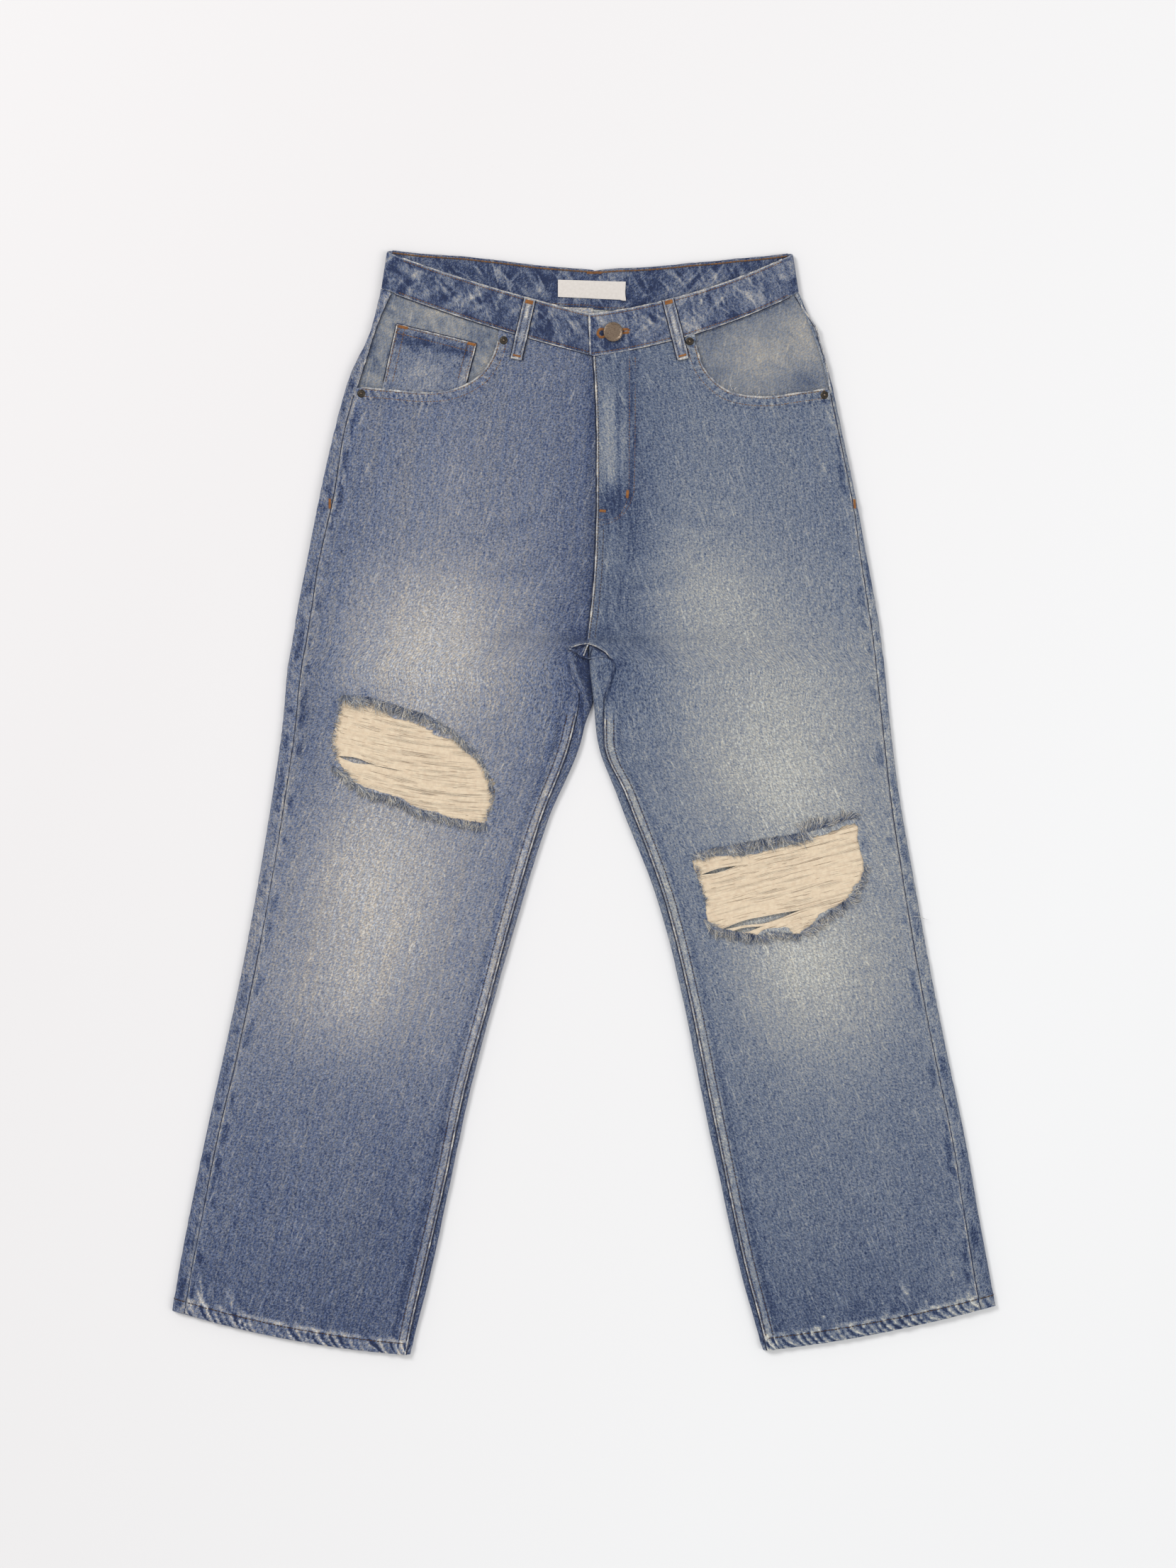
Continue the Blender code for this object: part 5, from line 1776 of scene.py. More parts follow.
@dataclass
class Waistband:
    """The band round the waist, whose left end laps over its right end."""

    right: LegShape
    left: LegShape
    seed: int = 300

    def ring(self) -> tuple[Array, Array, Array]:
        """The band's lower edge from the right front end round the back to the left front end.

        Returns:
            The points, the directions that face out and the place along: 0 to 1 and 3 to 4 are
            the right and left fronts, 1 to 3 the back.
        """
        parts = []
        share = stretches((0.02, 0.06, 1.0), (0.01, 0.0056))
        for shape in (self.right, self.left):
            tube = shape.tube(np.zeros(share.shape), top=BAND_TOP)
            if shape.side < 0:
                tube.lap_drop = np.full(share.shape, BAND_CLOTH + SEAM_GAP)
            width = tube.front_width()
            point = tube.front(np.clip(share * width, SEAM_GAP / 2.0, width - SEAM_GAP / 2.0))
            if shape.side < 0:
                parts.append((point[::-1], upright(share.shape), 1.0 - share[::-1]))
            else:
                end = point[-1:] - (3.0, 0.0, 0.0)
                point = np.concatenate((point, (point[-1:] + end) / 2.0, end))
                along = np.concatenate((3.0 + share * 0.99, (3.995, 4.0)))
                parts.append((point, upright(along.shape), along))
        steps = stretches((0.0, 1.0, 2.0, 3.0), (1.0 / 20.0, 1.0 / 150.0, 1.0 / 22.0))
        share = round_back(steps)
        backs = []
        for shape in (self.right, self.left):
            tube = shape.tube(np.zeros(steps.shape), top=BAND_TOP)
            point, out, _ = tube.back(steps)
            backs.append((point, out))
        parts.insert(1, (*backs[0], 1.0 + share))
        parts.insert(2, (backs[1][0][::-1], backs[1][1][::-1], 3.0 - share[::-1]))
        points, outs, places = (np.concatenate(arrays) for arrays in zip(*parts))
        return points, outs, places

    def sheet(self) -> Sheet:
        """The band's grid, its upper edge first."""
        low, out, along = self.ring()
        places = [rise.along for rise in BAND_RISES]
        rises = np.stack([np.interp(along, places, [rise.across for rise in BAND_RISES]),
                          np.interp(along, places, [rise.up for rise in BAND_RISES])], axis=-1)
        share = spaced(1.0, 0.0, 1.0 / 34.0)[:, None, None]
        rise = np.concatenate((rises, np.zeros((len(along), 1))), axis=1)
        point = low[None] + rise[None] * share
        outs = np.broadcast_to(out[None], point.shape).copy()
        length = np.linalg.norm(rises, axis=1)
        height = np.broadcast_to(share[..., 0], point.shape[:2]) * length
        from_top = length - height
        run = np.broadcast_to(runs_of(low), point.shape[:2])
        place = np.broadcast_to(along, point.shape[:2])
        found, inner = self.look_at(point, place, run, height, from_top)
        drop = 0.75 * (rounded_rim(from_top, 1.5) + rounded_rim(height, 1.2))
        ends = np.minimum(run - run[:, :1], run[:, -1:] - run)
        drop = np.clip(drop + 0.7 * rounded_rim(ends, 1.4), 0.0, 0.9)
        point = point + outs * (found[..., :1] - drop[..., None])
        back = plateau(place, 1.3, 2.7, 0.25)
        thickness = BAND_CLOTH - 1.1 * drop + inner[..., 0] * back
        grain = np.stack((run, height), axis=-1) * MM
        return Sheet(point, outs, found[..., 1], grain, thickness, None, inner[..., 1])

    def look_at(self, point: Array, place: Array, run: Array, height: Array,
                from_top: Array) -> tuple[Array, Array]:
        """The looks of the band's outer and inner faces.

        Args:
            point: the points.
            place: their places along the band.
            run: their distances along its lower edge.
            height: their distances from its lower edge.
            from_top: their distances from its upper edge.

        Returns:
            The outer face's look and the inner face's.
        """
        x, y = point[..., 0], point[..., 1]
        way = np.where(place < 2.0, 1.0, -1.0)
        total = look(0.0, 0.295 + 0.00053 * x) + Rumple(self.seed, 0.25).at(run, height * 2.0)
        total = total + self.wrinkles(run, height, way, self.seed, 0.52)
        total = total + fading(Roping(6.5, 0.55, 0.2, 0.12, self.seed + 3), run, height, 6.0)
        total = total + fading(Roping(8.0, -0.7, 0.22, 0.14, self.seed + 6), run, from_top, 6.0)
        total = total + look(-0.35) * (hump(height, 2.6, 0.8) + hump(from_top, 2.4, 0.8))[..., None]
        total[..., 1] += 0.5 * np.exp(-from_top / 1.5) + 0.3 * np.exp(-height / 1.0)
        # Painted shade in the rows' grooves, beside the white edges.
        total[..., 1] -= 0.22 * (hump(height, 2.6, 0.8) + hump(from_top, 2.6, 0.8))
        for crease in BAND_CREASES:
            total = total + crease.at(x, y) * (1.0, 4.0)
        front = plateau(place, -1.0, 1.02, 0.1) + plateau(place, 2.98, 5.0, 0.1)
        total[..., 0] *= np.clip(front, 0.15, 1.0)
        inner = look(0.0, 0.17) + self.wrinkles(run, height, way, self.seed + 20, 0.44)
        for crease in INNER_BAND_CREASES:
            inner = inner + crease.at(x, y) * (1.0, 4.0)
        inner = inner + look(0.35, 0.12) * hump(from_top, 1.2, 1.3)[..., None]
        return total, inner

    @staticmethod
    def wrinkles(run: Array, height: Array, way: Array, seed: int, tint: float) -> Array:
        """Short slanting wrinkles and blotches, which lean the other way on the left half.

        Args:
            run: distances along the band.
            height: distances across it.
            way: which way the wrinkles lean.
            seed: the noise's seed.
            tint: how strongly they show.

        Returns:
            The look at every point.
        """
        slant = way * height * (0.65 + 0.35 * Noise(seed).line(run / 30.0))
        main = Wisps(5.6, 0.0, 0.75, 0.34, tint, seed + 1).at(run + slant, height)
        cross = Wisps(10.0, 0.0, 0.8, 0.28, 0.8 * tint, seed + 6).at(run - 0.6 * slant, height)
        blotch = Noise(seed + 11).plane((run + slant) / 10.0, height / 13.0)
        return main + cross + look(0.15 * blotch, 0.4 * tint * blotch)


BAND_CREASES = tuple(Crease(*row) for row in (
    (-195.0, 529.0, -163.0, 510.0, 2.0, 0.7, 3.0), (-180.0, 520.0, -168.0, 505.0, 1.0, 0.4, 2.0),
    (-140.0, 514.0, -124.0, 497.0, 1.0, 0.35, 2.0), (-110.0, 508.0, -96.0, 488.0, -1.0, 0.35, 2.0),
    (-50.0, 486.0, -30.0, 470.0, 1.0, 0.3, 2.0), (60.0, 486.0, 76.0, 466.0, 1.0, 0.3, 2.0),
    (120.0, 505.0, 132.0, 482.0, 1.0, 0.35, 2.0), (165.0, 526.0, 172.0, 502.0, 1.0, 0.5, 2.4),
    (182.0, 530.0, 196.0, 508.0, 1.0, 0.6, 2.6), (196.0, 534.0, 205.0, 514.0, 1.0, 0.4, 2.0),
    (-45.5, 488.0, -34.5, 471.0, 1.0, -0.4, 1.3), (-37.5, 493.0, -22.0, 471.0, -1.5, -0.4, 1.2),
    (-22.0, 487.0, -8.0, 465.0, 1.0, -0.5, 1.3), (-12.5, 483.5, 0.0, 461.5, 1.0, -0.4, 1.2),
    (47.5, 493.0, 50.5, 477.0, 1.0, -0.4, 1.2), (60.0, 487.0, 67.5, 465.0, 1.5, -0.5, 1.4),
    (72.5, 493.0, 75.5, 474.0, -1.0, -0.4, 1.2), (104.0, 505.5, 110.0, 474.0, 1.5, -0.5, 1.4),
    (113.5, 508.5, 119.5, 487.0, -1.0, -0.4, 1.3), (128.0, 512.0, 140.0, 486.0, 2.0, -0.5, 1.4),
    (146.0, 516.0, 150.0, 496.0, 1.0, -0.4, 1.3), (-92.0, 505.0, -84.0, 482.0, 1.0, -0.5, 1.4),
    (-116.0, 512.0, -104.0, 490.0, -1.5, -0.5, 1.3),
    (-150.0, 520.0, -134.0, 500.0, 2.0, -0.5, 1.4), (-172.0, 527.0, -150.0, 520.0, 1.0, -0.4, 1.2),
))
INNER_BAND_CREASES = tuple(Crease(*row) for row in (
    (-62.0, 531.0, -34.0, 492.0, 3.0, -1.0, 3.2), (-90.0, 533.0, -78.0, 508.0, 1.0, -0.5, 2.2),
    (-30.0, 528.0, -18.0, 505.0, 1.0, -0.4, 2.0), (40.0, 528.0, 58.0, 500.0, 2.0, -0.7, 2.6),
    (80.0, 530.0, 98.0, 508.0, 2.0, -0.6, 2.4), (120.0, 532.0, 134.0, 515.0, 1.0, -0.5, 2.2),
    (41.0, 520.0, 53.5, 499.0, 1.5, -0.5, 1.3), (58.5, 523.0, 67.5, 501.0, -1.0, -0.5, 1.3),
    (72.5, 520.0, 88.0, 499.5, 2.0, -0.5, 1.3), (85.0, 528.0, 104.0, 505.5, 1.0, -0.6, 1.4),
    (104.0, 523.0, 90.0, 505.5, 1.0, -0.5, 1.2), (-89.5, 531.0, -69.0, 508.5, 1.5, -0.7, 1.5),
    (-62.5, 528.0, -76.0, 513.0, 1.0, -0.6, 1.3), (-110.0, 533.0, -98.0, 517.0, 1.0, -0.5, 1.3),
    (-132.0, 535.0, -122.0, 522.0, -1.0, -0.5, 1.3), (-48.0, 526.0, -40.0, 508.0, 1.0, -0.5, 1.2),
    (112.0, 530.0, 120.0, 512.0, 1.0, -0.5, 1.3), (140.0, 533.0, 152.0, 518.0, 1.0, -0.5, 1.3),
))


# ------------------------------------------------------------------------------ finishes


class Socket(NamedTuple):
    """An input or output of a node group."""

    name: str
    kind: str
    value: float | tuple[float, ...] | None = None


@dataclass(frozen=True)
class Graph:
    """A node tree that is filled in a few words."""

    tree: bpy.types.NodeTree

    def link(self, source: bpy.types.NodeSocket, target: bpy.types.NodeSocket) -> None:
        """Link an output to an input."""
        self.tree.links.new(source, target)

    def node(self, kind: str, inputs: dict[str | int, object] | None = None,
             **settings: object) -> bpy.types.Node:
        """Add a node.

        Args:
            kind: the node's type.
            inputs: a value or an output to link, for each input's name or number.
            **settings: the node's own properties.

        Returns:
            The node.
        """
        node = self.tree.nodes.new(kind)
        for name, value in settings.items():
            setattr(node, name, value)
        for key, value in (inputs or {}).items():
            if isinstance(value, bpy.types.NodeSocket):
                self.link(value, node.inputs[key])
            else:
                node.inputs[key].default_value = value
        return node

    def math(self, operation: str, *values: object) -> bpy.types.NodeSocket:
        """A math node's output."""
        return self.node("ShaderNodeMath", dict(enumerate(values)), operation=operation).outputs[0]

    def noise(self, vector: bpy.types.NodeSocket, scale: Sequence[float], detail: float,
              rough: float = 0.5) -> bpy.types.NodeSocket:
        """Noise from about 0 to 1 in coordinates that are scaled for each direction."""
        mapping = self.node("ShaderNodeMapping", {"Vector": vector, "Scale": tuple(scale)})
        texture = self.node("ShaderNodeTexNoise", {"Vector": mapping.outputs[0], "Scale": 1.0,
                                                   "Detail": detail, "Roughness": rough})
        return texture.outputs[0]

    def centred(self, value: bpy.types.NodeSocket, strength: object) -> bpy.types.NodeSocket:
        """A value from 0 to 1 turned into one from -1 to 1, times a strength."""
        return self.math("MULTIPLY", self.math("MULTIPLY_ADD", value, 2.0, -1.0), strength)

    def turned(self, vector: bpy.types.NodeSocket, angle: float) -> bpy.types.NodeSocket:
        """Coordinates turned about the axis that points up, in radians."""
        return self.node("ShaderNodeMapping", {"Vector": vector, "Rotation": (0.0, 0.0, angle)}
                         ).outputs[0]

    def spread(self, value: bpy.types.NodeSocket, low: float, high: float,
               top: float = 1.0) -> bpy.types.NodeSocket:
        """A value's reach from low to high stretched to 0 to top, and held there."""
        return self.node("ShaderNodeMapRange", {"Value": value, "From Min": low, "From Max": high,
                                                "To Max": top}).outputs[0]

    def mix(self, factor: object, first: object, second: object,
            blend: str = "MIX") -> bpy.types.NodeSocket:
        """Two colours mixed.

        Args:
            factor: the second one's share.
            first: a colour or its output.
            second: a colour or its output.
            blend: how they are mixed.

        Returns:
            The mixed colour's output.
        """
        return self.node("ShaderNodeMix", {"Factor": factor, "A": first, "B": second},
                         data_type="RGBA", blend_type=blend).outputs[2]

    def patches(self, scale: float, low: float, high: float) -> bpy.types.NodeSocket:
        """Uneven patches in the object's own coordinates, from 0 to 1."""
        place = self.node("ShaderNodeTexCoord").outputs["Object"]
        return self.spread(self.noise(place, (scale, scale, scale), 3.0, 0.6), low, high)


def new_material(name: str, values: dict[str, float]) -> tuple[
        bpy.types.Material, Graph, bpy.types.Node]:
    """A material with some of its shader's values set.

    Args:
        name: the material's name.
        values: a value for each of the shader's inputs named.

    Returns:
        The material, its graph and its shader.
    """
    material = bpy.data.materials.new(name)
    material.use_nodes = True
    shader = material.node_tree.nodes["Principled BSDF"]
    for socket, value in values.items():
        shader.inputs[socket].default_value = value
    return material, Graph(material.node_tree), shader


def new_group(name: str, inputs: Sequence[Socket], outputs: Sequence[Socket]) -> tuple[
        Graph, bpy.types.Node, bpy.types.Node]:
    """An empty node group with its sockets.

    Args:
        name: the group's name.
        inputs: its inputs.
        outputs: its outputs.

    Returns:
        The group's graph and its input and output nodes.
    """
    tree = bpy.data.node_groups.new(name, "ShaderNodeTree")
    for way, sockets in (("INPUT", inputs), ("OUTPUT", outputs)):
        for socket in sockets:
            made = tree.interface.new_socket(socket.name, in_out=way, socket_type=socket.kind)
            if socket.value is not None:
                made.default_value = socket.value
    graph = Graph(tree)
    return graph, graph.node("NodeGroupInput"), graph.node("NodeGroupOutput")


class Shade(NamedTuple):
    """A colour of the cloth and the paleness at which it shows, which wear and painted shade both
    set.
    """

    pale_level: float
    red: float
    green: float
    blue: float


SHADES = (
    Shade(-0.15, 0.022, 0.034, 0.084), Shade(0.0, 0.046, 0.068, 0.142),
    Shade(0.25, 0.126, 0.153, 0.228), Shade(0.5, 0.218, 0.241, 0.300),
    Shade(0.8, 0.346, 0.344, 0.363), Shade(1.0, 0.444, 0.428, 0.414),
    Shade(1.4, 0.730, 0.700, 0.650),
)
SHADE_LOW, SHADE_HIGH = SHADES[0].pale_level, SHADES[-1].pale_level

# The weave: how its flecks, hairs and twill lie, the tints of its yarns, its bump and its gloss.
FLECK_TURN, HAIR_TURN, TWILL_TURN = 0.75, 0.24, 1.1
CREAMY_YARN, BLUISH_YARN = (1.20, 1.04, 0.78, 1.0), (0.81, 0.97, 1.24, 1.0)
WEAVE_BUMP = 0.0003
CLOTH_GLOSS = 0.25


def weave_group() -> bpy.types.NodeTree:
    """The look of worn denim: a ramp of colours read by the paleness, which holds wear and painted
    shade.

    The paleness is shaken by speckles, flecks along the twill, slubs along the warp, mottle and
    long streaks, and finer noise tints the yarns bluer or creamier. The height is a diagonal
    twill with the flecks.
    """
    graph, source, sink = new_group(
        "Worn denim weave",
        (Socket("Paleness", "NodeSocketFloat", 0.3), Socket("Grain", "NodeSocketVector"),
         Socket("Tint", "NodeSocketColor", (1.0, 1.0, 1.0, 1.0)),
         Socket("Streaks", "NodeSocketFloat", 0.03), Socket("Speckle", "NodeSocketFloat", 1.0),
         Socket("Hue", "NodeSocketFloat", 0.45)),
        (Socket("Color", "NodeSocketColor"), Socket("Height", "NodeSocketFloat")))
    grain = source.outputs["Grain"]
    turned = graph.turned(grain, FLECK_TURN)
    speckle = graph.centred(graph.noise(grain, (1300.0, 1100.0, 1.0), 2.0, 0.7), 0.56)
    fleck = graph.centred(graph.noise(turned, (1150.0, 430.0, 1.0), 1.0, 0.6), 0.36)
    clump = graph.centred(graph.noise(turned, (540.0, 350.0, 1.0), 1.0, 0.5), 0.36)
    slub = graph.centred(graph.noise(grain, (640.0, 90.0, 1.0), 1.0), 0.22)
    flecks = graph.math("ADD", graph.math("ADD", speckle, fleck), graph.math("ADD", slub, clump))
    depth = graph.math("MULTIPLY_ADD", source.outputs["Paleness"], 0.42, 0.88)
    salt = graph.math("MULTIPLY", graph.math("MULTIPLY", flecks, depth), source.outputs["Speckle"])
    lines = graph.noise(graph.turned(grain, HAIR_TURN), (330.0, 24.0, 1.0), 2.0, 0.5)
    hairs = graph.spread(lines, 0.60, 0.74, 0.30)
    mottle = graph.centred(graph.noise(grain, (130.0, 110.0, 1.0), 2.5, 0.6), 0.16)
    stripe = graph.noise(grain, (175.0, 4.0, 1.0), 1.0)
    streak = graph.centred(stripe, source.outputs["Streaks"])
    shaken = graph.math("ADD", graph.math("ADD", salt, hairs), graph.math("ADD", mottle, streak))
    share = graph.math("ADD", source.outputs["Paleness"], shaken)
    ramp = graph.node("ShaderNodeValToRGB", {"Fac": graph.spread(share, SHADE_LOW, SHADE_HIGH)})
    stops = ramp.color_ramp.elements
    while len(stops) < len(SHADES):
        stops.new(0.5)
    for stop, shade in zip(stops, SHADES):
        stop.position = (shade.pale_level - SHADE_LOW) / (SHADE_HIGH - SHADE_LOW)
    for stop, shade in zip(stops, SHADES):
        stop.color = (shade.red, shade.green, shade.blue, 1.0)
    yarn = graph.spread(graph.noise(turned, (620.0, 450.0, 1.0), 1.5, 0.6), 0.36, 0.64)
    swing = graph.math("MULTIPLY", graph.math("MULTIPLY_ADD", stripe, 2.0, -1.0),
                       graph.math("MULTIPLY", source.outputs["Streaks"], 6.0))
    hue = graph.node("ShaderNodeClamp", {"Value": graph.math("SUBTRACT", yarn, swing)})
    tint = graph.mix(hue.outputs[0], CREAMY_YARN, BLUISH_YARN)
    tinted = graph.mix(source.outputs["Hue"], ramp.outputs["Color"], tint, "MULTIPLY")
    colour = graph.mix(1.0, tinted, source.outputs["Tint"], "MULTIPLY")
    twill = graph.node("ShaderNodeTexWave", {"Vector": graph.turned(grain, TWILL_TURN),
                                             "Scale": 140.0, "Distortion": 0.6, "Detail": 1.0},
                       wave_type="BANDS", bands_direction="X")
    graph.link(colour, sink.inputs["Color"])
    graph.link(graph.math("MULTIPLY_ADD", twill.outputs["Fac"], 0.5, salt), sink.inputs["Height"])
    return graph.tree


@dataclass(frozen=True)
class DenimFinish:
    """Worn denim, whose points carry how pale they are."""

    name: str
    tint: tuple[float, float, float] = (1.0, 1.0, 1.0)
    streaks: float = 0.03
    speckle: float = 1.0
    hue: float = 0.45

    def make(self, weave: bpy.types.NodeTree) -> bpy.types.Material:
        """The finish as a material.

        Args:
            weave: the shared weave.

        Returns:
            The material.
        """
        material, graph, shader = new_material(self.name, {
            "Roughness": 0.92, "Specular IOR Level": CLOTH_GLOSS, "Sheen Weight": 0.06,
            "Sheen Roughness": 0.6})
        pale = graph.node("ShaderNodeAttribute", attribute_name="pale")
        grain = graph.node("ShaderNodeUVMap", uv_map="Grain")
        cloth = graph.node("ShaderNodeGroup", node_tree=weave)
        for name, value in (("Tint", (*self.tint, 1.0)), ("Streaks", self.streaks),
                            ("Speckle", self.speckle), ("Hue", self.hue)):
            cloth.inputs[name].default_value = value
        graph.link(pale.outputs["Fac"], cloth.inputs["Paleness"])
        graph.link(grain.outputs[0], cloth.inputs["Grain"])
        bump = graph.node("ShaderNodeBump", {"Height": cloth.outputs["Height"], "Strength": 1.0,
                                             "Distance": WEAVE_BUMP})
        graph.link(cloth.outputs["Color"], shader.inputs["Base Color"])
        graph.link(bump.outputs[0], shader.inputs["Normal"])
        return material


@dataclass(frozen=True)
class YarnFinish:
    """Thread or tape: a colour with a darker one in patches, and a fine grain."""

    name: str
    colour: tuple[float, float, float]
    second: tuple[float, float, float]
    patch: float = 120.0
    roughness: float = 0.85

    def make(self) -> bpy.types.Material:
        """The finish as a material."""
        material, graph, shader = new_material(self.name, {
            "Roughness": self.roughness, "Specular IOR Level": CLOTH_GLOSS})
        share = graph.patches(self.patch, 0.35, 0.65)
        colour = graph.mix(share, (*self.colour, 1.0), (*self.second, 1.0))
        graph.link(colour, shader.inputs["Base Color"])
        return material


@dataclass(frozen=True)
class MetalFinish:
    """Worn metal: its colour, darker where grime stays, rougher there too."""

    name: str
    colour: tuple[float, float, float]
    grime: tuple[float, float, float]
    metallic: float = 0.8

    def make(self) -> bpy.types.Material:
        """The finish as a material."""
        material, graph, shader = new_material(self.name, {"Metallic": self.metallic})
        share = graph.patches(700.0, 0.4, 0.66)
        graph.link(graph.mix(share, (*self.colour, 1.0), (*self.grime, 1.0)),
                   shader.inputs["Base Color"])
        graph.link(graph.math("MULTIPLY_ADD", share, 0.3, 0.35), shader.inputs["Roughness"])
        return material


@dataclass
class Finishes:
    """Every material of the jeans."""

    right: bpy.types.Material = field(init=False)
    left: bpy.types.Material = field(init=False)
    band: bpy.types.Material = field(init=False)
    bleached: bpy.types.Material = field(init=False)
    weft: bpy.types.Material = field(init=False)
    stitch: bpy.types.Material = field(init=False)
    brown: bpy.types.Material = field(init=False)
    tack: bpy.types.Material = field(init=False)
    tape: bpy.types.Material = field(init=False)
    painted_shade: bpy.types.Material = field(init=False)
    fray: bpy.types.Material = field(init=False)
    parting: bpy.types.Material = field(init=False)
    button: bpy.types.Material = field(init=False)
    rivet: bpy.types.Material = field(init=False)

    def __post_init__(self) -> None:
        """Make the materials."""
        weave = weave_group()
        self.right = DenimFinish("denim_right_leg", (1.0, 1.0, 1.02), 0.075, 1.35, 0.62).make(weave)
        self.left = DenimFinish("denim_left_leg", (0.985, 1.02, 1.01), 0.05, 1.35, 0.28).make(weave)
        self.band = DenimFinish("denim_band", speckle=1.2).make(weave)
        self.bleached = DenimFinish("bleached_denim", (1.03, 1.0, 0.91), speckle=0.7).make(weave)
        self.fray = DenimFinish("frayed_yarn", (1.04, 1.03, 0.99), speckle=0.25).make(weave)
        self.weft = YarnFinish("bare_weft", (0.87, 0.755, 0.59), (0.79, 0.66, 0.505), 260.0).make()
        self.stitch = YarnFinish("topstitch_thread", (0.27, 0.14, 0.065),
                                 (0.15, 0.085, 0.05)).make()
        self.brown = YarnFinish("dark_thread", (0.10, 0.06, 0.035), (0.05, 0.035, 0.028)).make()
        self.tack = YarnFinish("orange_thread", (0.42, 0.19, 0.06),
                               (0.27, 0.12, 0.05), 300.0).make()
        self.tape = YarnFinish("white_tape", (0.76, 0.71, 0.665), (0.70, 0.65, 0.605), 420.0).make()
        # Dark lines of painted shade laid in the seams' grooves and beside raised edges, standing
        # partly for dark unworn denim.
        self.painted_shade = DenimFinish("painted_seam_shade", (0.50, 0.47, 0.50), speckle=0.4).make(weave)
        # The dark strands of painted shade between bare threads.
        self.parting = YarnFinish("shaded_weft", (0.30, 0.20, 0.125), (0.19, 0.125, 0.08)).make()
        self.button = MetalFinish("bronze", (0.27, 0.20, 0.145), (0.15, 0.105, 0.075)).make()
        self.rivet = MetalFinish("dark_bronze", (0.075, 0.062, 0.048), (0.03, 0.026, 0.022)).make()


# ------------------------------------------------------------------------------ stage


class Lamp(NamedTuple):
    """A square soft lamp: where it hangs, its width and its power in watts."""

    name: str
    place: tuple[float, float, float]
    size: float
    power: float


@dataclass
class Stage:
    """The pale floor, the soft light and the camera straight above, in metres."""

    centre: tuple[float, float] = (0.0042, 0.01925)
    height: float = 3.0
    field: float = 1.5484
    sensor: float = 24.0
    middle_plane: float = 0.006
    floor_size: float = 6.0
    floor_drop: float = 0.0004
    # The floor's colour at the upper left and at the lower right, blended: a painted fall of light.
    floor_left: tuple[float, float, float, float] = (0.884, 0.864, 0.865, 1.0)
    floor_right: tuple[float, float, float, float] = (0.938, 0.940, 0.945, 1.0)
    room_light: float = 0.51
    lamps: tuple[Lamp, ...] = (Lamp("key", (-3.6, 3.2, 5.0), 2.2, 216.0),
                               Lamp("fill", (4.4, -1.2, 5.0), 4.0, 118.0))

    def build(self) -> None:
        """Make the floor, the room's light, the lamps and the camera."""
        bpy.context.scene.view_settings.view_transform = "Standard"
        self.floor()
        self.room()
        for lamp in self.lamps:
            self.hang(lamp)
        self.camera()

    def floor(self) -> None:
        """The floor just under the jeans, its colour painted a little brighter towards its lower
        right as painted light.
        """
        mesh = bpy.data.meshes.new("floor")
        size, depth = self.floor_size, -self.floor_drop
        mesh.from_pydata([(-size, -size, depth), (size, -size, depth), (size, size, depth),
                          (-size, size, depth)], [], [(0, 1, 2, 3)])
        material, graph, shader = new_material("pale_floor", {
            "Roughness": 0.95, "Specular IOR Level": 0.1})
        place = graph.node("ShaderNodeTexCoord")
        apart = graph.node("ShaderNodeSeparateXYZ", {"Vector": place.outputs["Object"]})
        across = graph.math("MULTIPLY_ADD", apart.outputs["X"], 0.95, 0.5)
        share = graph.math("MULTIPLY_ADD", apart.outputs["Y"], -0.55, across)
        held = graph.node("ShaderNodeClamp", {"Value": share})
        graph.link(graph.mix(held.outputs[0], self.floor_left, self.floor_right),
                   shader.inputs["Base Color"])
        mesh.materials.append(material)
        floor = bpy.data.objects.new("floor", mesh)
        bpy.context.scene.collection.objects.link(floor)

    def room(self) -> None:
        """Even white light from all round."""
        world = bpy.data.worlds.new("plain_room")
        world.use_nodes = True
        background = world.node_tree.nodes["Background"]
        background.inputs["Color"].default_value = (1.0, 1.0, 1.0, 1.0)
        background.inputs["Strength"].default_value = self.room_light
        bpy.context.scene.world = world

    def camera(self) -> None:
        """The camera, looking straight down on the cloth's middle plane."""
        data = bpy.data.cameras.new("camera")
        data.sensor_fit = "VERTICAL"
        data.sensor_height = self.sensor
        data.lens = self.sensor * self.height / self.field
        camera = bpy.data.objects.new("camera", data)
        camera.location = (*self.centre, self.height + self.middle_plane)
        bpy.context.scene.collection.objects.link(camera)
        bpy.context.scene.camera = camera

    def hang(self, lamp: Lamp) -> None:
        """Hang a lamp so that it points at the jeans' middle.

        Args:
            lamp: the lamp.
        """
        data = bpy.data.lights.new(lamp.name, "AREA")
        data.size = lamp.size
        data.energy = lamp.power
        light = bpy.data.objects.new(lamp.name, data)
        light.location = lamp.place
        middle = np.array((*self.centre, 0.0)) - np.array(lamp.place)
        flat = float(np.hypot(middle[0], middle[1]))
        light.rotation_euler = (float(np.arctan2(flat, -middle[2])), 0.0,
                                float(np.arctan2(middle[1], middle[0])) - np.pi / 2.0)
        bpy.context.scene.collection.objects.link(light)


# ------------------------------------------------------------------------------ thread work


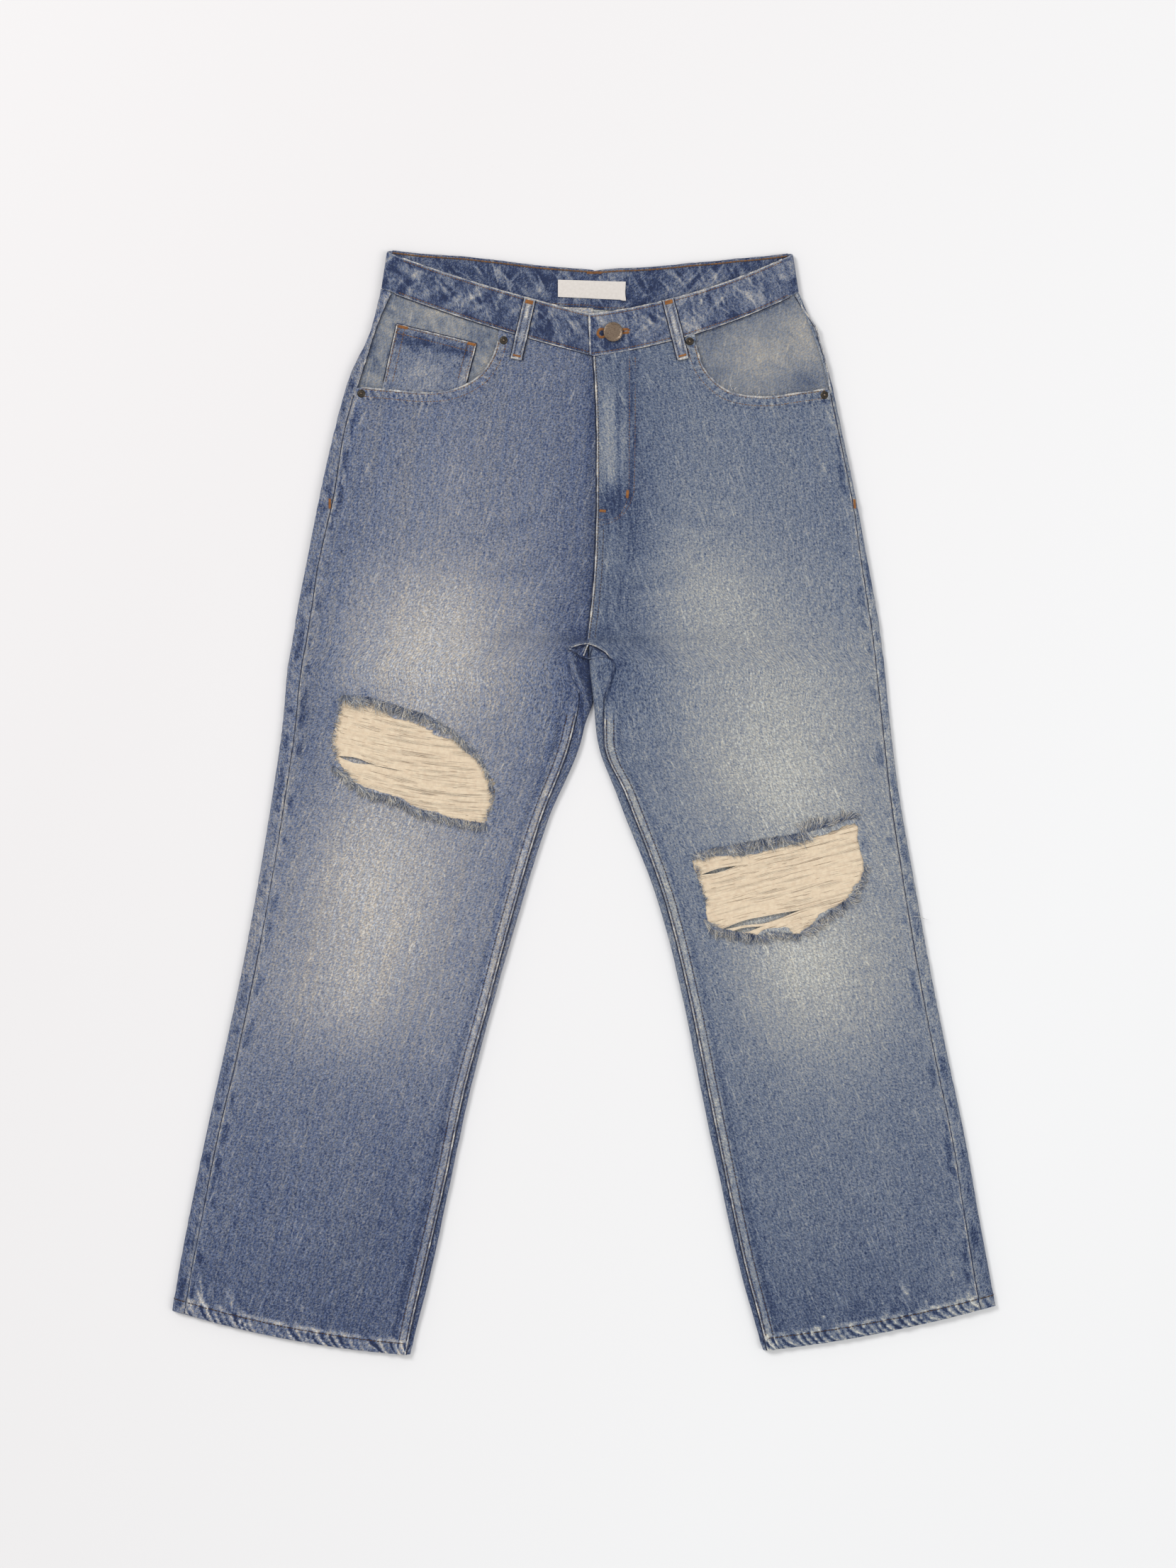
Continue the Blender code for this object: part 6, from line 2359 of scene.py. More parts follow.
@dataclass
class Bundle:
    """Many small tubes gathered into one mesh."""

    name: str
    material: bpy.types.Material
    slot: Slot
    points: list[Array] = field(default_factory=list)
    quads: list[NDArray] = field(default_factory=list)
    ends: list[NDArray] = field(default_factory=list)
    pale: list[Array] = field(default_factory=list)
    count: int = 0

    def add(self, paths: Array, radius: ArrayLike, sides: int = 4, pale: ArrayLike = 0.5,
            flat: float = 1.0) -> None:
        """Lay tubes along paths.

        Args:
            paths: (tubes, points, 3), in millimetres.
            radius: a radius for every point of a path, or for every point of all of them.
            sides: how many sides a tube has.
            pale: how pale every point is, from wear and from painted shade.
            flat: the tubes' height over their width.
        """
        points, quads = tubes(paths, radius, sides, flat)
        number, length = paths.shape[:2]
        self.points.append(points)
        self.quads.append(quads + self.count)
        self.ends.append(tube_ends(number, length, sides) + self.count)
        worn = np.broadcast_to(np.asarray(pale, float), (number, length))
        self.pale.append(np.repeat(worn.reshape(-1), sides))
        self.count += len(points)

    def build(self) -> bpy.types.Object:
        """The mesh, published on the part's body."""
        points = np.concatenate(self.points)
        by_corners: dict[int, list[NDArray]] = {}
        for ends in self.ends:
            by_corners.setdefault(ends.shape[1], []).append(ends)
        faces = [np.concatenate(self.quads)]
        faces.extend(np.concatenate(group) for group in by_corners.values())
        piece = make_object(self.name, points, faces, self.material, np.concatenate(self.pale),
                            points[:, :2] * MM, 1.2)
        return publish(piece, self.slot)


@dataclass(frozen=True)
class Stitching:
    """A row of stitches: short plump threads whose ends sink into the cloth."""

    length: float = 2.7
    gap: float = 0.7
    radius: float = 0.3
    up: float = 1.0

    def paths(self, line: Array) -> Array:
        """Each stitch's path along a line that lies on the cloth.

        Args:
            line: the line's points.

        Returns:
            (stitches, 4, 3) points.
        """
        run = runs_of(line)
        step = self.length + self.gap
        starts = self.gap + np.arange(max(1, int((run[-1] - self.gap) / step))) * step
        at = starts[:, None] + self.length * np.array((0.0, 0.2, 0.8, 1.0))
        points = np.stack([np.interp(at, run, line[:, axis]) for axis in range(3)], axis=-1)
        points[..., 2] += self.up * np.array((-0.3, 0.14, 0.14, -0.3))
        return points

    def sew(self, bundle: Bundle, line: Array) -> None:
        """Add the row to a bundle."""
        bundle.add(self.paths(line), self.radius * np.array((0.5, 1.0, 1.0, 0.5)))


@dataclass(frozen=True)
class WornEdgeAndShadeLine:
    """A thin uneven roll along a line: a folded edge rubbed white, or with no paleness a dark line
    of painted shade.
    """

    radius: float = 0.8
    pale: float = 1.15
    flat: float = 0.7
    seed: int = 1
    uneven: float = 0.35

    def lay(self, bundle: Bundle, line: Array, spacing: float = 2.0) -> None:
        """Lay the roll, thicker and thinner by noise.

        Args:
            bundle: where it is gathered.
            line: the edge's points.
            spacing: the distance between its rings.
        """
        line = resampled(line, spacing)
        run = runs_of(line)
        noise = Noise(self.seed).line(run / 5.5) + 0.5 * Noise(self.seed + 1).line(run / 2.3)
        radius = self.radius * np.clip(1.0 + self.uneven * noise, 0.2, 2.0)
        worn = self.pale + 0.35 * noise - 0.15
        bundle.add(line[None], radius[None], 6, worn[None], self.flat)


def set_in(line: Array, distance: float) -> Array:
    """A closed plan line moved inwards, or outwards if the distance is below 0."""
    turn = np.sum(line[:-1, 0] * line[1:, 1] - line[1:, 0] * line[:-1, 1])
    return offset_line(line, distance if turn > 0.0 else -distance)


def beside(line: Array, distance: float, rise: float = 0.0) -> Array:
    """A line in space moved to its left in plan and up."""
    moved = line.copy()
    moved[:, :2] = offset_line(line[:, :2], distance)
    moved[:, 2] += rise
    return moved


@dataclass(frozen=True)
class Tack:
    """A bartack: a close zigzag of thread over a short line."""

    x: float
    y: float
    to_x: float
    to_y: float
    width: float = 2.0

    def sew(self, bundle: Bundle, height: float) -> None:
        """Lay the zigzag: across and back every half millimetre.

        Args:
            bundle: where it is gathered.
            height: how high it lies.
        """
        start, end = np.array((self.x, self.y)), np.array((self.to_x, self.to_y))
        length = float(np.linalg.norm(end - start))
        count = max(4, int(length / 0.55))
        along = (end - start) / length
        side = np.array((-along[1], along[0])) * self.width / 2.0
        share = np.linspace(0.0, 1.0, count)[:, None]
        middle = start + (end - start) * share
        path = np.zeros((count, 3, 3))
        path[:, 0, :2] = middle - side
        path[:, 1, :2] = middle + along * 0.15
        path[:, 2, :2] = middle + side + along * 0.3
        path[..., 2] = height + np.array((0.0, 0.3, 0.0))
        bundle.add(path, 0.34, 4)


# ------------------------------------------------------------------------------ ripped holes


class Lens(NamedTuple):
    """A place where the bare threads part: its middle, half length, half height and turn."""

    x: float
    y: float
    reach: float
    open: float
    turn: float


class Fray(NamedTuple):
    """Frayed yarns along a stretch of a hole's edge: the line they start from and their lie."""

    points: tuple[tuple[float, float], ...]
    lean: float
    turn_in: float
    length: float
    density: float


@dataclass
class RippedHole:
    """The bare weft across a hole and the frayed yarns round it.

    The threads reach a hidden length under the cloth round the hole. A layer of them is the
    distance between threads, their radius and how far they lie under the cloth's face. Frayed
    yarns lean and turn with their tuft, and each strays from it by chance.
    """

    name: str
    node: str
    panel: FrontPanel
    slopes: tuple[tuple[float, float], ...]
    lenses: Sequence[Lens]
    frays: Sequence[Fray]
    seed: int
    shaded: bpy.types.Material
    hidden: float = 5.2
    margin: float = 6.0
    places: int = 170
    gaps: int = 130
    gap_radius: tuple[float, float] = (0.07, 0.16)
    gap_taper: tuple[float, ...] = (0.2, 0.8, 1.0, 1.0, 1.0, 0.8, 0.2)
    crowding: float = 1.55
    tuft_lean: float = 20.0
    tuft_turn: float = 48.0
    stray: float = 0.6
    stray_lean: float = 8.0
    stray_turn: float = 27.0
    lift: tuple[float, float] = (0.1, 1.9)
    yarn_radius: tuple[float, ...] = (0.25, 0.36, 0.33, 0.11)
    layers: tuple[tuple[float, float, float], ...] = ((0.60, 0.34, 1.75), (0.62, 0.36, 1.15))

    def weft(self, material: bpy.types.Material) -> bpy.types.Object:
        """The bare threads, in a lower close layer and an upper uneven one.

        Each thread follows the same bent course, shifted by its number times the pitch. Noise
        that neighbours share bunches them, and a lens pushes them off its middle line.

        Args:
            material: the threads' finish.

        Returns:
            The published mesh.
        """
        bundle = Bundle(self.name, material, Slot.WEFT)
        line = self.panel.rip_line
        low, high = line.min(axis=0) - self.margin, line.max(axis=0) + self.margin
        x = np.linspace(low[0], high[0], self.places)
        bends = np.array(self.slopes)
        slope = np.interp(x, bends[:, 0], np.tan(np.radians(bends[:, 1])))
        course = np.concatenate(([0.0], np.cumsum((slope[1:] + slope[:-1]) / 2.0 * np.diff(x))))
        grown = set_in(line, -self.hidden)
        for layer, (pitch, radius, sink) in enumerate(self.layers):
            first = low[1] - course.max()
            number = int((high[1] - course.min() - first) / pitch)
            offset = first + np.arange(number)[:, None] * pitch
            y = offset + course
            bunch = Noise(self.seed + layer).plane(x[None] / 30.0, offset / 2.9)
            drift = Noise(self.seed + 4 + layer).plane(x[None] / 13.0, offset / 0.9)
            y = y + (0.55 + 0.5 * layer) * bunch + 0.22 * drift
            y = self.parted(x, y)
            inside_hole = inside(grown, np.broadcast_to(x, y.shape), y)
            paths = self.trimmed(x, y, inside_hole, sink, layer)
            thick = radius * (1.0 + 0.25 * Noise(self.seed + 8).plane(
                np.arange(len(paths))[:, None] * 3.7, np.arange(paths.shape[1])[None] / 3.0))
            bundle.add(paths, thick, 3 + layer)
        self.partings(paths)
        return bundle.build()

    def partings(self, paths: Array) -> None:
        """Painted shade of short gaps between bare threads: dark strands, each along a stretch of a
        thread.

        Args:
            paths: the upper threads.
        """
        random = np.random.default_rng(self.seed + 30)
        count = self.gaps
        thread = random.integers(3, len(paths) - 3, count)
        reach = 0.03 + 0.20 * random.uniform(0.0, 1.0, count) ** 2
        start = random.uniform(0.04, 0.96 - reach)
        share = np.linspace(0.0, 1.0, len(self.gap_taper))
        at = (start[:, None] + reach[:, None] * share) * (paths.shape[1] - 1)
        low = np.floor(at).astype(int)
        part = (at - low)[..., None]
        line = paths[thread[:, None], low] * (1.0 - part) + paths[thread[:, None], low + 1] * part
        line[..., 1:] += 0.3
        thick = random.uniform(*self.gap_radius, count)[:, None] * np.array(self.gap_taper)
        gaps = Bundle(self.name + "_partings", self.shaded, Slot.WEFT)
        gaps.add(line, thick, 3)
        gaps.build()

    def parted(self, x: Array, y: Array) -> Array:
        """The threads' courses with every lens opened.

        Args:
            x: the places along.
            y: the threads' heights in plan, one row a thread.

        Returns:
            The new heights.
        """
        for lens in self.lenses:
            middle = lens.y + np.tan(np.radians(lens.turn)) * (x - lens.x)
            opening = lens.open * np.clip(1.0 - ((x - lens.x) / lens.reach) ** 2, 0.0, 1.0)
            away = y - middle
            centre = int(np.argmin(np.abs(x - lens.x)))
            side = np.where(away[:, centre:centre + 1] < 0.0, -1.0, 1.0)
            push = opening * np.exp(-np.clip(away * side, 0.0, None) / (2.5 * lens.open)) * side
            y = y + push
        return y

    def trimmed(self, x: Array, y: Array, keep: NDArray[np.bool_], sink: float,
                layer: int) -> Array:
        """The stretch of each thread between its first and last point inside the hole.

        Args:
            x: the places along.
            y: the threads' heights in plan.
            keep: which points are inside.
            sink: how far the threads lie under the cloth's face.
            layer: the layer's number.

        Returns:
            (threads, points, 3) paths.
        """
        rows = np.nonzero(keep.sum(axis=1) > 3)[0]
        first = keep[rows].argmax(axis=1)
        last = keep.shape[1] - 1 - keep[rows, ::-1].argmax(axis=1)
        share = np.linspace(0.0, 1.0, 22 if layer else 15)[None]
        at = first[:, None] + (last - first)[:, None] * share
        low = np.floor(at).astype(int)
        high = np.minimum(low + 1, keep.shape[1] - 1)
        part = at - low
        across = x[low] + (x[high] - x[low]) * part
        up = y[rows[:, None], low] * (1.0 - part) + y[rows[:, None], high] * part
        station, run, _ = self.panel.shape.locate(across, up)
        height = self.panel.shape.tube(station).front(run)[..., 2]
        loose = Noise(self.seed + 12 + layer).plane(across / 12.0, rows[:, None] / 2.0)
        ends = np.minimum(share, 1.0 - share) / 0.06
        rise = 0.28 * loose * np.clip(ends, 0.0, 1.0)
        return np.stack((across, up, height - sink + rise), axis=-1)

    def fringe(self, material: bpy.types.Material) -> bpy.types.Object:
        """The frayed yarns: curved tapering fibres that start dark and end pale.

        Args:
            material: the fibres' finish.

        Returns:
            The published mesh.
        """
        bundle = Bundle(self.name + "_fray", material, Slot.DENIM)
        random = np.random.default_rng(self.seed)
        for fray in self.frays:
            line = resampled(np.array(fray.points), 0.5)
            run = runs_of(line)
            count = int(run[-1] * fray.density * self.crowding)
            start = random.uniform(0.0, run[-1], count)
            tuft = Noise(self.seed + 20).line(start / 4.5)
            base = np.stack([np.interp(start, run, line[:, k]) for k in range(2)], axis=1)
            base += random.normal(0.0, self.stray, base.shape)
            lean = fray.lean + self.tuft_lean * tuft + random.normal(0.0, self.stray_lean, count)
            turn = fray.turn_in + self.tuft_turn * tuft + random.normal(0.0, self.stray_turn, count)
            long = 0.85 + 0.25 * tuft + random.normal(0.0, 0.2, count)
            reach = 1.05 * fray.length * np.clip(long, 0.3, 1.5)
            share = np.linspace(0.0, 1.0, len(self.yarn_radius))[None, :]
            angle = np.radians(lean)[:, None] + np.radians(turn)[:, None] * share
            step = reach[:, None] / (len(self.yarn_radius) - 1.0)
            x = base[:, :1] + np.cumsum(np.cos(angle) * step, axis=1) - np.cos(angle[:, :1]) * step
            y = base[:, 1:] + np.cumsum(np.sin(angle) * step, axis=1) - np.sin(angle[:, :1]) * step
            station, at, _ = self.panel.shape.locate(x, y)
            height = self.panel.shape.tube(station).front(at)[..., 2]
            lift = random.uniform(*self.lift, count)[:, None]
            z = height + 0.25 + lift * np.sin(np.pi * np.clip(share * 0.8 + 0.05, 0.0, 1.0))
            shade = 0.9 * random.uniform(0.0, 1.0, count)
            shade = shade + 0.34 * Noise(self.seed + 21).line(start / 1.3)
            worn = -0.04 + shade[:, None] + 0.50 * share
            bundle.add(np.stack((x, y, z), axis=-1), np.array(self.yarn_radius), 3, worn)
        return bundle.build()


# ------------------------------------------------------------------------------ small pieces


@dataclass(frozen=True)
class Lathe:
    """A turned metal piece: a profile spun round an upright axis."""

    name: str
    node: str
    x: float
    y: float
    under: float
    profile: tuple[tuple[float, float], ...]
    sides: int = 48

    def build(self, material: bpy.types.Material, slot: Slot) -> bpy.types.Object:
        """Spin the profile, which runs from the top's middle to the foot's middle.

        Args:
            material: its finish.
            slot: its material slot, which is not used.

        Returns:
            The published piece.
        """
        profile = np.array(self.profile)
        angle = np.arange(self.sides) * 2.0 * np.pi / self.sides
        rings = profile[1:-1]
        radius = rings[:, :1]
        points = np.stack((self.x + radius * np.cos(angle), self.y + radius * np.sin(angle),
                           np.broadcast_to(self.under + rings[:, 1:], (len(rings), self.sides))),
                          axis=-1).reshape(-1, 3)
        top = (self.x, self.y, self.under + profile[0, 1])
        foot = (self.x, self.y, self.under + profile[-1, 1])
        points = np.concatenate((points, (top, foot)))
        index = np.arange(len(rings) * self.sides).reshape(len(rings), self.sides)
        here, there = index[:-1], index[1:]
        quads = np.stack((here, there, np.roll(there, -1, axis=1), np.roll(here, -1, axis=1)),
                         axis=-1).reshape(-1, 4)
        first, last = index[0], index[-1]
        caps = np.concatenate((
            np.stack((np.full(self.sides, len(points) - 2), first, np.roll(first, -1)), axis=1),
            np.stack((np.full(self.sides, len(points) - 1), np.roll(last, -1), last), axis=1)))
        piece = make_object(self.name, points, (quads, caps), material, sharp=0.7)
        return publish(piece, slot, self.node)


@dataclass(frozen=True)
class FlatPiece:
    """A small flat cloth piece: a grid in its own sizes, turned and set in place."""

    name: str
    node: str
    x: float
    y: float
    turn: float
    under: float
    width: float
    length: float
    thickness: float

    def grid(self, spacing: float) -> tuple[Array, Array]:
        """Its own coordinates, across and along from its middle, its far end first."""
        u = spaced(-self.width / 2.0, self.width / 2.0, spacing)
        v = spaced(self.length / 2.0, -self.length / 2.0, spacing)
        return np.broadcast_arrays(u[None, :], v[:, None])

    def placed(self, u: Array, v: Array, z: Array) -> Array:
        """Own coordinates turned and moved to the piece's place."""
        x, y = turned_by(self.turn, u, v)
        return np.stack((self.x + x, self.y + y, self.under + z), axis=-1)


@dataclass(frozen=True)
class BeltLoop(FlatPiece):
    """A belt loop: a strip with doubled, rubbed edges and sewn-down ends."""

    seed: int = 1
    down: bool = False
    row: float = 2.4
    bulge: float = 0.9

    def sheet(self) -> Sheet:
        """The loop's grid: raised doubled edges, a groove beside each and rounded rims."""
        u, v = self.grid(0.75)
        edge = self.width / 2.0 - np.abs(u)
        end = self.length / 2.0 - np.abs(v)
        doubled = 1.0 - smooth_step((edge - 1.7) / 0.7)
        found = look(0.0, 0.25) + look(0.35, 0.10) * doubled[..., None]
        found = found + look(-0.3, -0.24) * hump(edge, 2.5, 0.6)[..., None]
        mottle = Noise(self.seed).plane(u / 4.0 + 7.0, v / 7.0 + 9.0)
        low = 1.0 - 0.8 * hump(v, -self.length / 2.0 + 9.0, 6.0)
        found[..., 1] += 0.35 * np.exp(-edge / 0.8)
        found[..., 1] += (0.50 + 0.40 * mottle) * hump(u, 0.0, 2.6) * low
        found = found + look(0.3, 0.35) * np.exp(-end / 1.6)[..., None]
        found = found + look(0.12, 0.08) * mottle[..., None]
        drop = np.clip(0.6 * (rounded_rim(edge, 1.0) + rounded_rim(end, 1.2)), 0.0, 0.75)
        height = drop if self.down else self.thickness + found[..., 0] - drop + self.bow(v)
        return Sheet(self.placed(u, v, height), upright(u.shape, -1.0 if self.down else 1.0),
                     found[..., 1], np.stack((u, v), axis=-1) * MM, self.thickness - drop, None,
                     0.35)

    def bow(self, v: Array) -> Array:
        """How far the strip stands off the band between its sewn-down ends."""
        return self.bulge * (1.0 - (2.0 * v / self.length) ** 2) ** 2

    def along(self, across: float, rise: float, short: float = 3.0) -> Array:
        """A line along the strip.

        Args:
            across: how far it lies from the strip's middle.
            rise: how far it lies over the strip's face.
            short: how far from the strip's ends it stops.

        Returns:
            The line's points.
        """
        v = spaced(self.length / 2.0 - short, -self.length / 2.0 + short, 1.5)
        height = np.full(v.shape, -rise) if self.down else self.thickness + self.bow(v) + rise
        return self.placed(np.full(v.shape, across), v, height)

    def dress(self, rows: Bundle, edges: Bundle, painted_shade: Bundle, stitch: Stitching) -> None:
        """Its two rows of stitches, its white edges and the dark lines of painted shadow beside it.

        Args:
            rows: where the stitches are gathered.
            edges: where the white edges are gathered.
            painted_shade: where the dark lines are gathered.
            stitch: the kind of stitches.
        """
        half = self.width / 2.0
        for side in (-1.0, 1.0):
            stitch.sew(rows, self.along(side * (half - self.row), -0.1))
            if not self.down:
                rim = self.along(side * (half - 0.4), 0.1, 1.0)
                WornEdgeAndShadeLine(0.42, 1.0, 0.7, self.seed + 2).lay(edges, rim)
                # A dark line of painted shadow beside each side, on the band.
                foot = self.along(side * (half + 0.45), -self.thickness + 0.15, 0.5)
                foot[:, 2] = self.under + 0.2
                WornEdgeAndShadeLine(0.62, 0.0, 0.8, self.seed + 4, 0.2).lay(painted_shade, foot)
        if not self.down:
            u = spaced(-half + 0.6, half - 0.6, 1.2)
            end = self.placed(u, np.full(u.shape, -self.length / 2.0 + 0.7),
                              np.full(u.shape, self.thickness - 0.1))
            WornEdgeAndShadeLine(0.75, 1.15, 0.7, self.seed + 6, 0.6).lay(edges, end, 1.0)

    def tacks(self, bundle: Bundle) -> None:
        """The bartacks at its ends."""
        if self.down:
            return
        for v, width in ((self.length / 2.0 - 3.2, 3.6), (-self.length / 2.0 + 3.4, 1.6)):
            ends = self.placed(np.array((-3.6, 3.6)), np.array((v, v)), np.zeros(2))
            Tack(*ends[0, :2], *ends[1, :2], width).sew(bundle, self.under + self.thickness + 0.35)


@dataclass(frozen=True)
class Label:
    """The bare white label inside the back of the waistband."""

    corners: tuple[tuple[float, float], ...]
    under: float = 3.8
    thickness: float = 1.0
    width: float = 67.0
    height: float = 18.0

    def sheet(self) -> Sheet:
        """A grid between the corners, a little wavy, with a turned edge at its right end."""
        (ax, ay), (bx, by), (cx, cy), (dx, dy) = self.corners
        u, v = np.meshgrid(spaced(0.0, 1.0, 1.0 / 68.0), spaced(0.0, 1.0, 1.0 / 20.0))
        x = (ax * (1.0 - u) + bx * u) * (1.0 - v) + (dx * (1.0 - u) + cx * u) * v
        y = (ay * (1.0 - u) + by * u) * (1.0 - v) + (dy * (1.0 - u) + cy * u) * v
        turned = smooth_step((u - 0.93) / 0.02)
        x = x + 1.1 * turned * hump(v, 1.0, 0.25)
        y = y - 0.9 * turned * smooth_step((v - 0.3) / 0.7)
        z = 0.35 * Noise(91).plane(u * 5.0, v * 2.0) + 0.45 * turned
        edge = np.minimum(np.minimum(u, 1.0 - u) * self.width, np.minimum(v, 1.0 - v) * self.height)
        z = z - 0.25 * rounded_rim(edge, 0.8)
        point = np.stack((x, y, self.under + self.thickness + z), axis=-1)
        return Sheet(point, upright(u.shape), np.full(u.shape, 0.5), np.stack((x, y), axis=-1) * MM,
                     np.full(u.shape, self.thickness - 0.2))


@dataclass(frozen=True)
class Buttonhole:
    """A keyhole in the left lap, edged with close orange thread, its eye a dark patch of painted
    shade.
    """

    eye: tuple[float, float] = (17.9, 464.1)
    tip: tuple[float, float] = (44.0, 466.4)
    round: float = 2.9
    slit: float = 1.1
    width: float = 2.3

    def outline(self) -> Array:
        """The hole's edge: round the eye, then along both sides to the tip."""
        start, end = np.array(self.eye), np.array(self.tip)
        along = (end - start) / np.linalg.norm(end - start)
        side = np.array((-along[1], along[0]))
        angle = np.linspace(0.45, 2.0 * np.pi - 0.45, 30)[:, None]
        ring = start + self.round * (np.cos(angle) * along + np.sin(angle) * side)
        upper = end - along * 1.0 + side * self.slit * 0.4
        lower = end - along * 1.0 - side * self.slit * 0.4
        return resampled(np.vstack((upper, ring, lower, end, upper)), 0.5)

    def sew(self, threads: Bundle, painted_shade: Bundle, height: float) -> None:
        """Lay the threads across the edge and the dark patch of painted shade in the eye.

        Args:
            threads: where the threads are gathered.
            painted_shade: where the painted shade is gathered.
            height: how high the lap's face lies.
        """
        line = self.outline()
        away = offset_line(line, 1.0) - line
        middle = np.array(self.eye)
        out = np.sign(((line - middle) * away).sum(axis=1)[8]) * away
        jitter = 0.25 * Noise(97).line(np.arange(len(line)) * 0.9)[:, None]
        share = np.linspace(0.0, 1.0, 4)
        reach = share[None, :, None] * (self.width + jitter[:, None])
        path = line[:, None] + out[:, None] * reach
        rise = height + np.array((-0.3, 0.35, 0.35, -0.25))
        rise = np.broadcast_to(rise, path.shape[:2])[..., None]
        threads.add(np.concatenate((path, rise), axis=-1), 0.36, 4)
        # The eye: a dark patch of painted shade.
        x = np.linspace(middle[0] - 1.9, middle[0] + 2.4, 5)
        dark = np.stack((x, middle[1] + 0.09 * (x - middle[0]), np.full(5, height + 0.05)), axis=-1)
        painted_shade.add(dark[None], np.array((0.9, 1.9, 2.2, 1.8, 0.7)), 8, 0.0, 0.12)


@dataclass(frozen=True)
class LooseThread:
    """A loose end of thread that curls over the cloth."""

    x: float
    y: float
    to_x: float
    to_y: float
    curl: float
    height: float

    def lay(self, bundle: Bundle) -> None:
        """Lay it: a straight way with a sideways wave that grows to its end."""
        t = np.linspace(0.0, 1.0, 12)
        dx, dy = self.to_x - self.x, self.to_y - self.y
        wave = self.curl * np.sin(5.2 * t) * t
        length = float(np.hypot(dx, dy))
        path = np.stack((self.x + dx * t - dy / length * wave, self.y + dy * t + dx / length * wave,
                         self.height + 1.0 * np.sin(np.pi * np.clip(t, 0.0, 0.9))), axis=-1)
        bundle.add(path[None], 0.30 * np.clip(2.4 - 2.4 * t, 0.25, 1.0)[None], 4, 1.15)


@dataclass(frozen=True)
class PatchPocket:
    """A sewn-on pocket: a plate of cloth in an outline, its edges turned in and stitched."""

    name: str
    node: str
    x: float
    y: float
    turn: float
    outline: tuple[tuple[float, float], ...]
    outer: float
    down: bool
    seed: int
    pale: float = 0.35

    def sheet(self) -> Sheet:
        """A grid squeezed into the outline: straight rows between its left and right side."""
        shape = np.array(self.outline)
        left, right = self.sides(shape)
        share = spaced(0.0, 1.0, 1.0 / (34.0 if self.down else 56.0))[None, :, None]
        corner = left[:, None] + (right - left)[:, None] * share
        u, v = corner[..., 0], corner[..., 1]
        closed = np.concatenate((shape, shape[:1]))
        away, _, run = nearest_on(resampled(closed, 1.0), u, v, EDGE_REACH)
        top = np.broadcast_to(runs_of(left)[:, None], u.shape)
        found = look(0.0, self.pale) + Rumple(self.seed, 0.2).at(u, v)
        found = found + look(0.35) * (1.0 - smooth_step((away - 8.5) / 1.5))[..., None]
        for row in POCKET_ROWS:
            found = found + look(-0.35, -0.04) * hump(away, row, 0.7)[..., None]
        found = found + fading(Roping(6.0, 0.3, 0.15, 0.10, self.seed + 3), run, away, 7.0)
        found[..., 1] += 0.35 * np.exp(-away / 1.2)
        found = found + self.extra(u, v, top)
        drop = np.clip(0.7 * rounded_rim(away, 1.1), 0.0, 0.7)
        height = self.outer + (drop if self.down else found[..., 0] - drop)
        return Sheet(self.placed(u, v, height), upright(u.shape, -1.0 if self.down else 1.0),
                     found[..., 1], np.stack((u, v), axis=-1) * MM, CLOTH - drop, None, 0.4)

    def placed(self, u: Array, v: Array, height: Array) -> Array:
        """Own coordinates turned and moved to the pocket's place."""
        x, y = turned_by(self.turn, u, v)
        return np.stack((self.x + x, self.y + y, height), axis=-1)

    def extra(self, u: Array, v: Array, top: Array) -> Array:
        """What only one pocket has: its own patches of wear, none here."""
        return look(np.zeros_like(u))

    def sides(self, shape: Array) -> tuple[Array, Array]:
        """The outline's left and right side, with as many points from the top down.

        Args:
            shape: the outline, whose first two points are its upper corners.

        Returns:
            The two sides. They end a little apart if the outline ends in a tip.
        """
        lowest = np.nonzero(shape[:, 1] == shape[:, 1].min())[0]
        right = shape[1:lowest[0] + 1]
        left = np.concatenate((shape[:1], shape[:lowest[-1] - 1:-1]))
        count = int(runs_of(left)[-1] / (2.6 if self.down else 1.6))
        at = np.linspace(0.0, 0.99, count)
        lines = []
        for side in (left, right):
            run = runs_of(side)
            lines.append(np.stack([np.interp(at * run[-1], run, side[:, k]) for k in range(2)],
                                  axis=1))
        return lines[0], lines[1]

    def rows(self, distances: Sequence[float]) -> list[Array]:
        """Lines of stitches inside the outline.

        Args:
            distances: how far each lies from the outline.

        Returns:
            The lines' points.
        """
        shape = np.array(self.outline)
        closed = resampled(np.concatenate((shape, shape[:1])), 1.5)
        lines = [set_in(closed, distance) for distance in distances]
        return [self.placed(*line.T, np.full(len(line), self.outer)) for line in lines]


# ------------------------------------------------------------------------------ the jeans


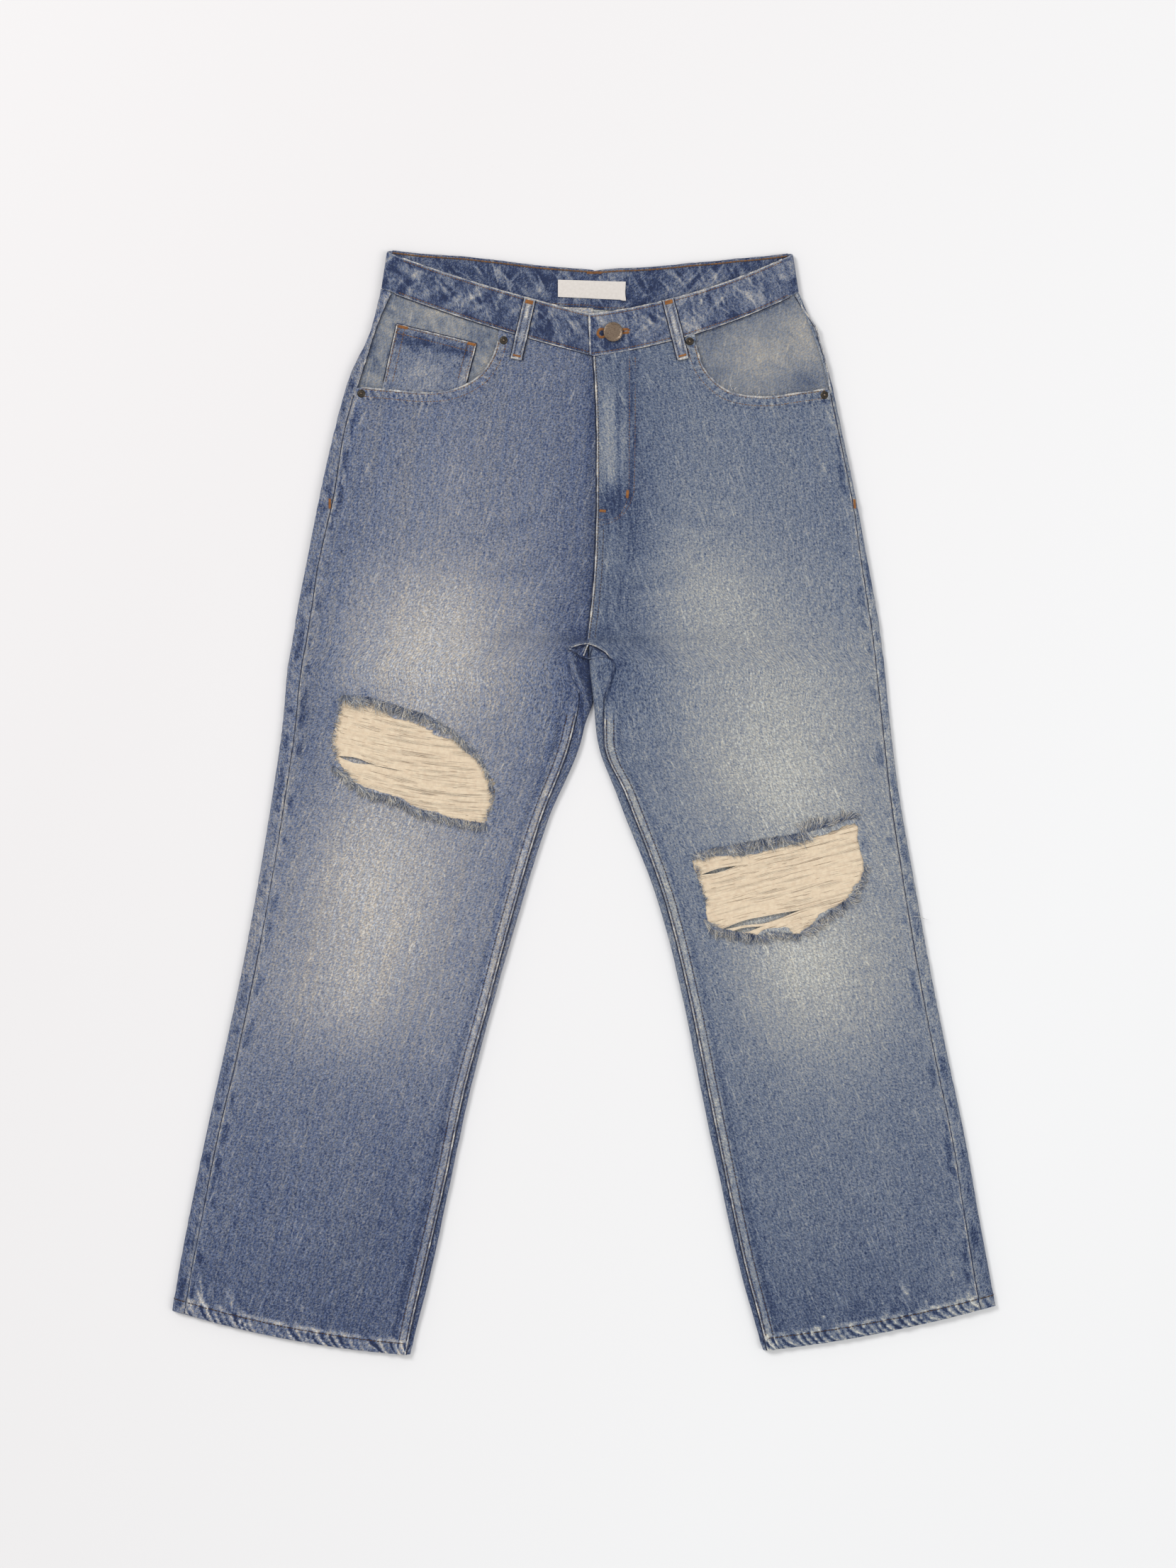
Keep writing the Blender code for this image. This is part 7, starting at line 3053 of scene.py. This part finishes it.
RIGHT_CREASES: tuple[Crease, ...] = (
    Crease(-10.0, 300.0, -120.0, 262.0, 6.0, 0.7, 7.0),
    Crease(-20.0, 240.0, -130.0, 225.0, 6.0, 0.6, 8.0),
    Crease(-15.0, 195.0, -110.0, 130.0, -6.0, 0.8, 8.0),
)
LEFT_CREASES: tuple[Crease, ...] = (
    Crease(60.0, 300.0, 170.0, 268.0, -6.0, 0.6, 7.0),
    Crease(25.0, 215.0, 130.0, 235.0, -6.0, 0.6, 8.0),
    Crease(25.0, 180.0, 110.0, 110.0, 6.0, 0.8, 8.0),
)
FACING_FADES_AND_SHADES = {
    "right": (FadeAndShade("over the small pocket", -150.0, 485.0, 34.0, 10.0, -14.0, 0.22),
              FadeAndShade("outer edge", -212.0, 455.0, 9.0, 34.0, -14.0, -0.16),
              FadeAndShade("inner corner", -96.0, 456.0, 14.0, 12.0, 0.0, -0.14),
              FadeAndShade("inner side", -98.0, 432.0, 8.0, 18.0, -30.0, 0.14)),
    "left": (FadeAndShade("middle", 176.0, 444.0, 36.0, 24.0, 14.0, 0.27),
             FadeAndShade("outer", 219.0, 462.0, 15.0, 30.0, 10.0, 0.26),
             FadeAndShade("inner corner", 122.0, 466.0, 14.0, 16.0, 0.0, -0.22),
             # Painted shadow on the facing along the band's edge and the scoop's edge.
             FadeAndShade("under the band", 165.0, 486.0, 52.0, 7.0, 15.0, -0.22),
             FadeAndShade("lower inner", 136.0, 426.0, 14.0, 9.0, 20.0, -0.12),
             FadeAndShade("lower outer", 220.0, 416.0, 14.0, 12.0, 0.0, -0.24)),
}
HIP_SWELL = ((400.0, 0.0), (433.0, 3.8), (455.0, 4.5), (470.0, 6.3), (484.0, 2.3), (500.0, 0.0))
COIN_POCKET = ((-184.5, 473.5), (-106.0, 454.0), (-117.0, 412.0), (-121.0, 391.0),
               (-204.0, 391.0), (-198.5, 412.0))
BACK_POCKET = ((-70.0, 62.0), (70.0, 62.0), (66.0, -62.0), (0.0, -85.0), (-66.0, -62.0))
LOOP_WIDTH, LOOP_LENGTH = 11.0, 61.0
LOOPS = (("front_right", -60.0, 468.0, -13.0), ("front_left", 90.5, 468.0, 14.4),
         ("back_right", -112.0, 504.0, 4.0), ("back_centre", 6.0, 493.5, 0.0),
         ("back_left", 124.0, 501.0, -4.0))
RIVETS = (("rivet_fly_right", -79.0, 457.0), ("rivet_side_right", -219.5, 404.5),
          ("rivet_fly_left", 104.5, 456.0), ("rivet_side_left", 237.5, 403.0))
BUTTON_AT = (29.0, 465.0)
LABEL_CORNERS = ((-25.5, 517.5), (41.5, 515.5), (40.5, 497.5), (-25.5, 500.5))
BUTTON_PROFILE = (
    (0.0, 2.75), (3.0, 2.7), (6.6, 2.55), (7.5, 2.6), (8.2, 2.95), (8.8, 3.0), (9.3, 2.75),
    (9.6, 2.25), (9.4, 1.6), (8.4, 1.2), (5.2, 1.0), (4.4, 0.5), (4.4, -0.6), (0.0, -0.6),
)
BURR_PROFILE = ((0.0, 1.95), (0.45, 1.9), (0.85, 1.65), (0.95, 1.2), (0.0, 1.2))
RIVET_PROFILE = (
    (0.0, 1.75), (0.7, 1.72), (1.1, 1.5), (1.35, 1.05), (1.8, 0.95), (2.6, 1.15), (3.4, 0.9),
    (4.0, 0.35), (4.1, -0.5), (0.0, -0.5),
)
RIGHT_FRAYS = (
    Fray(((-238.0, 107.0), (-212.5, 104.5), (-184.5, 96.5), (-156.5, 87.5)),
         -104.0, 20.0, 11.0, 3.8),
    Fray(((-156.5, 87.5), (-128.5, 72.0), (-116.5, 60.0)), -108.0, 20.0, 8.5, 3.8),
    Fray(((-116.5, 60.0), (-100.5, 43.0), (-93.5, 28.0), (-89.0, 12.0)), -116.0, 20.0, 6.0, 3.4),
    Fray(((-247.5, 37.5), (-226.5, 20.0), (-212.5, 11.5), (-184.5, 5.5), (-170.5, -4.0),
          (-156.5, -8.0), (-128.5, -15.0), (-97.0, -20.0)), -70.0, -14.0, 9.5, 3.2),
    Fray(((-241.0, 98.0), (-249.0, 61.0), (-245.0, 44.0)), -15.0, 8.0, 4.0, 0.9),
    Fray(((-88.0, 14.0), (-91.0, -4.0), (-97.0, -16.0)), 184.0, 10.0, 4.0, 0.9),
)
LEFT_FRAYS = (
    Fray(((106.0, -51.0), (123.5, -45.5), (141.0, -42.4)), -84.0, 14.0, 8.0, 3.6),
    Fray(((139.0, -42.8), (151.5, -40.5), (179.5, -35.0), (207.5, -31.0), (220.0, -27.0)),
         -84.0, 14.0, 11.5, 3.6),
    Fray(((216.0, -29.0), (240.0, -22.0), (268.0, -13.5)), 72.0, -18.0, 9.5, 3.4),
    Fray(((118.0, -114.0), (126.0, -121.0), (144.5, -126.0), (178.0, -131.0)),
         -80.0, 8.0, 10.0, 3.4),
    Fray(((179.0, -127.0), (215.0, -129.5)), -84.0, -8.0, 7.0, 3.2),
    Fray(((214.0, -127.5), (239.0, -110.5), (264.0, -91.0)), -56.0, 10.0, 10.0, 3.4),
    Fray(((264.0, -91.0), (274.0, -75.0), (278.0, -60.0)), -35.0, 14.0, 7.0, 2.6),
    Fray(((109.0, -57.0), (113.0, -76.0), (120.0, -98.0)), 10.0, 8.0, 4.0, 0.9),
)
FRONT_TACKS = (
    (43.5, 309.0, 42.8, 302.0, 2.6), (15.8, 289.0, 21.3, 288.5, 2.4),
    (-250.6, 300.7, -250.6, 291.5, 2.2), (267.0, 300.0, 267.6, 291.5, 2.2),
)
COIN_TACKS = ((-182.5, 471.2, -174.2, 469.3), (-114.6, 454.6, -107.0, 452.8))
LOOSE_THREADS = (
    *(LooseThread(*row, HIP_TOP + 0.6) for row in (
        (146.7, 408.0, 143.5, 414.5, 1.6), (148.5, 407.5, 151.0, 411.5, 1.0),
        (167.7, 403.5, 164.0, 408.5, 1.5), (171.0, 403.0, 174.5, 408.5, -1.4),
        (188.0, 402.5, 186.0, 407.5, 1.6))),
    LooseThread(324.0, -111.0, 341.0, -114.0, 1.2, 5.6),
)
RIGHT_LENSES = (
    Lens(-226.5, 42.5, 16.0, 2.9, -13.0), Lens(-194.0, 35.0, 18.0, 0.5, -10.0),
)
LEFT_LENSES = (
    Lens(134.0, -66.0, 17.0, 2.2, 12.0), Lens(174.0, -116.0, 42.0, 3.6, 11.0),
    Lens(160.0, -125.0, 15.0, 2.6, 6.0),
)


@dataclass(frozen=True)
class CoinPocket(PatchPocket):
    """The small pocket on the right facing, with its dark upper band and pale belly."""

    def extra(self, u: Array, v: Array, top: Array) -> Array:
        """A dark band under the upper hem, a pale belly and two upright creases."""
        dark = hump(top, 14.0, 7.5) * (0.9 + 0.5 * Noise(71).plane(u / 9.0, v / 6.0))
        belly = np.exp(-((u + 160.0) / 24.0) ** 2 - ((v - 424.0) / 17.0) ** 2)
        side = hump(u - 0.27 * (v - 412.0), -121.5, 3.0) - hump(u - 0.27 * (v - 412.0), -126.0, 1.2)
        mottle = Noise(74).plane(u / 4.0, v / 3.0) + Noise(76).plane(u / 9.0, v / 7.0)
        return look(0.3 * belly + 0.2 * side,
                    0.24 * belly - 0.34 * dark + 0.14 * side + 0.11 * mottle - 0.09)


@dataclass
class Jeans:
    """The whole garment: its legs' forms, its pieces and the threads that dress them."""

    finishes: Finishes
    right: LegShape = field(init=False)
    left: LegShape = field(init=False)
    front_right: FrontPanel = field(init=False)
    front_left: FrontPanel = field(init=False)
    coin: CoinPocket = field(init=False)
    back_pockets: tuple[PatchPocket, ...] = field(init=False)
    band: Waistband = field(init=False)
    band_sheet: Sheet = field(init=False)
    loops: tuple[BeltLoop, ...] = field(init=False)
    rows: Bundle = field(init=False)
    dark_rows: Bundle = field(init=False)
    tacks: Bundle = field(init=False)
    edges: Bundle = field(init=False)
    painted_shade: Bundle = field(init=False)

    def __post_init__(self) -> None:
        """Set the legs' forms, the pieces and the empty bundles of thread out."""
        self.right = LegShape(-1, RIGHT_LEG, RIGHT_FADES_AND_SHADES)
        self.left = LegShape(1, LEFT_LEG, LEFT_FADES_AND_SHADES)
        self.front_right = FrontPanel("front_right", self.right, Outline(RIGHT_SCOOP),
                                      Outline(RIGHT_RIP, closed=True, ragged=0.8, seed=5),
                                      RIGHT_CREASES, 100)
        self.front_left = FrontPanel("front_left", self.left, Outline(LEFT_SCOOP),
                                     Outline(LEFT_RIP, closed=True, ragged=0.8, seed=7),
                                     LEFT_CREASES, 200)
        self.coin = CoinPocket("coin_pocket_cloth", "coin_pocket", 0.0, 0.0, 0.0, COIN_POCKET,
                               FACING_TOP + SEAM_GAP + CLOTH, False, 70, 0.40)
        self.back_pockets = tuple(
            PatchPocket("back_pocket_" + side + "_cloth", "back_pocket_" + side, x, y, turn,
                        BACK_POCKET, 0.0, True, seed)
            for side, x, y, turn, seed in (("right", -118.0, 340.0, -4.0, 80),
                                           ("left", 136.0, 338.0, 4.0, 90)))
        self.band = Waistband(self.right, self.left)
        self.band_sheet = self.band.sheet()
        self.loops = tuple(
            BeltLoop("belt_loop_" + place + "_cloth", "belt_loop_" + place, x, y, turn,
                     0.0 if "back" in place else BAND_TOP + SEAM_GAP, LOOP_WIDTH, LOOP_LENGTH,
                     CLOTH, 31 + number, "back" in place)
            for number, (place, x, y, turn) in enumerate(LOOPS))
        finish = self.finishes
        self.rows = Bundle("topstitching", finish.stitch, Slot.TOPSTITCH)
        self.dark_rows = Bundle("dark_stitching", finish.brown, Slot.TOPSTITCH)
        self.tacks = Bundle("bartacks", finish.tack, Slot.BARTACK)
        self.edges = Bundle("worn_edges_and_lit_rim", finish.band, Slot.DENIM)
        # Every dark line of painted shade, gathered in one mesh.
        self.painted_shade = Bundle("painted_shade_lines", finish.painted_shade, Slot.DENIM)

    def build(self) -> None:
        """Build and publish every piece."""
        self.build_legs()
        self.build_hips()
        self.build_holes()
        self.build_small()
        self.sew()

    def build_legs(self) -> None:
        """The fronts, the backs and the yokes."""
        finish = self.finishes
        for panel, material in ((self.front_right, finish.right), (self.front_left, finish.left)):
            make_cloth(panel.name + "_cloth", panel.sheet(), panel.shape.side > 0, material,
                       Slot.DENIM, panel.name, panel.name.replace("front", "back") + "_cloth")
        for shape, side, material in ((self.right, "right", finish.right),
                                      (self.left, "left", finish.left)):
            for panel in (BackPanel("back_" + side, shape, 400 + shape.side),
                          Yoke("yoke_" + side, shape, 500 + shape.side)):
                make_cloth(panel.name + "_cloth", panel.sheet(), shape.side < 0, material,
                           Slot.DENIM, panel.name)

    def build_hips(self) -> None:
        """The facings, the coin pocket, the back pockets and the waistband."""
        finish = self.finishes
        for shape, side, base, uneven in ((self.right, "right", 0.44, 0.20),
                                          (self.left, "left", 0.42, 0.06)):
            facing = Facing("pocket_facing_" + side, shape, 600 + shape.side, FACING_FADES_AND_SHADES[side],
                            base, uneven)
            make_cloth(facing.name + "_cloth", facing.sheet(), shape.side > 0, finish.bleached,
                       Slot.BLEACHED if side == "left" else Slot.DENIM, facing.name,
                       "back_" + side + "_cloth")
        for pocket in (self.coin, *self.back_pockets):
            make_cloth(pocket.name, pocket.sheet(), pocket.down, finish.band, Slot.DENIM,
                       pocket.node)
        make_cloth("waistband_cloth", self.band_sheet, True, finish.band, Slot.DENIM, "waistband")

    def build_holes(self) -> None:
        """The bare threads and frayed edges of the ripped holes."""
        finish = self.finishes
        holes = (
            RippedHole("rip_threads_right_weft", "rip_threads_right", self.front_right,
                       ((-249.0, -14.0), (-200.0, -13.0), (-140.0, -6.0), (-88.0, -1.0)),
                       RIGHT_LENSES, RIGHT_FRAYS, 710, finish.parting),
            RippedHole("rip_threads_left_weft", "rip_threads_left", self.front_left,
                       ((109.0, 12.5), (190.0, 14.0), (277.0, 15.0)), LEFT_LENSES, LEFT_FRAYS, 740,
                       finish.parting))
        for hole in holes:
            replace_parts(hole.weft(finish.weft), hole.node)
            hole.fringe(finish.fray)

    def build_small(self) -> None:
        """The loops, the label, the button and the rivets."""
        finish = self.finishes
        for loop in self.loops:
            make_cloth(loop.name, loop.sheet(), loop.down, finish.band, Slot.DENIM, loop.node)
        make_cloth("label_tape", Label(LABEL_CORNERS).sheet(), False, finish.tape, Slot.TAPE,
                   "label")
        Lathe("button_bronze", "button", *BUTTON_AT, BAND_TOP + SEAM_GAP, BUTTON_PROFILE).build(
            finish.button, Slot.BUTTON)
        on_hip = HIP_TOP + SEAM_GAP
        for name, x, y in RIVETS:
            Lathe(name + "_cap", name, x, y, on_hip + 0.45, RIVET_PROFILE, 28).build(
                finish.rivet, Slot.RIVET)
            Lathe(name + "_burr", name, x, y, on_hip + 0.6, BURR_PROFILE, 16).build(
                finish.button, Slot.RIVET)

    def sew(self) -> None:
        """Every row of stitches, the bartacks and the edges rubbed white."""
        for panel in (self.front_right, self.front_left):
            self.sew_inseam(panel)
            self.sew_outseam(panel)
            self.sew_hem(panel)
            self.sew_hip(panel)
            self.sew_scoop(panel)
        self.sew_fly()
        self.sew_crotch()
        self.sew_band()
        self.sew_coin()
        self.sew_under()
        for thread in LOOSE_THREADS:
            thread.lay(self.edges)
        for bundle in (self.rows, self.dark_rows, self.tacks, self.edges, self.painted_shade):
            bundle.build()

    def sew_inseam(self, panel: FrontPanel) -> None:
        """The inseam's rows of stitches, its white edge, its dark line of painted shade and the
        crotch's rim.

        Args:
            panel: the leg's front.
        """
        shape, side = panel.shape, panel.shape.side
        stations = spaced(float(shape.station(INSEAM_START)) + 6.0, panel.end - 12.0, 2.0)
        width = shape.tube(stations).front_width()
        for row in INSEAM_ROWS:
            Stitching(2.6, 0.6, 0.42).sew(self.dark_rows, panel.surface(stations, width - row))
        rim = panel.surface(stations, width - 1.0)
        WornEdgeAndShadeLine(0.5, 1.0, 0.7, panel.seed + 1, 0.5).lay(self.edges, rim)
        low = spaced(float(shape.station(CURL_FOOT)), panel.end - 0.5, 2.0)
        seam = beside(panel.surface(low, shape.tube(low).front_width() - 0.15), -side * 0.35, 0.05)
        # A dark line of painted shade in the seam's gap.
        WornEdgeAndShadeLine(0.5, 0.0, 0.8, panel.seed + 5, 0.2).lay(self.painted_shade, seam)
        curl = spaced(float(shape.station(CURL_START)), float(shape.station(CURL_FOOT)), 2.0)
        rim = panel.surface(curl, shape.tube(curl).front_width() - 0.1)
        # The crotch's rim, rubbed, and paler on the right leg as a painted highlight on its lit
        # strip.
        WornEdgeAndShadeLine(0.7, 0.30 if side < 0 else 0.12, 0.7, panel.seed + 9).lay(self.edges, rim)

    def sew_outseam(self, panel: FrontPanel) -> None:
        """The outseam's white edge and the dark line of painted shade beside it, from the scoop to
        the foot.
        """
        side = panel.shape.side
        stations = spaced(float(panel.shape.station(SCOOP_FOOT)), panel.end - 1.0, 2.0)
        seam = panel.surface(stations, np.full(stations.shape, 0.15))
        WornEdgeAndShadeLine(0.38, 0.78, 0.7, panel.seed + 2, 0.5).lay(self.edges, beside(seam, -side * 1.0))
        # A dark line of painted shade beside the outseam's white edge.
        dark = beside(seam, side * 0.2, 0.1)
        WornEdgeAndShadeLine(0.42, 0.0, 0.8, panel.seed + 6, 0.3).lay(self.painted_shade, dark)

    def sew_hem(self, panel: FrontPanel) -> None:
        """The hem's row of stitches, on the front and on the strip of back beside it.

        Args:
            panel: the leg's front.
        """
        stitch = Stitching(3.2, 0.35, 0.5)
        width = panel.shape.tube(np.array((panel.end - 12.0,))).front_width()
        across = spaced(1.0, float(width[0]) - 1.0, 2.0)
        row = np.full(across.shape, panel.end - HEM_ROW)
        stitch.sew(self.dark_rows, panel.surface(row, across))
        steps = spaced(0.04, 1.0, 0.12)
        point, out, _ = panel.shape.tube(np.full(steps.shape, panel.end - HEM_ROW)).back(steps)
        stitch.sew(self.dark_rows, point + 0.7 * out)

    def sew_hip(self, panel: FrontPanel) -> None:
        """The edge of the hip beside the scoop, which swells on the left, and the dark line of
        painted shade beside it.

        Args:
            panel: the leg's front.
        """
        side = panel.shape.side
        stations = spaced(1.5, float(panel.shape.station(SCOOP_FOOT)), 2.0)
        hip = panel.shape.tube(stations).front(np.full(stations.shape, 0.1))
        swell = between(HIP_SWELL, hip[:, 1]) * (side > 0)
        hip[:, 0] += swell
        hip[:, 2] = HIP_TOP - 0.25 - 0.1 * swell
        WornEdgeAndShadeLine(0.62, 1.0, 0.7, panel.seed + 7).lay(self.edges, hip)
        # A dark line of painted shade beside the hip's edge.
        dark = beside(hip, -side * 1.0, -0.3)
        WornEdgeAndShadeLine(0.34, 0.0, 0.8, panel.seed + 8, 0.3).lay(self.painted_shade, dark)

    def sew_scoop(self, panel: FrontPanel) -> None:
        """A pocket's opening: its rows of stitches and its frayed cream edge."""
        way = 1.0 if panel.shape.side < 0 else -1.0
        for row in SCOOP_ROWS:
            line = panel.over(offset_line(panel.scoop_line, way * row))
            Stitching(2.6, 0.45, 0.40).sew(self.rows, line)
        edge = panel.over(offset_line(panel.scoop_line, way * 0.5), -0.15)
        WornEdgeAndShadeLine(0.75, 1.0, 0.65, panel.seed + 3, 0.3).lay(self.edges, edge, 1.2)

    def sew_fly(self) -> None:
        """The fly's rows of stitches, its edge, the painted shadow beside its edge, its bartacks
        and the buttonhole.
        """
        panel = self.front_left
        stitch = Stitching(2.5, 0.5, 0.34)
        for line in FLY_ROWS:
            stitch.sew(self.rows, panel.over(line.line(1.5)))
        stations = spaced(1.0, float(panel.shape.station(FLY_FOOT)), 2.0)
        width = panel.shape.tube(stations).front_width()
        inner, outer = (panel.surface(stations, width - row) for row in FLY_EDGE_ROWS)
        stitch.sew(self.dark_rows, inner[inner[:, 1] < FLY_ROW_TOP])
        stitch.sew(self.dark_rows, outer)
        edge = panel.surface(stations, width - 0.6)
        WornEdgeAndShadeLine(0.72, 1.1, 0.75, 61).lay(self.edges, edge)
        # A dark line of painted shadow beside the fly's folded edge.
        WornEdgeAndShadeLine(0.6, 0.0, 0.7, 66, 0.2).lay(self.painted_shade, beside(edge, -1.35, -1.0))
        Tack(3.2, 524.6, 17.2, 524.6, 2.2).sew(self.tacks, 4.0)
        for x, y, to_x, to_y, width in FRONT_TACKS:
            Tack(x, y, to_x, to_y, width).sew(self.tacks, HIP_TOP + 0.75)
        Buttonhole().sew(self.tacks, self.painted_shade, BAND_TOP + 0.25)

    def sew_crotch(self) -> None:
        """The worn rims of the folds under the crotch, the painted shadows under them, and a pale
        seam with a line of painted shade beside it.
        """
        arc = resampled(np.array(CROTCH_ARC), 1.5)
        arc = np.column_stack((arc, 7.0 + 0.6 * hump(arc[:, 0], 4.0, 9.0)))
        fold = resampled(np.array(CROTCH_FOLD), 1.5)
        fold = np.column_stack((fold, np.full(len(fold), 6.5)))
        # Each rim is rubbed pale and has a dark line of painted shadow under it.
        for line, worn, dark, sink in (
                (arc, WornEdgeAndShadeLine(0.5, 0.85, 0.8, 62, 0.6), WornEdgeAndShadeLine(0.48, 0.0, 0.8, 76, 0.3), 0.4),
                (fold, WornEdgeAndShadeLine(0.6, 0.36, 0.8, 77, 0.6), WornEdgeAndShadeLine(0.5, 0.0, 0.8, 78, 0.3), 0.3)):
            worn.lay(self.edges, line)
            dark.lay(self.painted_shade, beside(line, -1.2, -sink))
        # A pale seam over the saddle and a dark line of painted shade beside it.
        for radius, pale, (x, y), (to_x, to_y), bundle in (
                (0.5, 0.9, (3.9, 156.6), (-0.2, 146.0), self.edges),
                (0.35, 0.0, (9.3, 156.0), (5.2, 144.6), self.painted_shade)):
            middle = ((x + to_x) / 2.0, (y + to_y) / 2.0, 6.7)
            line = np.array(((x, y, 7.3), middle, (to_x, to_y, 6.8)))
            WornEdgeAndShadeLine(radius, pale, 0.8, 79, 0.4).lay(bundle, line, 1.0)

    def sew_coin(self) -> None:
        """The coin pocket's rows of stitches, its edges, the painted shadow outside its edge and
        its bartacks.
        """
        stitch = Stitching(2.5, 0.5, 0.36)
        for row in COIN_ROWS:
            stitch.sew(self.rows, self.coin_line(row, 0.2))
        WornEdgeAndShadeLine(0.5, 1.05, 0.7, 73).lay(self.edges, self.coin_line(0.4, 0.2))
        # A dark line of painted shadow just outside the pocket's edge.
        WornEdgeAndShadeLine(0.55, 0.0, 0.8, 75, 0.2).lay(self.painted_shade, self.coin_line(-0.6, -1.0))
        for tack in COIN_TACKS:
            Tack(*tack, 2.6).sew(self.tacks, self.coin.outer + 0.5)

    def coin_line(self, row: float, rise: float) -> Array:
        """A line inside the coin pocket's outline, where the front does not cover it."""
        line = self.coin.rows((row,))[0]
        kept = line[line[:, 1] > COIN_FOOT_SHOWN]
        kept[:, 2] += rise
        start = int(np.argmax(np.linalg.norm(np.diff(kept[:, :2], axis=0), axis=1)))
        return np.roll(kept, -(start + 1), axis=0)

    def sew_under(self) -> None:
        """The back pockets' rows and every belt loop's dressing."""
        under = Stitching(up=-1.0)
        for pocket in self.back_pockets:
            for line in pocket.rows(BACK_POCKET_ROWS):
                line[:, 2] += 0.05
                under.sew(self.rows, line)
        thin = Stitching(2.2, 0.5, 0.22)
        for loop in self.loops:
            loop.dress(self.dark_rows, self.edges, self.painted_shade, under if loop.down else thin)
            loop.tacks(self.tacks)

    def sew_band(self) -> None:
        """The band's rows of stitches, its rubbed edges and the dark lines of painted shadow under
        it.
        """
        sheet = self.band_sheet
        face = sheet.points + sheet.outs * 0.05
        back = face - sheet.outs * (sheet.thickness[..., None] + 0.1)
        _, _, along = self.band.ring()
        right = np.nonzero(along < 0.985)[0]
        left = np.nonzero(along > 3.02)[0]
        inner = np.nonzero((along > 1.35) & (along < 2.65))[0]
        stitch = Stitching(2.6, 0.45, 0.38)
        for columns in (right, left):
            for row in (2, -3):
                stitch.sew(self.rows, face[row, columns])
            WornEdgeAndShadeLine(0.62, 1.1, 0.8, 63).lay(self.edges, face[0, columns])
            WornEdgeAndShadeLine(0.55, 1.1, 0.8, 65).lay(self.edges, face[-1, columns])
            # A dark line of painted shadow under the band's lower edge.
            foot = beside(face[-1, columns], 0.9)
            foot[:, 2] = HIP_TOP + 0.15
            WornEdgeAndShadeLine(0.4, 0.0, 0.8, 68, 0.2).lay(self.painted_shade, foot)
        Stitching(3.4, 0.25, 0.8).sew(self.rows, back[2, inner] + (0.0, 0.3, 0.25))
        Stitching(2.6, 0.5, 0.34).sew(self.rows, back[-3, inner])
        WornEdgeAndShadeLine(0.6, 0.35, 0.8, 67).lay(self.edges, back[0, inner])
        WornEdgeAndShadeLine(0.95, 1.15, 0.8, 69).lay(self.edges, face[1:-1, -1])
        # A dark line of painted shadow beside the band's lapped end.
        WornEdgeAndShadeLine(0.6, 0.0, 0.8, 70, 0.2).lay(self.painted_shade, face[1:-1, -1] - (1.4, 0.0, 1.6))


def main() -> None:
    """Build the jeans on their frame and set them on the stage."""
    logging.basicConfig(level=logging.INFO, format="%(message)s")
    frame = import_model()
    LOG.info("%d solids in the frame", len(frame["nodes"]))
    Jeans(Finishes()).build()
    Stage().build()
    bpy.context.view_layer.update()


if __name__ == "__main__":
    main()
